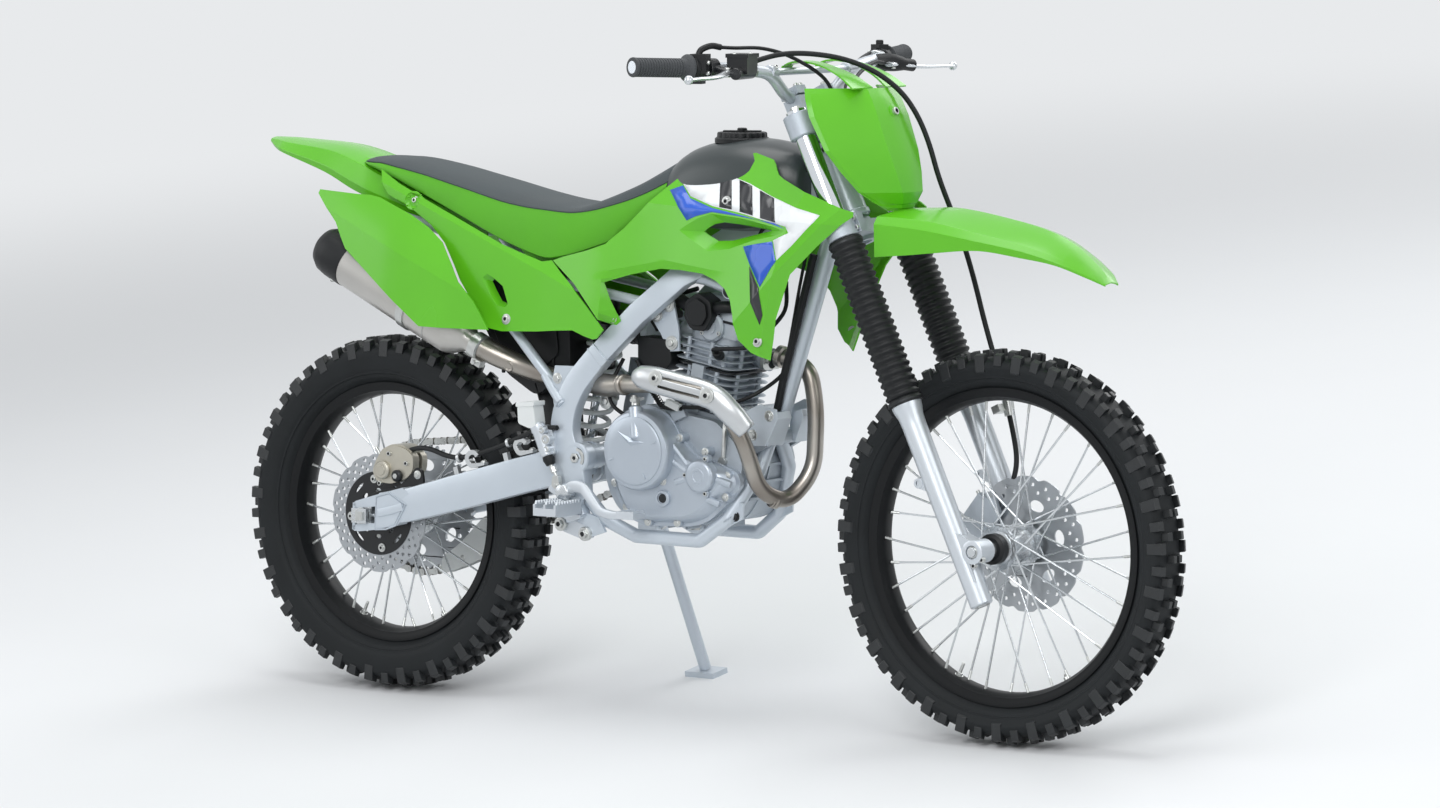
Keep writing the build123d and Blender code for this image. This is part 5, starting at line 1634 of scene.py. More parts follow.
def makeSwitchgear():
    mesh = bmesh.new()
    # throttle housing: two halves round the bar, a cable drum below and the elbow of the cable
    aim = barAim(-1)
    start = barLine(-1, 124)
    addTurned(mesh, [(11.2, 0), (21, 0), (23.5, 2), (23.5, 24), (21, 26), (11.2, 26)], start, aim, 40)
    addBox(mesh, start + aim * 13 + Vector((10, 0, 8)), (30, 27, 34), space=Matrix.Rotation(0.3, 4, "Z"))
    addBox(mesh, start + aim * 13 + Vector((2, 0, -16)), (26, 24, 22), space=Matrix.Rotation(0.3, 4, "Z"))
    elbow = smoothPath([start + aim * 12 + Vector((6, 0, 20)), start + aim * 16 + Vector((8, 2, 32)),
                        start + aim * 34 + Vector((10, 4, 39)), start + aim * 56 + Vector((10, 2, 37))])
    addTube(mesh, elbow, 5.6, sides=14)
    for lift in (10, -8):
        addBolt(mesh, start + aim * 13 + Vector((25, 2, lift)), (1, 0.2, 0), 3.6, 4, 1, "dome", 2)
    # left side: clutch perch cover, stop switch
    aim = barAim(1)
    start = barLine(1, 127)
    addTurned(mesh, [(11.2, 0), (18, 0), (19.5, 2), (19.5, 22), (18, 24), (11.2, 24)], start, aim, 36)
    addBox(mesh, start + aim * 12 + Vector((-4, 0, 16)), (24, 22, 20), space=Matrix.Rotation(-0.3, 4, "Z"))
    addRod(mesh, start + aim * 12 + Vector((-4, 0, 24)), start + aim * 12 + Vector((-4, 0, 34)), 7,
           chamfer=1.5)
    perch = barLine(1, 178)
    cover = smoothPath([perch + Vector((4, -6, 0)), perch + Vector((22, 6, -3)), perch + Vector((36, 26, -6)),
                        perch + Vector((46, 54, -10))], 5)
    addTube(mesh, cover, [11 + 5 * math.sin(math.pi * min(1, i / 12)) for i in range(len(cover))], sides=16)
    makePiece("switchgear", mesh, ["blackPlastic", "zincBolt", "darkBoltAndRecessShade"], "steering", slot="black_rubber",
              bevel=2.0, sharp=35)


def addLeverBlade(mesh, side):
    perch = barLine(side, controls["gripLength"] + 48)
    pivot = perch + Vector((36, 0, -7))
    tip = Vector((controls["leverTip"][0], side * controls["leverTip"][1], controls["leverTip"][2]))
    bend = Vector((pivot.x + 14, side * (abs(pivot.y) + 40), pivot.z - 4))
    path = smoothPath([pivot + Vector((2, -side * 16, 0)), pivot, bend,
                       bend.lerp(tip, 0.35) + Vector((3, 0, -1)), bend.lerp(tip, 0.7) + Vector((1, 0, 0)),
                       tip])
    widths = []
    for index in range(len(path)):
        share = index / (len(path) - 1)
        widths.append(between(share, [(0, 8), (0.18, 10), (0.3, 8.5), (0.5, 7.4), (0.85, 6.2), (1, 6.2)]))
    addTube(mesh, path, widths, sides=14, flat=0.55, start=(1, 0, 0))
    addTurned(mesh, [(0, -8), (4, -7.4), (7.2, -4), (8.2, 0), (7.2, 4), (4, 7.4), (0, 8)], tip, (0, 0, 1), 24)
    addRod(mesh, pivot + Vector((0, 0, -8)), pivot + Vector((0, 0, 9)), 6, 1, 20, 1)


def makeLevers():
    mesh = bmesh.new()
    for side in (-1, 1):
        addLeverBlade(mesh, side)
        collar = barLine(side, controls["gripLength"] + 38)
        aim = barAim(side)
        addTurned(mesh, [(11.1, 0), (17, 0), (18, 1), (18, 19), (17, 20), (11.1, 20)], collar, aim, 32,
                  3 if side < 0 else 0)
        perch = barLine(side, controls["gripLength"] + 48)
        addTube(mesh, [perch + Vector((10, 0, 0)), perch + Vector((24, 0, -4)), perch + Vector((38, 0, -7))],
                [11, 10, 9], 3 if side < 0 else 0, 16, flat=0.8)
        for lift in (-14, 14):
            addBolt(mesh, collar + aim * 10 + Vector((-14, 0, lift)), (-1, 0, 0), 3.6, 4, 1, "socket", 2)
    # the front brake's master cylinder: reservoir, cap with two screws, piston barrel
    middle = barLine(-1, controls["gripLength"] + 62) + Vector((38, 22, 6))
    turn = Matrix.Rotation(math.radians(14), 4, "Z")
    addBox(mesh, middle, (38, 50, 30), 3, turn)
    addBox(mesh, middle + Vector((0, 0, 17)), (42, 54, 7), 3, turn)
    for shift in (-18, 18):
        addBolt(mesh, middle + turn @ Vector((8 if shift > 0 else -8, shift, 20)), (0, 0, 1), 4.2, 2, 1,
                "dome", 2)
    addRod(mesh, middle + turn @ Vector((4, -44, -14)), middle + turn @ Vector((4, 34, -14)), 10.5, 3, 24,
           1.5)
    addTurned(mesh, pin(7, 0, 9), middle + turn @ Vector((4, 34, -14)), turn @ Vector((0, 1, 0)), 6, 1)
    addTurned(mesh, band(5, 8, -5, 5), middle + turn @ Vector((4, 46, -14)), (0.3, 0, 1), 20, 1, ring=True)
    addRod(mesh, middle + turn @ Vector((4, 46, -22)), middle + turn @ Vector((4, 46, -4)), 5, 1, 16, 1)
    makePiece("leverSet", mesh, ["machinedAlloy", "zincBolt", "darkBoltAndRecessShade", "blackPaintAndRecessShade"], "steering",
              ["levers"], "bright_alloy", bevel=1.2, sharp=35)


def makeCable(name, route, radius):
    # a cable as one fixed tube along a smooth line
    mesh = bmesh.new()
    addTube(mesh, smoothPath(route), radius, sides=10)
    bmesh.ops.recalc_face_normals(mesh, faces=mesh.faces)
    piece = linked(name, smoothData(name, mesh, ["softRubber"]))
    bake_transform(piece)


def makeCables():
    throttle = barLine(-1, 124) + barAim(-1) * 56 + Vector((10, 2, 37))
    clutch = barLine(1, 178) + Vector((30, -14, -4))
    makeCable("throttleCable", [throttle, throttle + Vector((6, 34, -2)), (924, -140, 1206), (950, -84, 1188),
                                (988, -42, 1150), (1004, -34, 1100), (992, -34, 1046), (950, -32, 1000),
                                (905, -46, 940), (860, -54, 880), (800, -40, 800), (740, -20, 740)], 3.4)
    makeCable("clutchCable", [clutch, clutch + Vector((10, -50, 2)), (964, 90, 1150), (1004, 36, 1120),
                              (1010, 18, 1070), (998, 24, 1000), (985, 30, 940), (950, 34, 840),
                              (915, 30, 740), (890, -10, 640), (850, -60, 590), (780, -84, 566),
                              (700, -96, 562)], 3.6)
    makeCable("switchLead", [barLine(1, 135) + Vector((-4, 0, 20)), (900, 190, 1176), (930, 120, 1150),
                             (960, 60, 1130), (990, 30, 1104), (1000, 8, 1060), (985, -16, 1000),
                             (950, -22, 900), (925, -24, 800), (905, -26, 700), (890, -30, 620)], 3.0)


makeHandlebar()
makeGrips()
makeSwitchgear()
makeLevers()
makeCables()
print("controls made")

# Frame

chassis = {
    "beamHeight": 42,
    "beamDepth": 26,
    "pivot": (499, 462),
    "downTube": ((987, 0, 940), (848, 0, 500)),
}


def addBeam(mesh, path, heights, depths, finish=0, corner=0.22):
    # a box beam seen from the side: path points, its height in the side view and its depth across
    path = [Vector(point) for point in path]
    rings = []
    for index, point in enumerate(path):
        ahead = heading(path, index)
        across = Vector((0, 1, 0))
        upward = ahead.cross(across).normalized()
        height = (heights[index] if isinstance(heights, list) else heights) / 2
        depth = (depths[index] if isinstance(depths, list) else depths) / 2
        cut = min(height, depth) * corner
        ring = [(height - cut, depth), (height - cut * 0.3, depth - cut * 0.3), (height, depth - cut),
                (height, cut - depth), (height - cut * 0.3, cut * 0.3 - depth), (height - cut, -depth),
                (cut - height, -depth), (cut * 0.3 - height, cut * 0.3 - depth), (-height, cut - depth),
                (-height, depth - cut), (cut * 0.3 - height, depth - cut * 0.3), (cut - height, depth)]
        rings.append([point + upward * up + across * side for up, side in ring])
    addRings(mesh, rings, finish)


def addWeld(mesh, points, radius=2.2):
    # a bead of overlapping drops along a closed line
    points = [Vector(point) for point in points]
    for start, end in zip(points, points[1:] + points[:1]):
        count = max(1, int((end - start).length / (radius * 1.1)))
        for step in range(count):
            place = start.lerp(end, step / count)
            aim = (end - start).normalized()
            addTurned(mesh, [(0, -radius * 0.9), (radius * 0.8, -radius * 0.4), (radius, 0.2),
                             (radius * 0.7, radius * 0.6), (0, radius * 0.9)], place, aim, 7)


def ringPoints(centre, axis, radius, count=20):
    side, up = turnedFrame(axis)[1:]
    return [Vector(centre) + (side * math.cos(turn) + up * math.sin(turn)) * radius
            for turn in (math.tau * step / count for step in range(count))]


def makeSpars():
    mesh, welds = bmesh.new(), bmesh.new()
    for side in (-1, 1):
        upper = [(752, side * 40, 826), (705, side * 80, 795), (622, side * 95, 726), (536, side * 103, 644)]
        addBeam(mesh, upper, chassis["beamHeight"], chassis["beamDepth"])
        lower = smoothPath([(548, side * 103, 655), (522, side * 104, 628), (492, side * 106, 592),
                            (472, side * 108, 550), (466, side * 109, 505), (478, side * 110, 462),
                            (490, side * 110, 425), (496, side * 110, 385)], 5)
        tall = [between(index / (len(lower) - 1), [(0, 45), (0.3, 48), (0.55, 52), (0.75, 64), (1, 50)])
                for index in range(len(lower))]
        addBeam(mesh, lower, tall, 28, corner=0.35)
        x, z = chassis["pivot"]
        addAcross(mesh, [(9, side * 96), (27, side * 96), (28, side * 99), (28, side * 121), (26, side * 124),
                         (20, side * 124), (18, side * 120), (9, side * 120)], x, z, steps=44)
        addAcross(mesh, [(13, side * 119), (18, side * 119), (18, side * 123), (13, side * 124)], x, z,
                  steps=36, finish=1, ring=True)
        # a dark disc on the floor of the pocket round the nut: painted shade
        addAcross(mesh, pin(13.5, side * 118, side * 121), x, z, steps=30, finish=2)
        addAcross(mesh, [(4, side * 120), (9.5, side * 120), (9.5, side * 128), (8.5, side * 129),
                         (4, side * 129)], x, z, steps=6, finish=1, ring=True)
        # a dark end down in the nut's bore: painted shade
        addAcross(mesh, pin(4.2, side * 121, side * 126), x, z, steps=16, finish=2)
        addBeam(mesh, smoothPath([(492, side * 110, 400), (486, side * 110, 376), (496, side * 110, 352)], 4),
                44, 22)
        addPlate(mesh, [(452, 520), (440, 586), (448, 626), (510, 627), (500, 596), (476, 560), (470, 520)],
                 *onSide(side, 112, 117), holes=[circle(462, 560, 7, 14)])
        addBolt(mesh, (454, side * 117, 603), (0, side, 0), 7, 6, 1)
        upward = Vector((-0.69, 0, 0.72))
        for x, y, z, half in ((536, 103, 644, 13), (752, 40, 826, 12)):
            addWeld(welds, [Vector((x, side * y, z)) + upward * u + Vector((0, side * v, 0))
                            for u, v in ((-21, -half), (21, -half), (21, half), (-21, half))], 2.0)
        addTube(mesh, [(707, side * 62, 796), (748, side * 60, 790), (795, side * 54, 773)], [12, 12, 11],
                sides=16)
        addTurned(mesh, pin(14, 0, 20), (797, side * 48, 771), (0, side, 0), 28)
        addBolt(mesh, (797, side * 68, 771), (0, side, 0), 8, 6, 2)
        addPlate(mesh, [(655, 756), (678, 752), (690, 700), (692, 660), (668, 658), (650, 690), (630, 716),
                        (634, 734)], *onSide(side, 66, 71))
        for x, z in ((669, 742), (642, 723), (676, 674)):
            addTurned(mesh, pin(13, 0, 2.5), (x, side * 71, z), (0, side, 0), 24, 1)
            addBolt(mesh, (x, side * 73, z), (0, side, 0), 7, 6, 1)
    makePiece("frameSpars", mesh, ["framePaint", "zincBolt", "darkBoltAndRecessShade"], "frame", ["frame_spars"],
              "frame_paint", bevel=1.4, sharp=30)
    makePiece("frameWelds", welds, ["weldBead"], "frame", slot="frame_paint", sharp=60)


def makeFrameDetails():
    mesh, welds = bmesh.new(), bmesh.new()
    low = Vector(chassis["downTube"][1])
    for side in (-1, 1):  # plates that hold the front of the engine
        addPlate(mesh, [(838, 560), (868, 574), (902, 566), (906, 548), (880, 500), (846, 498), (836, 520)],
                 *onSide(side, 66, 71))
        for x, z in ((888, 554), (852, 518)):
            addBolt(mesh, (x, side * 71, z), (0, side, 0), 7, 6, 1)
        addPlate(mesh, [(866, 506), (880, 556), (896, 560), (900, 548), (882, 500)], *onSide(side, 18, 68))
        addBolt(mesh, (820, side * 78, 372), (0, side, 0), 7, 6, 2)
        addPlate(mesh, [(800, 350), (836, 368), (838, 396), (812, 400), (790, 372)], *onSide(side, 74, 79))
        addPlate(mesh, [(556, 330), (520, 318), (478, 322), (474, 352), (500, 366), (540, 356)],
                 *onSide(side, 104, 111))
    for share in (0.02, 0.97):
        place = Vector(chassis["downTube"][0]).lerp(low, share)
        addWeld(welds, ringPoints(place, low - Vector(chassis["downTube"][0]), 17), 2.0)
    for side in (-1, 1):
        addWeld(welds, ringPoints((806, side * 82, 368), (0.5, side * -0.4, -0.9), 13), 1.8)
    for side in (-1, 1):  # the strut's foot laps over the spar
        addTube(mesh, [(420, side * 107, 607), (440, side * 113, 585), (467, side * 119, 556)],
                [9.6, 9.8, 9.8], sides=20)
        addWeld(welds, ringPoints((464, side * 120, 559), (-0.7, side * -0.2, 0.7), 10), 1.6)
    for x, y, z, axis in ((640, 82, 742, (-0.98, 0, 0.15)), (470, 106, 562, (-0.7, 0, 0.7)),
                          (182, 80, 840, (-0.7, 0, 0.7))):
        for side in (-1, 1):
            addWeld(welds, ringPoints((x, side * y, z), axis, 10), 1.6)
    head = onFork(0, 0, 1065)
    addTurned(mesh, [(27.4, -66), (30, -64), (30, -56), (27.4, -54)], head, forkUp, 44, ring=True)
    addTurned(mesh, [(27.4, 54), (30, 56), (30, 66), (27.4, 68)], head, forkUp, 44, ring=True)
    makePiece("frameBrackets", mesh, ["framePaint", "zincBolt", "darkBoltAndRecessShade"], "frame", slot="frame_paint",
              bevel=1.2, sharp=35)
    makePiece("tubeWelds", welds, ["weldBead"], "frame", slot="frame_paint", sharp=60)


for node in ("frame_head", "frame_cradle", "subframe"):
    coatNode(node, "framePaint")
makeSpars()
makeFrameDetails()
print("frame made")

# Engine

engine = {
    "cylinderFoot": (722, 0, 548),
    "tilt": math.radians(10),
    "finHalf": 66,
    "finPitch": 12,
    "finThick": 4.2,
    "clutch": (643, 484),
    "smallCover": (776, 445),
    "generator": (735, 440),
}

barrel = Matrix.Translation(Vector(engine["cylinderFoot"])) @ Matrix.Rotation(engine["tilt"], 4, "Y")


def roundedRect(halfWide, halfDeep, corner, steps=5):
    points = []
    for turn, (u, v) in enumerate(((1, 1), (-1, 1), (-1, -1), (1, -1))):
        centre = (u * (halfWide - corner), v * (halfDeep - corner))
        for step in range(steps + 1):
            angle = math.pi / 2 * (turn + step / steps)
            points.append((centre[0] + corner * math.cos(angle), centre[1] + corner * math.sin(angle)))
    return points


def addFin(mesh, height, halfWide, halfDeep):
    # a cooling fin with a thinner edge
    rings, thick = [], engine["finThick"]
    for inset, rise in ((22, -thick / 2), (1.4, -thick * 0.3), (0, -thick * 0.12), (0, thick * 0.12),
                        (1.4, thick * 0.3), (22, thick / 2)):
        outline = roundedRect(halfWide - inset, halfDeep - inset, max(6, 20 - inset), 4)
        rings.append([barrel @ Vector((u, v, height + rise)) for u, v in outline])
    addRings(mesh, rings)


def addBlock(mesh, low, high, halfWide, halfDeep, corner=10, finish=0, taper=0.0):
    rings = []
    for height, share in ((low, 0), (high, 1)):
        outline = roundedRect(halfWide - taper * share, halfDeep - taper * share, corner, 4)
        rings.append([barrel @ Vector((u, v, height)) for u, v in outline])
    addRings(mesh, rings, finish)


def barrelAim(x, y, z):
    return (barrel.to_3x3() @ Vector((x, y, z))).normalized()


def makeCylinder():
    mesh = bmesh.new()
    half = engine["finHalf"]
    addBlock(mesh, -6, 8, 60, 62, 16)
    addTurned(mesh, pin(50, 0, 86), barrel.translation, barrelAim(0, 0, 1), 40)
    for index in range(6):
        addFin(mesh, 16 + index * engine["finPitch"], half, half)
    for u, v in ((-30, -58), (30, -58), (-30, 58), (30, 58), (58, -34), (58, 34), (-58, -30), (-58, 30)):
        addTurned(mesh, pin(4.5, 0, 74), barrel @ Vector((u, v, 10)), barrelAim(0, 0, 1), 8)
    # the chain tunnel with its tensioner on the right
    addBox(mesh, (2, -58, 48), (26, 20, 84), space=barrel)
    place = barrel @ Vector((2, -66, 34))
    addPlate(mesh, roundedRect(17, 13, 6), 0, 7, space=facing(place, (0, -1, 0)))
    addTurned(mesh, [(0, 0), (9, 0), (9, 10), (7, 12), (0, 12)], place, (0, -1, 0), 20)
    for shift in (-12, 12):
        addBolt(mesh, place + Vector((shift, -7, 0)), (0, -1, 0), 4, 4, 1, "socket", 2)
    for u, v in ((-50, -52), (50, -52), (-50, 52), (50, 52)):
        addBolt(mesh, barrel @ Vector((u, v, 8)), barrelAim(0, 0, 1), 5, 5, 1)
    addBlock(mesh, 84.5, 87.2, 62, 62, 18, 2)
    makePiece("cylinderBarrel", mesh, ["castAlloy", "zincBolt", "darkBoltAndRecessShade"], "frame", ["cylinder"],
              "engine_alloy", sharp=28)


def makeHead():
    mesh = bmesh.new()
    half = engine["finHalf"]
    addBlock(mesh, 88, 152, 48, 50, 14)
    for index in range(4):
        addFin(mesh, 94 + index * engine["finPitch"], half, half if index < 3 else half - 6)
    for u, v in ((-40, -56), (12, -58), (40, -56), (-30, 58), (30, 58), (58, -30), (58, 36), (-56, 0)):
        addTurned(mesh, pin(4.5, 0, 42), barrel @ Vector((u, v, 92)), barrelAim(0, 0, 1), 8)
    # camshaft housing and cover
    addBlock(mesh, 146, 172, 58, 54, 12)
    addBlock(mesh, 172.6, 176, 60, 56, 12, 3)
    addBlock(mesh, 176.6, 200, 57, 53, 14, 0, 5)
    addBlock(mesh, 200, 214, 40, 42, 12, 0, 8)
    for u, v in ((-48, -44), (48, -44), (-48, 44), (48, 44), (0, -48), (0, 48)):
        addTurned(mesh, pin(9, 0, 27), barrel @ Vector((u, v, 172)), barrelAim(0, 0, 1), 18)
        addBolt(mesh, barrel @ Vector((u, v, 199)), barrelAim(0, 0, 1), 5, 5, 1)
    for side in (-1, 1):  # round covers at the ends of the camshaft
        place = barrel @ Vector((4, side * 54, 160))
        addTurned(mesh, [(0, 0), (26, 0), (26, 5), (22, 9), (12, 9), (12, 11), (0, 11)], place, (0, side, 0),
                  32)
        for turn in range(3):
            angle = math.radians(90 + turn * 120)
            addBolt(mesh, place + Vector((21 * math.cos(angle), side * 7, 21 * math.sin(angle))),
                    (0, side, 0), 4, 3, 1, "socket", 2)
    # exhaust port with its flange, intake neck, spark plug
    port = barrel @ Vector((64, 30, 112))
    out = barrelAim(1, 0, 0)
    addTurned(mesh, band(15.5, 21, -10, 18), port, out, 28, ring=True)
    addPlate(mesh, roundedRect(30, 17, 12), 15, 22, 1, [circle(0, 0, 15.5, 20)], space=facing(port, out))
    for shift in (-23, 23):
        addBolt(mesh, port + out * 22 + Vector((0, shift, 0)), out, 4.5, 6, 1)
    intake = barrel @ Vector((-64, 0, 128))
    addTurned(mesh, [(0, -12), (22, -12), (22, 24), (19, 24), (19, 26), (0, 26)], intake,
              barrelAim(-1, 0, 0.05), 28)
    plug = barrel @ Vector((36, -62, 112))
    aim = Vector((0.35, -0.86, 0.36)).normalized()
    addTurned(mesh, pin(8, 0, 9), plug, aim, 6, 1)
    addTurned(mesh, [(0, 0), (8.5, 0), (9.5, 3), (9.5, 22), (8, 26), (0, 26)], plug + aim * 9, aim, 20, 3)
    makePiece("cylinderHead", mesh, ["castAlloy", "zincBolt", "darkBoltAndRecessShade", "softRubber"], "frame",
              ["cylinder_head"], "engine_alloy", sharp=28)


def makeCrankcase():
    mesh = bmesh.new()
    outline = [(560, 520), (600, 560), (660, 556), (782, 540), (830, 498), (842, 462), (826, 412), (796, 366),
               (760, 352), (610, 349), (566, 372), (546, 404), (536, 440), (540, 476)]
    corners = roundedLoop(outline, 14)
    addPlate(mesh, corners, -86, -2.5)
    addPlate(mesh, corners, 2.5, 78)
    middle = Vector((690, 452))
    seam = [tuple(middle + (Vector(point) - middle) * 1.018) for point in corners]
    addPlate(mesh, seam, -4, 4)
    # ribs below and in front, drain plug, engine mounts
    for x in (620, 660, 700, 740):
        addBox(mesh, (x, 0, 346), (5, 120, 12))
    for z in (400, 430, 460, 490):
        addBox(mesh, (834 - abs(z - 455) * 0.25, 0, z), (22, 96, 5))
    addTurned(mesh, [(0, 0), (13, 0), (13, 5), (9, 5), (9, 11), (0, 11)], (690, -20, 346), (0, 0, -1), 24, 1)
    addAcross(mesh, pin(14, -62, 62), 864, 512, 24)
    for low, high in ((-52, -40), (40, 52)):
        addPlate(mesh, [(820, 470), (874, 500), (878, 520), (850, 524), (800, 520)], low, high)
    # starter motor across the front of the barrel
    addAcross(mesh, [(0, -62), (20, -62), (23, -59), (23, 48), (20, 52), (0, 52)], 822, 542, 32)
    addAcross(mesh, [(23.6, -44), (23.6, -40), (22, -40), (22, -44)], 822, 542, 32, 1, True)
    for lift in (-12, 12):
        addBolt(mesh, (822 + lift, -62, 542), (0, -1, 0), 3.6, 3, 1, "socket", 2)
    # breather boss, clutch cable bracket, oil line along the right side
    addTurned(mesh, [(0, 0), (12, 0), (12, 16), (8, 20), (0, 20)], (622, 30, 556), (0, 0, 1), 20)
    addBox(mesh, (706, -92, 548), (30, 5, 16), 0, Matrix.Rotation(-0.4, 4, "Y"))
    addTube(mesh, smoothPath([(800, -88, 470), (806, -92, 520), (800, -80, 556), (782, -70, 590)], 5), 4.2, 1,
            10)
    for place in ((800, -88, 470), (782, -70, 590)):
        addTurned(mesh, pin(8, -5, 5), place, (0, 1, 0), 20, 1)
    makePiece("crankcaseHalves", mesh, ["castAlloy", "zincBolt", "darkBoltAndRecessShade"], "frame", ["crankcase"],
              "engine_alloy", bevel=1.6, sharp=35)


def makeRightCovers():
    mesh = bmesh.new()
    # the flat cover over the primary drive, in two steps
    outline = [(586, 548), (640, 566), (690, 548), (712, 512), (748, 478), (800, 466), (838, 452), (846, 430),
               (812, 392), (776, 362), (740, 350), (628, 346), (592, 362), (570, 396), (556, 440), (560, 506)]
    loop = roundedLoop(outline, 16)
    addPlate(mesh, loop, -96, -84)
    middle = Vector((688, 446))
    inner = [tuple(middle + (Vector(point) - middle) * 0.94) for point in loop]
    rings = [[Vector((x, -96, z)) for x, z in inner]]
    for y, share in ((-114, 0.9), (-118, 0.85)):
        rings.append([Vector((middle.x + (x - middle.x) * share, y, middle.y + (z - middle.y) * share))
                      for x, z in inner])
    addRings(mesh, rings)
    # the clutch cover: a stepped disc
    x, z = engine["clutch"]
    disc = [(0, -147), (40, -147), (57, -146), (61, -144), (62, -141.5), (63.5, -141), (68, -139.5),
            (71, -135), (72, -128), (72.5, -112), (72.5, -90), (0, -90)]
    addAcross(mesh, disc, x, z, 96)
    # the release arm's boss and the facets beside it
    bossTop, bossLow = Vector((637, -128, 562)), Vector((650, -140, 505))
    addRod(mesh, bossTop, bossLow, 13, chamfer=2.5, steps=24)
    addRod(mesh, bossTop + Vector((-2, 3, 13)), bossTop, 8, 1, 20, 1.5)
    addBox(mesh, bossTop + Vector((-3, 8, 12)), (12, 44, 5), 1, Matrix.Rotation(0.3, 4, "Z"))
    addBolt(mesh, bossTop + Vector((-3, 0, 16)), (0, 0, 1), 5, 4, 1)
    foot = [mesh.verts.new((wx, -145, wz)) for wx, wz in ((600, 524), (641, 508), (680, 500), (640, 490))]
    peak = mesh.verts.new((640, -153, 501))
    for first, second in zip(foot, foot[1:] + foot[:1]):
        mesh.faces.new((first, second, peak))
    mesh.faces.new(foot)
    for turn in (200, 300, 20):
        angle = math.radians(turn)
        addBox(mesh, (x + 50 * math.cos(angle), -146.4, z + 50 * math.sin(angle)), (12, 3, 2.6), 0,
               Matrix.Rotation(-angle, 4, "Y"))
    # the smaller cover over the crankshaft's end, with a pressed ring
    x, z = engine["smallCover"]
    addAcross(mesh, [(0, -133), (9, -133), (10, -134.2), (13, -134.2), (14, -133), (24, -133), (26, -132),
                     (29, -129), (30, -126), (30, -112), (0, -112)], x, z, 56)
    for turn in (70, 180, 290):
        angle = math.radians(turn)
        addAcross(mesh, pin(7, -124, -112), x + 33 * math.cos(angle), z + 33 * math.sin(angle), 18)
        addBolt(mesh, (x + 33 * math.cos(angle), -124, z + 33 * math.sin(angle)), (0, -1, 0), 4, 3, 1,
                "socket", 2)
    # oil level window
    addAcross(mesh, [(0, -121), (9.5, -121), (10, -124), (13.5, -124), (15, -122), (15, -114), (0, -114)],
              691, 400, 32)
    addAcross(mesh, [(0, -122.6), (7.5, -122.6), (8.5, -120), (0, -120)], 691, 400, 28, 2)
    # ribs and bolts round the cover
    for start, end in (((700, 506), (742, 462)), ((706, 470), (742, 448)), ((716, 430), (748, 440)),
                       ((806, 440), (836, 432)), ((786, 404), (812, 396))):
        rib = [Vector((start[0], -116, start[1])), Vector((end[0], -114, end[1]))]
        addTube(mesh, rib, 5.5, sides=8, flat=1.2)
    for px, pz in ((646, 354), (711, 356), (766, 384), (690, 430), (716, 508), (772, 486), (820, 446),
                   (816, 408), (598, 378), (572, 420)):
        addAcross(mesh, [(0, -104), (8.5, -104), (9.5, -84), (0, -84)], px, pz, 20)
        addBolt(mesh, (px, -118 if px == 690 else -104, pz), (0, -1, 0), 5.2, 4, 1)
    makePiece("rightCovers", mesh, ["coverAlloy", "zincBolt", "darkBoltAndRecessShade"], "frame", slot="engine_alloy",
              bevel=1.2, sharp=32)


def makeLeftCovers():
    mesh = bmesh.new()
    x, z = engine["generator"]
    addAcross(mesh, [(0, 113), (30, 113), (32, 111), (50, 111), (58, 108), (64, 102), (67, 94), (68, 76),
                     (0, 76)], x, z, 80)
    addAcross(mesh, [(0, 116), (10, 116), (12, 113), (12, 110), (0, 110)], x, z, 6, 2)
    for turn in range(7):
        angle = math.radians(20 + turn * 51.4)
        px, pz = x + 72 * math.cos(angle), z + 72 * math.sin(angle)
        addAcross(mesh, [(0, 94), (8.5, 94), (9.5, 74), (0, 74)], px, pz, 20)
        addBolt(mesh, (px, 94, pz), (0, 1, 0), 5, 4, 1)
    # shift shaft boss and the sprocket guard
    addAcross(mesh, [(0, 76), (16, 76), (15, 92), (0, 92)], 600, 392, 24)
    guard = roundedLoop([(520, 500), (560, 524), (610, 508), (626, 470), (612, 430), (580, 414), (560, 424),
                         (592, 440), (600, 470), (588, 494), (560, 504), (530, 486)], 4, 2)
    addPlate(mesh, guard, 86, 92, 3)
    for px, pz in ((606, 500), (600, 434)):
        addBolt(mesh, (px, 92, pz), (0, 1, 0), 5, 4, 1)
    makePiece("leftCovers", mesh, ["coverAlloy", "zincBolt", "darkBoltAndRecessShade", "blackPlastic"], "frame",
              ["engine_covers"], "engine_alloy", bevel=1.2, sharp=32)


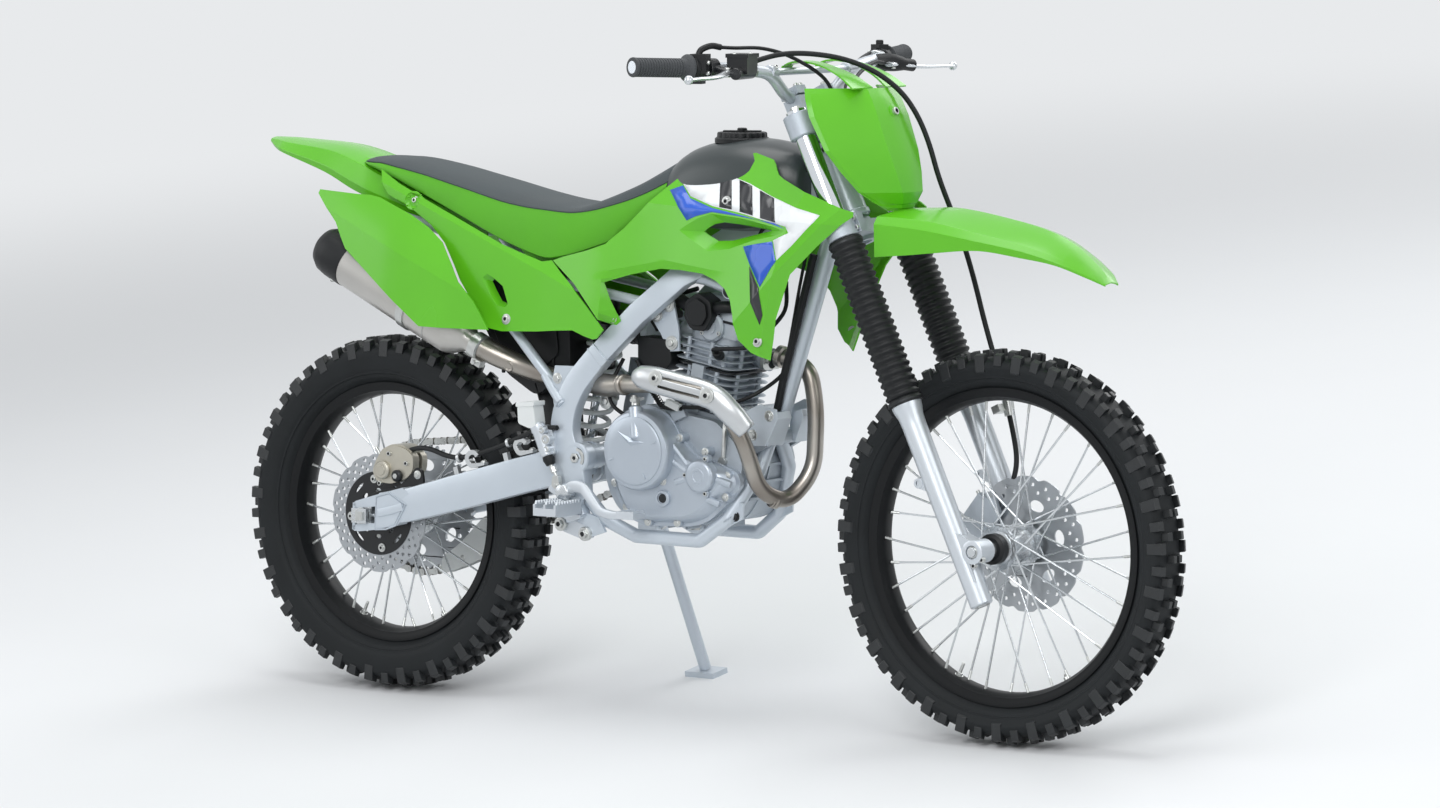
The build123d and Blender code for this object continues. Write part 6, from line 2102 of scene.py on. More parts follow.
def makeFuelling():
    mesh = bmesh.new()
    # carburettor: bell mouth, body, round top, float bowl
    addTurned(mesh, [(0, 0), (27, 0), (27, 14), (24, 18), (24, 44), (30, 48), (30, 62), (24, 66), (22, 84),
                     (0, 84)], (562, 16, 684), (1, -0.06, 0.03), 36, 1)
    addBox(mesh, (606, 12, 684), (50, 58, 60), 1)
    addTurned(mesh, [(0, 0), (29, 0), (29, 8), (25, 14), (22, 24), (0, 24)], (604, 12, 712), (0, 0, 1), 36)
    addTurned(mesh, [(0, 0), (14, 0), (24, 6), (26, 30), (0, 30)], (606, 12, 624), (0, 0, 1), 28, 1)
    addTurned(mesh, pin(30, 0, 4), (606, 12, 652), (0, 0, 1), 28, 1)
    addTube(mesh, smoothPath([(606, -18, 690), (600, -30, 720), (640, -34, 750), (700, -24, 770)]), 4.5, 0,
            10)
    addTube(mesh, [(478, 30, 690), (520, 24, 688), (566, 16, 684)], [30, 27, 26], 0, 32)
    for along in range(3):
        addTurned(mesh, band(27.5, 29.5, 0, 5), (520 + along * 14, 24 - along * 2, 688), (1, -0.06, 0), 32, 0,
                  True)
    makePiece("carburettorBody", mesh, ["blackPlastic", "castAlloy"], "frame", ["carburettor"],
              "engine_alloy", bevel=1.5, sharp=35)
    mesh = bmesh.new()
    # the ribbed air filter box
    box = roundedLoop([(240, 690), (268, 796), (404, 762), (438, 735), (440, 612), (362, 562), (292, 602)],
                      16, 4)
    addPlate(mesh, box, -60, 82)
    for side, depth in ((-1, -60), (1, 82)):
        for step in range(4):
            x = 288 + step * 38
            addBox(mesh, (x, depth, 676 - step * 6), (6, 6, 150))
        addPlate(mesh, roundedLoop([(262, 690), (284, 772), (404, 742), (416, 640), (354, 596), (296, 622)],
                                   12), *sorted((depth, depth + side * 4)))
    # covers seen between the frame's spars: a low box and a six-sided cap
    addPlate(mesh, roundedLoop([(600, 684), (668, 680), (676, 640), (660, 622), (612, 624), (600, 640)], 8),
             -72, -30)
    cap = [(737, 768), (764, 752), (768, 722), (752, 698), (722, 700), (706, 722), (710, 752)]
    addPlate(mesh, roundedLoop(cap, 7), -78, -40)
    addPlate(mesh, [(737 + (x - 737) * 0.72, 732 + (z - 732) * 0.72) for x, z in roundedLoop(cap, 7)], -83,
             -76)
    addTube(mesh, smoothPath([(760, -60, 738), (786, -58, 742), (806, -40, 736), (812, -20, 720)], 5), 11, 0,
            16)
    addTube(mesh, smoothPath([(706, -50, 735), (680, -48, 748), (640, -30, 756), (590, -14, 756)], 5), 12, 0,
            16)
    makePiece("airBox", mesh, ["blackPlastic"], "frame", ["airbox"], "black_plastic", bevel=2.0, sharp=35)


def makeEngineWiring():
    mesh = bmesh.new()
    plug = barrel @ Vector((36, -62, 112)) + Vector((0.35, -0.86, 0.36)).normalized() * 34
    addTube(mesh, smoothPath([plug, plug + Vector((6, -14, 6)), (858, -92, 676), (880, -70, 700),
                              (900, -40, 740), (892, -24, 790)]), 3.8, 0, 10)
    addTube(mesh, smoothPath([(872, -24, 560), (888, -26, 620), (906, -26, 680), (928, -24, 760),
                              (950, -22, 840)], 5), 7)
    addTube(mesh, smoothPath([(600, -74, 640), (640, -84, 590), (676, -100, 562), (716, -98, 560)]), 4, 0, 10)
    for step in range(9):
        place = Vector((640, -84, 590)).lerp(Vector((676, -100, 562)), step / 8)
        addTurned(mesh, [(5, -1), (6.6, 0), (5, 1)], place, (36, -16, -28), 14, 0, True)
    addBox(mesh, (700, -100, 566), (30, 12, 12), 1, Matrix.Rotation(0.35, 4, "Y"))
    addTube(mesh, smoothPath([(560, -60, 640), (548, -84, 590), (556, -90, 560), (588, -92, 540)], 5), 3.6, 0,
            10)
    makePiece("engineWiring", mesh, ["softRubber", "whitePlastic"], "frame", slot="black_rubber", bevel=0.8,
              sharp=40)


makeCylinder()
makeHead()
makeCrankcase()
makeRightCovers()
makeLeftCovers()
makeFuelling()
makeEngineWiring()
print("engine made")

# Exhaust

exhaust = {
    "route": [(835, 30, 652), (902, 34, 636), (920, 30, 560), (922, 20, 450), (895, -25, 396),
              (872, -78, 420), (858, -112, 520), (820, -136, 590), (690, -140, 606), (600, -112, 598),
              (520, -76, 592), (430, -74, 598), (350, -84, 618), (268, -108, 652)],
    "radius": 15,
    "shield": [(884, -134, 532), (858, -151, 566), (824, -158, 592), (756, -162, 606), (690, -160, 617),
               (650, -152, 619)],
    "shieldRadius": 24,
    "muffler": ((268, -108, 652), (-93, -108, 824)),
    "mufflerRadius": 46,
}


def makeHeader():
    mesh = bmesh.new()
    path = bentPath(exhaust["route"], 44, 9)
    addTube(mesh, path, exhaust["radius"], sides=32)
    # the collar at the port, the joint behind the shield, clamp rings
    addTurned(mesh, [(15.2, -4), (20, -4), (20, 6), (15.2, 8)], (842, 30, 651), (1, 0.05, -0.2), 32, 0, True)
    for place, axis, radius in (((884, -46, 403), (-0.35, -0.9, 0.2), 16.4),
                                ((600, -112, 598), (-0.9, 0.35, -0.05), 19),
                                ((508, -76, 592), (-1, 0, 0.05), 17.5)):
        addTurned(mesh, [(radius - 2, -5), (radius, -3), (radius, 3), (radius - 2, 5), (14, 5), (14, -5)],
                  place, axis, 36, 0, True)
        addTurned(mesh, [(radius - 2.4, 6), (radius - 0.8, 8), (radius - 2.4, 10), (14, 10), (14, 6)], place,
                  axis, 36, 0, True)
    # the cone that leads the pipe into the muffler, with a pressed oval on its flank
    cone = smoothPath([(262, -110, 656), (300, -100, 638), (340, -86, 621), (386, -79, 607), (430, -74, 598)],
                      5)
    addTube(mesh, cone, [between(i / (len(cone) - 1), [(0, 21.5), (0.35, 20.5), (0.7, 17.5), (0.95, 15.4),
                                                       (1, 15.0)]) for i in range(len(cone))], sides=40)
    addTurned(mesh, [(0, 0), (5, 0), (6, 1.6), (9, 2.4), (11, 0)], (334, -104.5, 618), (0.1, -1, -0.25), 24)
    # the fat stretch behind the shield and its bracket
    fat = smoothPath([(592, -110, 597), (556, -94, 593), (520, -77, 592), (494, -75, 593)])
    addTube(mesh, fat, [16 + 5 * math.sin(math.pi * i / (len(fat) - 1)) for i in range(len(fat))], sides=32)
    addPlate(mesh, [(512, 600), (548, 596), (548, 566), (530, 548), (512, 566)], -62, -57, 1,
             [circle(530, 562, 6, 12)])
    addAcross(mesh, [(0, -74), (14, -74), (15, -70), (15, -58), (0, -58)], 530, 562, 28, 1)
    addBolt(mesh, (530, -74, 562), (0, -1, 0), 7, 5, 1)
    makePiece("exhaustHeader", mesh, ["heatTintAndReflectionSteel", "zincBolt"], "frame", ["exhaust_header"],
              "exhaust_steel", sharp=50)


def makeHeatShield():
    # a half shell over the pipe, wider in the middle, with two long slots and two screws
    mesh = bmesh.new()
    path = smoothPath(exhaust["shield"], 8)
    reach = exhaust["shieldRadius"]
    rows = []
    columns = 28
    lengths = [0.0]
    for first, second in zip(path, path[1:]):
        lengths.append(lengths[-1] + (second - first).length)
    whole = lengths[-1]
    for index, point in enumerate(path):
        ahead = heading(path, index)
        outward = Vector((0.12, -1, 0.1))
        outward = (outward - ahead * outward.dot(ahead)).normalized()
        upward = outward.cross(ahead).normalized()
        share = lengths[index] / whole
        wide = reach * between(share, [(0, 0.78), (0.12, 0.92), (0.4, 1.0), (0.8, 1.0), (0.93, 0.86),
                                       (1, 0.45)])
        deep = 17 * between(share, [(0, 0.95), (0.9, 1.0), (0.97, 0.8), (1, 0.45)])
        row = []
        for column in range(columns + 1):
            turn = math.radians(-98 + 196 * column / columns)
            row.append(point + outward * (math.cos(turn) * deep - 2) + upward * math.sin(turn) * wide)
        rows.append(row)
    verts = [[mesh.verts.new(point) for point in row] for row in rows]
    for index, (row, following) in enumerate(zip(verts, verts[1:])):
        share = (lengths[index] + lengths[index + 1]) / 2 / whole
        for column in range(columns):
            slotted = 0.38 < share < 0.72 and column in (10, 11, 16, 17)
            if not slotted:
                mesh.faces.new((row[column], row[column + 1], following[column + 1], following[column]))
    makePiece("heatShield", mesh, ["shieldSteel"], "frame", ["heat_shield"], "bright_alloy", sharp=50,
              wall=1.6)
    mesh = bmesh.new()
    for place in ((716, -177, 620), (826, -174, 594)):
        place = Vector(place)
        addTurned(mesh, [(0, -2), (14, -2), (14, 0.8), (11, 1.6), (0, 1.6)], place, (0.1, -1, 0.08), 28)
        addBolt(mesh, place + Vector((0, -1.6, 0)), (0.1, -1, 0.08), 7, 4, 0, "socket", 1)
    makePiece("shieldScrews", mesh, ["zincBolt", "darkBoltAndRecessShade"], "frame", slot="bright_alloy", bevel=0.5)


def makeMuffler():
    mesh = bmesh.new()
    start, end = (Vector(point) for point in exhaust["muffler"])
    aim = (end - start).normalized()
    length = (end - start).length
    radius = exhaust["mufflerRadius"]
    body = [(15.2, 0), (20, 0), (21, 4), (21, 20), (28, 30), (38, 44), (radius - 2, 58), (radius - 0.6, 66),
            (radius - 0.6, length - 76), (0, length - 76)]
    addTurned(mesh, [(0, 2)] + body, start, aim, 72)
    cap = [(0, length - 78), (radius + 0.2, length - 78), (radius + 0.8, length - 74),
           (radius + 0.4, length - 40), (radius - 2, length - 22), (radius - 10, length - 8),
           (radius - 20, length - 1), (22, length), (20, length - 3), (20, length - 30), (0, length - 30)]
    addTurned(mesh, cap, start, aim, 72, 1)
    for turn in range(3):
        angle = math.radians(60 + 120 * turn)
        space = turnedFrame(aim)
        out = space[1] * math.cos(angle) + space[2] * math.sin(angle)
        addBolt(mesh, start + aim * (length - 62) + out * (radius + 0.4), out, 4.5, 3, 2, "dome", 3)
    # a strap with its bolt, and the clamp at the front joint
    addTurned(mesh, [(radius - 1, 150), (radius + 2.2, 150.6), (radius + 2.2, 167.4), (radius - 1, 168)],
              start, aim, 72, 2, True)
    lug = start + aim * 159 + Vector((0, 34, radius * 0.8))
    addBox(mesh, lug, (18, 22, 26), 2)
    addBolt(mesh, lug + Vector((0, -11, 4)), (0, -1, 0), 5.5, 4, 2)
    addTurned(mesh, [(20.8, -12), (25, -10), (25, 8), (20.8, 10)], start, aim, 40, 2, True)
    addBox(mesh, start + aim * -1 + Vector((4, -8, -28)), (20, 16, 12), 2, Matrix.Rotation(0.45, 4, "Y"))
    addRod(mesh, start + Vector((4, -24, -28)), start + Vector((4, 12, -28)), 4, 2, 12)
    addTurned(mesh, [(46.4, 100), (46.8, 100.6), (46.4, 101.4)], start, aim, 72, 2, True)
    makePiece("mufflerBody", mesh, ["mufflerSteel", "blackPlastic", "zincBolt", "darkBoltAndRecessShade"], "frame",
              ["muffler"], "exhaust_steel", sharp=40)


makeHeader()
makeHeatShield()
makeMuffler()
print("exhaust made")

# Swingarm, shock, chain and rear brake

rear = {
    "armTop": [(60, 371), (227, 418), (405, 467), (470, 483)],
    "armLow": [(60, 309), (250, 356), (435, 407), (500, 426)],
    "armInner": [(-60, 88), (320, 88), (430, 74), (540, 74)],
    "armOuter": [(-60, 116), (330, 116), (430, 101), (540, 101)],
    "pivot": (499, 462),
    "pitch": 15.875,
    "rearTeeth": 48,
    "frontTeeth": 13,
    "countershaft": (565, 470),
    "chainLine": 72,
    "discLine": -65,
    "hoseRoute": [(74, -74, 446), (92, -79, 452), (120, -87, 457), (150, -95, 456), (184, -100, 447),
                  (216, -103, 444), (256, -105, 452), (312, -103, 470), (360, -106, 490), (404, -116, 506),
                  (436, -127, 514), (464, -132, 515)],
    "hooks": [(247, 430, 462), (358, 459, 491)],  # place along the arm, height of the foot and of the top
    "holders": [(219, 417), (333, 449)],
    "master": [(445, -134, 462), (421, -134, 518)],
    "caliper": [(14, 388), (3, 408), (14, 432), (36, 452), (60, 457), (84, 452), (100, 438), (98, 412),
                (84, 398), (48, 386)],
}


def armPlan(x):
    # inner and outer face of the arm at a distance ahead of the axle
    return between(x, rear["armInner"]), between(x, rear["armOuter"])


def makeSwingarm():
    mesh, welds = bmesh.new(), bmesh.new()
    for side in (-1, 1):
        # the box beam, with small rounded edges
        rings = []
        for x in (40, 110, 160, 210, 260, 300, 330, 352, 376, 400, 430, 470, 505):
            top, low = between(x, rear["armTop"] + [(520, 476)]), between(x, rear["armLow"] + [(520, 438)])
            inner, outer = armPlan(x)
            cut = 4.5
            ring = [(outer - cut, top), (outer - cut * 0.3, top - cut * 0.3), (outer, top - cut),
                    (outer, low + cut), (outer - cut * 0.3, low + cut * 0.3), (outer - cut, low),
                    (inner + cut, low), (inner + cut * 0.3, low + cut * 0.3), (inner, low + cut),
                    (inner, top - cut), (inner + cut * 0.3, top - cut * 0.3), (inner + cut, top)]
            rings.append([Vector((x, side * y, z)) for y, z in ring])
        addRings(mesh, rings)
        low, high = onSide(side, 89, 116.5)
        # the forked end: two rails, an end wall, the sliding axle block and its adjuster
        addPlate(mesh, [(-20, 347), (-14, 353), (30, 366), (96, 384), (112, 374), (62, 348), (34, 346),
                        (-10, 340)], low, high)
        addPlate(mesh, [(-22, 306), (-18, 298), (-8, 297), (30, 302), (84, 314), (96, 326), (60, 318),
                        (-12, 310)], low, high)
        addPlate(mesh, [(-22, 300), (-20, 350), (-13, 350), (-15, 300)], low, high)
        low, high = onSide(side, 91, 114)
        addPlate(mesh, roundedLoop([(-14, 308), (-12, 343), (22, 346), (20, 308)], 4, 2), low, high, 1)
        chevron = [(34, 306), (38, 362), (66, 370), (100, 352), (78, 316), (58, 309)]
        low, high = onSide(side, 112, 117.5)
        addPlate(mesh, chevron, low, high)
        addBeam(mesh, [(40, side * 117, 334), (70, side * 118, 341), (98, side * 117, 349)], 14, 6)
        addRod(mesh, (18, side * 103, 327), (64, side * 103, 331), 4.2, 1, 14)
        addTurned(mesh, pin(8, 0, 8), (30, side * 103, 328), (1, 0, 0.08), 6, 1)
        addTurned(mesh, pin(8, 0, 6), (42, side * 103, 329), (1, 0, 0.08), 6, 1)
        for step in range(4):  # index marks on the axle block
            addBox(mesh, (-8 + step * 8, side * 114.3, 338), (1.6, 1, 7), 1)
        addWeld(welds, [(32, side * 116.6, 303), (36, side * 117, 364), (67, side * 117, 373),
                        (104, side * 117, 353), (80, side * 117, 313), (58, side * 117, 305)], 1.8)
        top = [(406, side * 86, 468), (406, side * 102, 467), (404, side * 102, 399), (404, side * 86, 399)]
        addWeld(welds, top, 1.8)
    # cross tube, shock tabs, pivot tube
    addBeam(mesh, [(372, -90, 416), (372, 90, 416)], 44, 40)
    for side in (-1, 1):
        low, high = onSide(side, 27, 35)
        addPlate(mesh, roundedLoop([(384, 398), (384, 432), (440, 444), (446, 420), (432, 404)], 8), low,
                 high)
    x, z = rear["pivot"]
    addAcross(mesh, [(10, -101), (22, -101), (23, -99), (23, -60), (20, -56), (20, 56), (23, 60), (23, 99),
                     (22, 101), (10, 101)], x, z, 40, 0, True)
    for side in (-1, 1):
        addWeld(welds, ringPoints((x - 4, side * 73, z), (0, side, 0), 25, 22), 1.8)
    makePiece("swingarmBeams", mesh, ["framePaint", "machinedAlloy", "zincBolt"], "frame", ["swingarm"],
              "frame_paint", bevel=0.9, sharp=30)
    makePiece("swingarmWelds", welds, ["weldBead"], "frame", slot="frame_paint", sharp=60)


def makeRearAxle():
    mesh = bmesh.new()
    place = Vector((0, 0, bike["rearAxleHeight"]))
    addTurned(mesh, pin(9.4, -117, 117), place, (0, 1, 0), 32)
    for side in (-1, 1):
        addTurned(mesh, band(9.6, 17.5, side * 76, side * 87.6), place, (0, 1, 0), 32, 1, True)
        addTurned(mesh, band(9.6, 15, side * 117, side * 119.5), place, (0, 1, 0), 32, 0, True)
    addBox(mesh, place + Vector((0, -122, 0)), (34, 6, 27), 1)
    addBox(mesh, place + Vector((3, -126.5, 0)), (16, 5, 16))
    for x, z in ((-12, 8), (-12, 0), (-12, -8), (-5, 10), (-5, -10)):
        addTurned(mesh, band(1.2, 2.2, -125.4, -124.4), place + Vector((x, 0, z)), (0, 1, 0), 10, 0, True)
    addTurned(mesh, [(0, 119), (13.5, 119), (13.5, 127), (12, 129), (0, 129)], place, (0, 1, 0), 6)
    makePiece("rearAxleBolt", mesh, ["zincBolt", "machinedAlloy"], "frame", ["rear_axle"], "bright_alloy",
              bevel=0.5, sharp=35)


def makeShock():
    mesh = bmesh.new()
    low, high = Vector((426, 0, 424)), Vector((492, 0, 745))
    aim = (high - low).normalized()
    addTurned(mesh, [(0, -16), (15, -16), (18, -10), (18, 24), (14, 34), (0, 34)], low, aim, 28, 1)
    addTurned(mesh, pin(8, 30, 150), low, aim, 24, 2)
    addTurned(mesh, [(0, 34), (33, 34), (35, 38), (35, 46), (20, 50), (0, 50)], low, aim, 48, 1)
    addTurned(mesh, [(0, 150), (22, 150), (24, 154), (24, 286), (0, 286)], low, aim, 40, 1)
    addTurned(mesh, [(24, 266), (35, 268), (35.5, 276), (35.5, 282), (24, 284)], low, aim, 48, 1, True)
    for notch in range(12):
        turn = math.tau * notch / 12
        side, up = turnedFrame(aim)[1:]
        addBox(mesh, low + aim * 275 + (side * math.cos(turn) + up * math.sin(turn)) * 33.5, (5, 5, 9), 1)
    addTurned(mesh, [(0, 284), (16, 284), (16, 316), (13, 326), (0, 326)], low, aim, 28, 1)
    addSpring(mesh, low + aim * 50, low + aim * 266, 30.5, 4.6, 8.5, 0, 10)
    addTurned(mesh, pin(8.6, -36, 36), low, (0, 1, 0), 24, 2)
    for side in (-1, 1):
        addBolt(mesh, low + Vector((0, side * 35, 0)), (0, side, 0), 7.5, 6, 2)
    makePiece("rearShockUnit", mesh, ["whitePlastic", "blackPaintAndRecessShade", "chrome"], "frame", ["rear_shock"],
              "black_paint", bevel=0.6, sharp=35)


def chainPath():
    # the pitch line: a point and a direction for every link
    rearCentre, frontCentre = Vector((0, bike["rearAxleHeight"])), Vector(rear["countershaft"])
    rearReach = rear["pitch"] / 2 / math.sin(math.pi / rear["rearTeeth"])
    frontReach = rear["pitch"] / 2 / math.sin(math.pi / rear["frontTeeth"])
    across = frontCentre - rearCentre
    lean = math.atan2(across.y, across.x)
    swing = math.acos((rearReach - frontReach) / across.length)
    straight = math.sqrt(across.length ** 2 - (rearReach - frontReach) ** 2)
    topAngle, lowAngle = lean + swing, lean - swing

    def onSprocket(centre, reach, angle, further=0.0):
        outward = Vector((math.cos(angle), math.sin(angle)))
        onward = Vector((math.sin(angle), -math.cos(angle)))
        return centre + outward * reach + onward * further, angle - math.pi / 2

    runs = [(straight, lambda s: onSprocket(rearCentre, rearReach, topAngle, s)),
            (2 * swing * frontReach, lambda s: onSprocket(frontCentre, frontReach,
                                                          topAngle - s / frontReach)),
            (straight, lambda s: onSprocket(frontCentre, frontReach, lowAngle, s)),
            ((math.tau - 2 * swing) * rearReach, lambda s: onSprocket(rearCentre, rearReach,
                                                                      lowAngle - s / rearReach))]
    whole = sum(length for length, place in runs)
    count = 2 * round(whole / rear["pitch"] / 2)
    spots = []
    for link in range(count):
        along = whole * (link + 0.5) / count
        for length, place in runs:
            if along <= length:
                spots.append(place(along))
                break
            along -= length
    return spots


def makeChain():
    mesh = bmesh.new()
    half, pitch = 6.9, rear["pitch"]
    outline = []
    for step in range(13):  # a waisted link plate
        turn = math.tau * step / 26 - math.pi / 2
        outline.append((pitch / 2 + half * math.cos(turn), half * math.sin(turn)))
    outline.append((0, half * 0.66))
    outline += [(-u, -v) for u, v in outline]
    for index, (place, slope) in enumerate(chainPath()):
        space = (Matrix.Translation((place.x, rear["chainLine"], place.y)) @ Matrix.Rotation(-slope, 4, "Y")
                 @ sideView)
        for side in (-1, 1):
            near = 6.6 if index % 2 else 4.4
            addPlate(mesh, outline, *onSide(side, near, near + 1.9), index % 2, space=space)
        ahead = space @ Vector((pitch / 2, 0, 0))
        addTurned(mesh, pin(5, -4.6, 4.6), ahead, (0, 1, 0), 12)
        addTurned(mesh, pin(2.5, -9.3, 9.3), ahead, (0, 1, 0), 8, 1)
    makePiece("driveChain", mesh, ["chainSteel", "zincBolt"], "frame", ["chain"], "chain_steel", sharp=30)


def makeChainGuide():
    mesh = bmesh.new()
    line = rear["chainLine"]
    # white guide below the arm: two cheeks with the chain between them
    cheek = roundedLoop([(54, 206), (50, 235), (96, 268), (150, 319), (188, 334), (232, 347), (233, 274),
                         (150, 243), (100, 222)], 7)
    for side in (-1, 1):
        addPlate(mesh, cheek, *sorted((line + side * 10.5, line + side * 14.5)))
        for x, z in ((100, 238), (160, 262), (214, 286)):
            addBolt(mesh, (x, line + side * 14.5, z), (0, side, 0), 4.5, 3, 1)
    makePiece("chainGuide", mesh, ["whitePlastic", "zincBolt"], "frame", ["chain_guide"], "white_plastic",
              bevel=1.2, sharp=35)


def makeRearBrake():
    mesh = bmesh.new()
    line = rear["discLine"]
    # the caliper over the disc, with its piston boss, slide pins, pad pin, bleeder and carrier
    body = roundedLoop(rear["caliper"], 8)
    addPlate(mesh, body, -88, line - 4)
    addPlate(mesh, body, line + 5, line + 20)
    bridge = roundedLoop([(10, 430), (24, 449), (46, 459), (72, 459), (94, 448), (90, 440), (60, 448),
                          (30, 438)], 4, 2)
    addPlate(mesh, bridge, -84, line + 18)
    for x, z, reach, tone in ((30, 411, 17, 0), (64, 402, 11, 2)):
        addAcross(mesh, [(0, -97), (reach - 3, -97), (reach, -94), (reach, -86), (0, -86)], x, z, 36, tone)
    addAcross(mesh, [(0, -98.5), (9, -98.5), (10.5, -96), (0, -96)], 30, 411, 32)
    addAcross(mesh, [(0, -98.5), (5, -98.5), (5.6, -96), (0, -96)], 64, 402, 6, 1)
    for x, z in ((44, 442), (84, 426), (22, 386)):
        addBolt(mesh, (x, -88, z), (0, -1, 0), 4.6, 4, 1, "socket", 2)
    addRod(mesh, (14, -78, 438), (4, -78, 452), 3.4, 1, 12, 0.8)
    addTurned(mesh, band(4.6, 8, -5, 5), (66, -76, 450), (0, 1, 0.1), 20, 1, True)
    addBolt(mesh, (66, -81, 450), (0, -1, 0.1), 4.6, 4, 1)
    for x, low, high, reach in ((92, -82, -76, 8), (98, -84, -78, 6)):
        addAcross(mesh, pin(reach, low, high), x, 409, 20, 1)
    carrier = roundedLoop([(0, 347), (34, 336), (70, 352), (112, 372), (122, 392), (118, 416), (104, 420),
                           (92, 404), (60, 380), (20, 372), (-6, 362)], 5, 2)
    addPlate(mesh, carrier, -86, -80, 3)
    addBolt(mesh, (108, -86, 406), (0, -1, 0), 5.5, 4, 1)
    makePiece("rearCaliper", mesh, ["caliperBronze", "zincBolt", "darkBoltAndRecessShade", "blackPaintAndRecessShade"], "frame",
              ["rear_brake_caliper"], "bright_alloy", bevel=1.2, sharp=32)
    # the hose along the top of the arm, held by two open hooks
    makeHose("rearBrakeHose", rear["hoseRoute"], "frame", "rear_brake_hose")
    clips = bmesh.new()
    for x, foot, top in rear["hooks"]:  # an open hook over the hose, on a foot along the arm
        hook = [(x + 34, foot + 8), (x + 18, foot + 5), (x + 4, foot + 3), (x - 4, foot + 10),
                (x - 6, top - 14), (x + 1, top - 6), (x + 11, top - 5), (x + 17, top - 11)]
        inner = smoothPath([(px, 0, pz) for px, pz in hook], 4)
        rows = []
        for index, point in enumerate(inner):
            ahead = heading(inner, index)
            out = Vector((-ahead.z, 0, ahead.x)) * between(index / (len(inner) - 1),
                                                           [(0, 2.5), (0.3, 4.6), (1, 4.2)])
            rows.append([point + out + Vector((0, -110, 0)), point + out + Vector((0, -97, 0)),
                         point - out + Vector((0, -97, 0)), point - out + Vector((0, -110, 0))])
        addRings(clips, rows)
        addBolt(clips, (x + 28, -103, foot + 11), (-0.3, 0, 1), 4, 3, 1)
    heights = [(x, z) for x, y, z in rear["hoseRoute"]]
    for x, z in rear["holders"]:
        addTurned(clips, band(5, 8.5, -3, 3), (x, -103, between(x, heights)), (1, 0, 0.3), 20, 0, True)
        addBox(clips, (x, -108, z + 2), (10, 10, 20), 0, Matrix.Rotation(-0.3, 4, "Y"))
    makePiece("hoseHooks", clips, ["shieldSteel", "zincBolt"], "frame", slot="bright_alloy", bevel=0.5,
              sharp=40)


def makeRearMaster():
    mesh = bmesh.new()
    # a small reservoir, the leaning cylinder bolted to the pivot plate, and the push rod down to the pedal
    low, top = Vector(rear["master"][0]), Vector(rear["master"][1])
    aim = (top - low).normalized()
    tank = roundedLoop([(388, 520), (386, 552), (422, 556), (428, 518), (414, 512)], 5)
    addPlate(mesh, tank, -148, -118, 1)
    addPlate(mesh, roundedLoop([(384, 550), (384, 558), (425, 562), (425, 553)], 2, 2), -150, -116, 1)
    addRod(mesh, top + Vector((-8, 0, 6)), top, 7, 2)
    addTurned(mesh, [(0, 0), (9, 0), (12, 3), (12.5, 46), (14, 50), (14, 60), (11, 64), (0, 64)], low, aim,
              28)
    plate = roundedLoop([(432, 520), (452, 512), (460, 470), (448, 462), (432, 474), (424, 506)], 6)
    addPlate(mesh, plate, -132, -118)
    for x, z, reach in ((437, 510, 5.5), (446, 494, 8), (447, 476, 5.5)):
        addAcross(mesh, pin(reach + 2, -143, -126), x, z, 24)
        addAcross(mesh, band(reach * 0.5, reach, -144.5, -142), x, z, 20, 3, True)
    addTurned(mesh, [(0, 2), (10, 2), (11, -5), (9, -12), (8, -16), (0, -16)], low, aim, 24, 4)
    clevis = Vector((465, -132, 424))
    addRod(mesh, low - aim * 12, clevis, 3.6, 3, 12)
    addTurned(mesh, pin(6.5, -5, 5), low.lerp(clevis, 0.6), clevis - low, 6, 3)
    addPlate(mesh, roundedLoop([(458, 428), (470, 430), (474, 408), (464, 404), (456, 410)], 3, 2), -139,
             -127, 3)
    addRod(mesh, (466, -142, 412), (466, -124, 412), 4, 3, 14, 0.8)
    makePiece("rearMasterCylinder", mesh, ["legAlloy", "whitePlastic", "blackPlastic", "zincBolt",
                                           "softRubber"], "frame", ["rear_brake_master"], "bright_alloy",
              bevel=0.8, sharp=35)


def makeMudFlap():
    # the sheet that hangs from the air filter box, between the tyre and the shock
    mesh = bmesh.new()
    rows = []
    for across, bow in ((-60, 10), (-50, 4), (-25, 0), (0, -1), (25, 0), (50, 4), (60, 10)):
        rows.append([mesh.verts.new((x + bow, across * wide, z))
                     for x, z, wide in ((352, 586, 1.0), (362, 556, 1.0), (370, 520, 0.98), (374, 486, 0.94),
                                        (376, 466, 0.86))])
    spanRows(mesh, rows, closeRows=False, closePoints=False)
    makePiece("mudFlap", mesh, ["blackPlastic"], "frame", slot="black_plastic", wall=3, sharp=50)


makeSwingarm()
makeRearAxle()
makeShock()
makeChain()
makeChainGuide()
makeRearBrake()
makeRearMaster()
makeMudFlap()
print("rear made")

# Foot pegs, pedal, gear lever and side stand

feet = {
    "pegX": 487,
    "teeth": 9,
    "toothPitch": 8,
    "shaft": (600, 392),
    "pedalPivot": (485, 401),
    "leverTip": (660, 384),
}


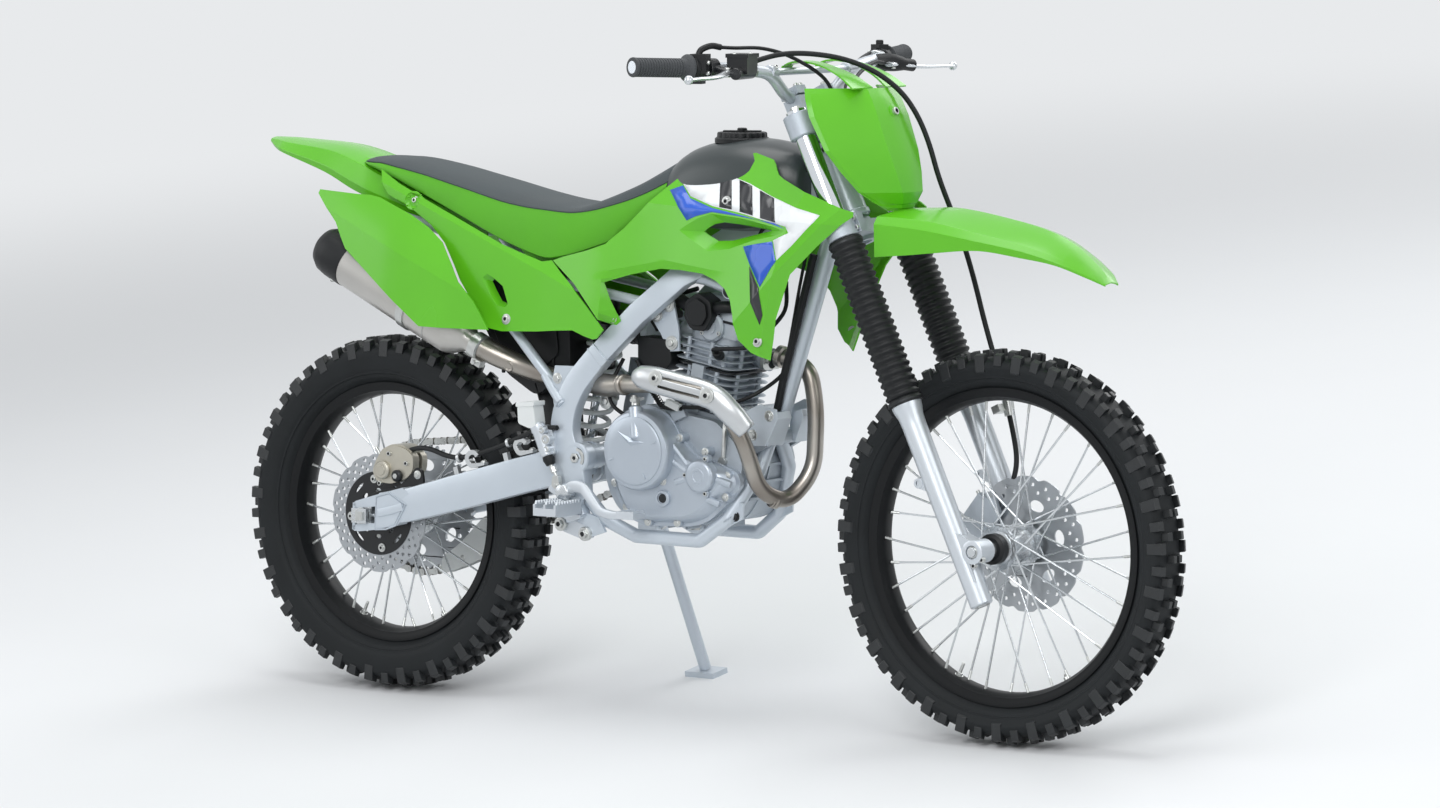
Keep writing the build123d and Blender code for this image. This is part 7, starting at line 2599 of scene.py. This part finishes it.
def makePegs():
    mesh = bmesh.new()
    for side in (-1, 1):
        # a frame of two toothed walls, joined by bars
        for shift in (-23, 0, 23):
            profile = [(side * 124, 362), (side * 124, 384)]
            for tooth in range(feet["teeth"]):
                y = side * (126 + tooth * feet["toothPitch"])
                profile += [(y, 383), (y + side * 2, 389), (y + side * 4.5, 389), (y + side * 6.5, 383)]
            profile += [(side * 201, 383), (side * 201, 366), (side * 190, 360)]
            space = Matrix(((0, 0, 1, feet["pegX"] + shift), (1, 0, 0, 0), (0, 1, 0, 0), (0, 0, 0, 1)))
            addPlate(mesh, profile, -2.4, 2.4, space=space)
        for y in (128, 152, 176, 199):
            addBox(mesh, (feet["pegX"], side * y, 369), (50, 5, 14))
        addRod(mesh, (feet["pegX"], side * 110, 367), (feet["pegX"], side * 130, 367), 13, 0, 24, 2)
        addRod(mesh, (feet["pegX"], side * 116, 350), (feet["pegX"], side * 116, 392), 5.5, 1, 16, 1)
        addPlate(mesh, roundedLoop([(466, 356), (466, 360), (512, 360), (512, 354), (490, 346)], 3, 2),
                 *onSide(side, 104, 128))
        addPlate(mesh, roundedLoop([(466, 386), (466, 391), (510, 391), (510, 386)], 2, 2),
                 *onSide(side, 104, 128))
        # the bracket under the peg, with two bolts
        bracket = roundedLoop([(446, 334), (456, 352), (478, 352), (520, 336), (530, 318), (506, 314),
                               (462, 326)], 6)
        addPlate(mesh, bracket, *onSide(side, 106, 112))
        for x, z in ((460, 340), (514, 325)):
            addTurned(mesh, [(0, 0), (13, 0), (13, 8), (11.5, 10), (0, 10)], (x, side * 110, z), (0, side, 0),
                      24, 1)
            addTurned(mesh, [(5, 10), (8.5, 10), (8.5, 14), (7.5, 15), (5, 15)], (x, side * 110, z),
                      (0, side, 0), 6, 1, True)
            addTurned(mesh, pin(5, 10, 12), (x, side * 110, z), (0, side, 0), 16, 2)
        addSpring(mesh, (474, side * 118, 362), (474, side * 118, 384), 8, 1.3, 4, 1, 6)
    makePiece("footPegs", mesh, ["legAlloy", "zincBolt", "darkBoltAndRecessShade"], "frame", ["footpegs"], "bright_alloy",
              bevel=0.5, sharp=30)


def makePedal():
    mesh = bmesh.new()
    arm = smoothPath([(488, -138, 402), (508, -142, 412), (534, -146, 410), (556, -152, 392),
                      (580, -158, 374), (612, -164, 369), (640, -166, 370)])
    tall = [between(index / (len(arm) - 1), [(0, 20), (0.25, 22), (0.6, 18), (1, 13)])
            for index in range(len(arm))]
    addBeam(mesh, arm, tall, 8, 0, 0.5)
    addAcross(mesh, [(0, -126), (16, -126), (16, -144), (13, -149), (6, -151), (0, -151.5)],
              *feet["pedalPivot"], 36, 1)
    # the toothed tip
    addBox(mesh, (654, -166, 370), (38, 34, 10))
    for shift in (-15, -5, 5, 15):
        addBox(mesh, (654 + shift, -166, 377), (4, 34, 5))
    addBox(mesh, (654, -184, 372), (38, 3, 14))
    addPlate(mesh, roundedLoop([(446, 402), (452, 412), (486, 410), (490, 394), (470, 390)], 4, 2), -137,
             -128)
    makePiece("brakePedalArm", mesh, ["legAlloy", "machinedAlloy"], "frame", ["brake_pedal"], "bright_alloy",
              bevel=0.9, sharp=32)
    mesh = bmesh.new()
    addAcross(mesh, [(0, 84), (11, 84), (13, 112), (13, 130), (0, 130)], *feet["shaft"], 28)
    addTube(mesh, smoothPath([(602, 124, 391), (616, 128, 392), (640, 132, 388), (662, 134, 384)], 5),
            [8, 7, 6.5, 6.5] + [6] * 12, sides=16, flat=0.8)
    addAcross(mesh, [(0, 122), (8, 122), (8.5, 124), (8.5, 128), (7.4, 129), (8.5, 131), (8.5, 164), (7, 166),
                     (0, 166)], *feet["leverTip"], 28, 1)
    for rib in range(6):
        addAcross(mesh, [(8.4, 134 + rib * 5), (9.3, 135 + rib * 5), (9.3, 137 + rib * 5),
                         (8.4, 138 + rib * 5)], *feet["leverTip"], 24, 1, True)
    addBolt(mesh, (594, 121, 404), (-0.4, 0, 1), 4, 4, 2)
    makePiece("gearLeverArm", mesh, ["legAlloy", "softRubber", "zincBolt"], "frame", ["gear_lever"],
              "bright_alloy", sharp=35)


coatNode("side_stand", "framePaint")
makePegs()
makePedal()
print("foot controls made")
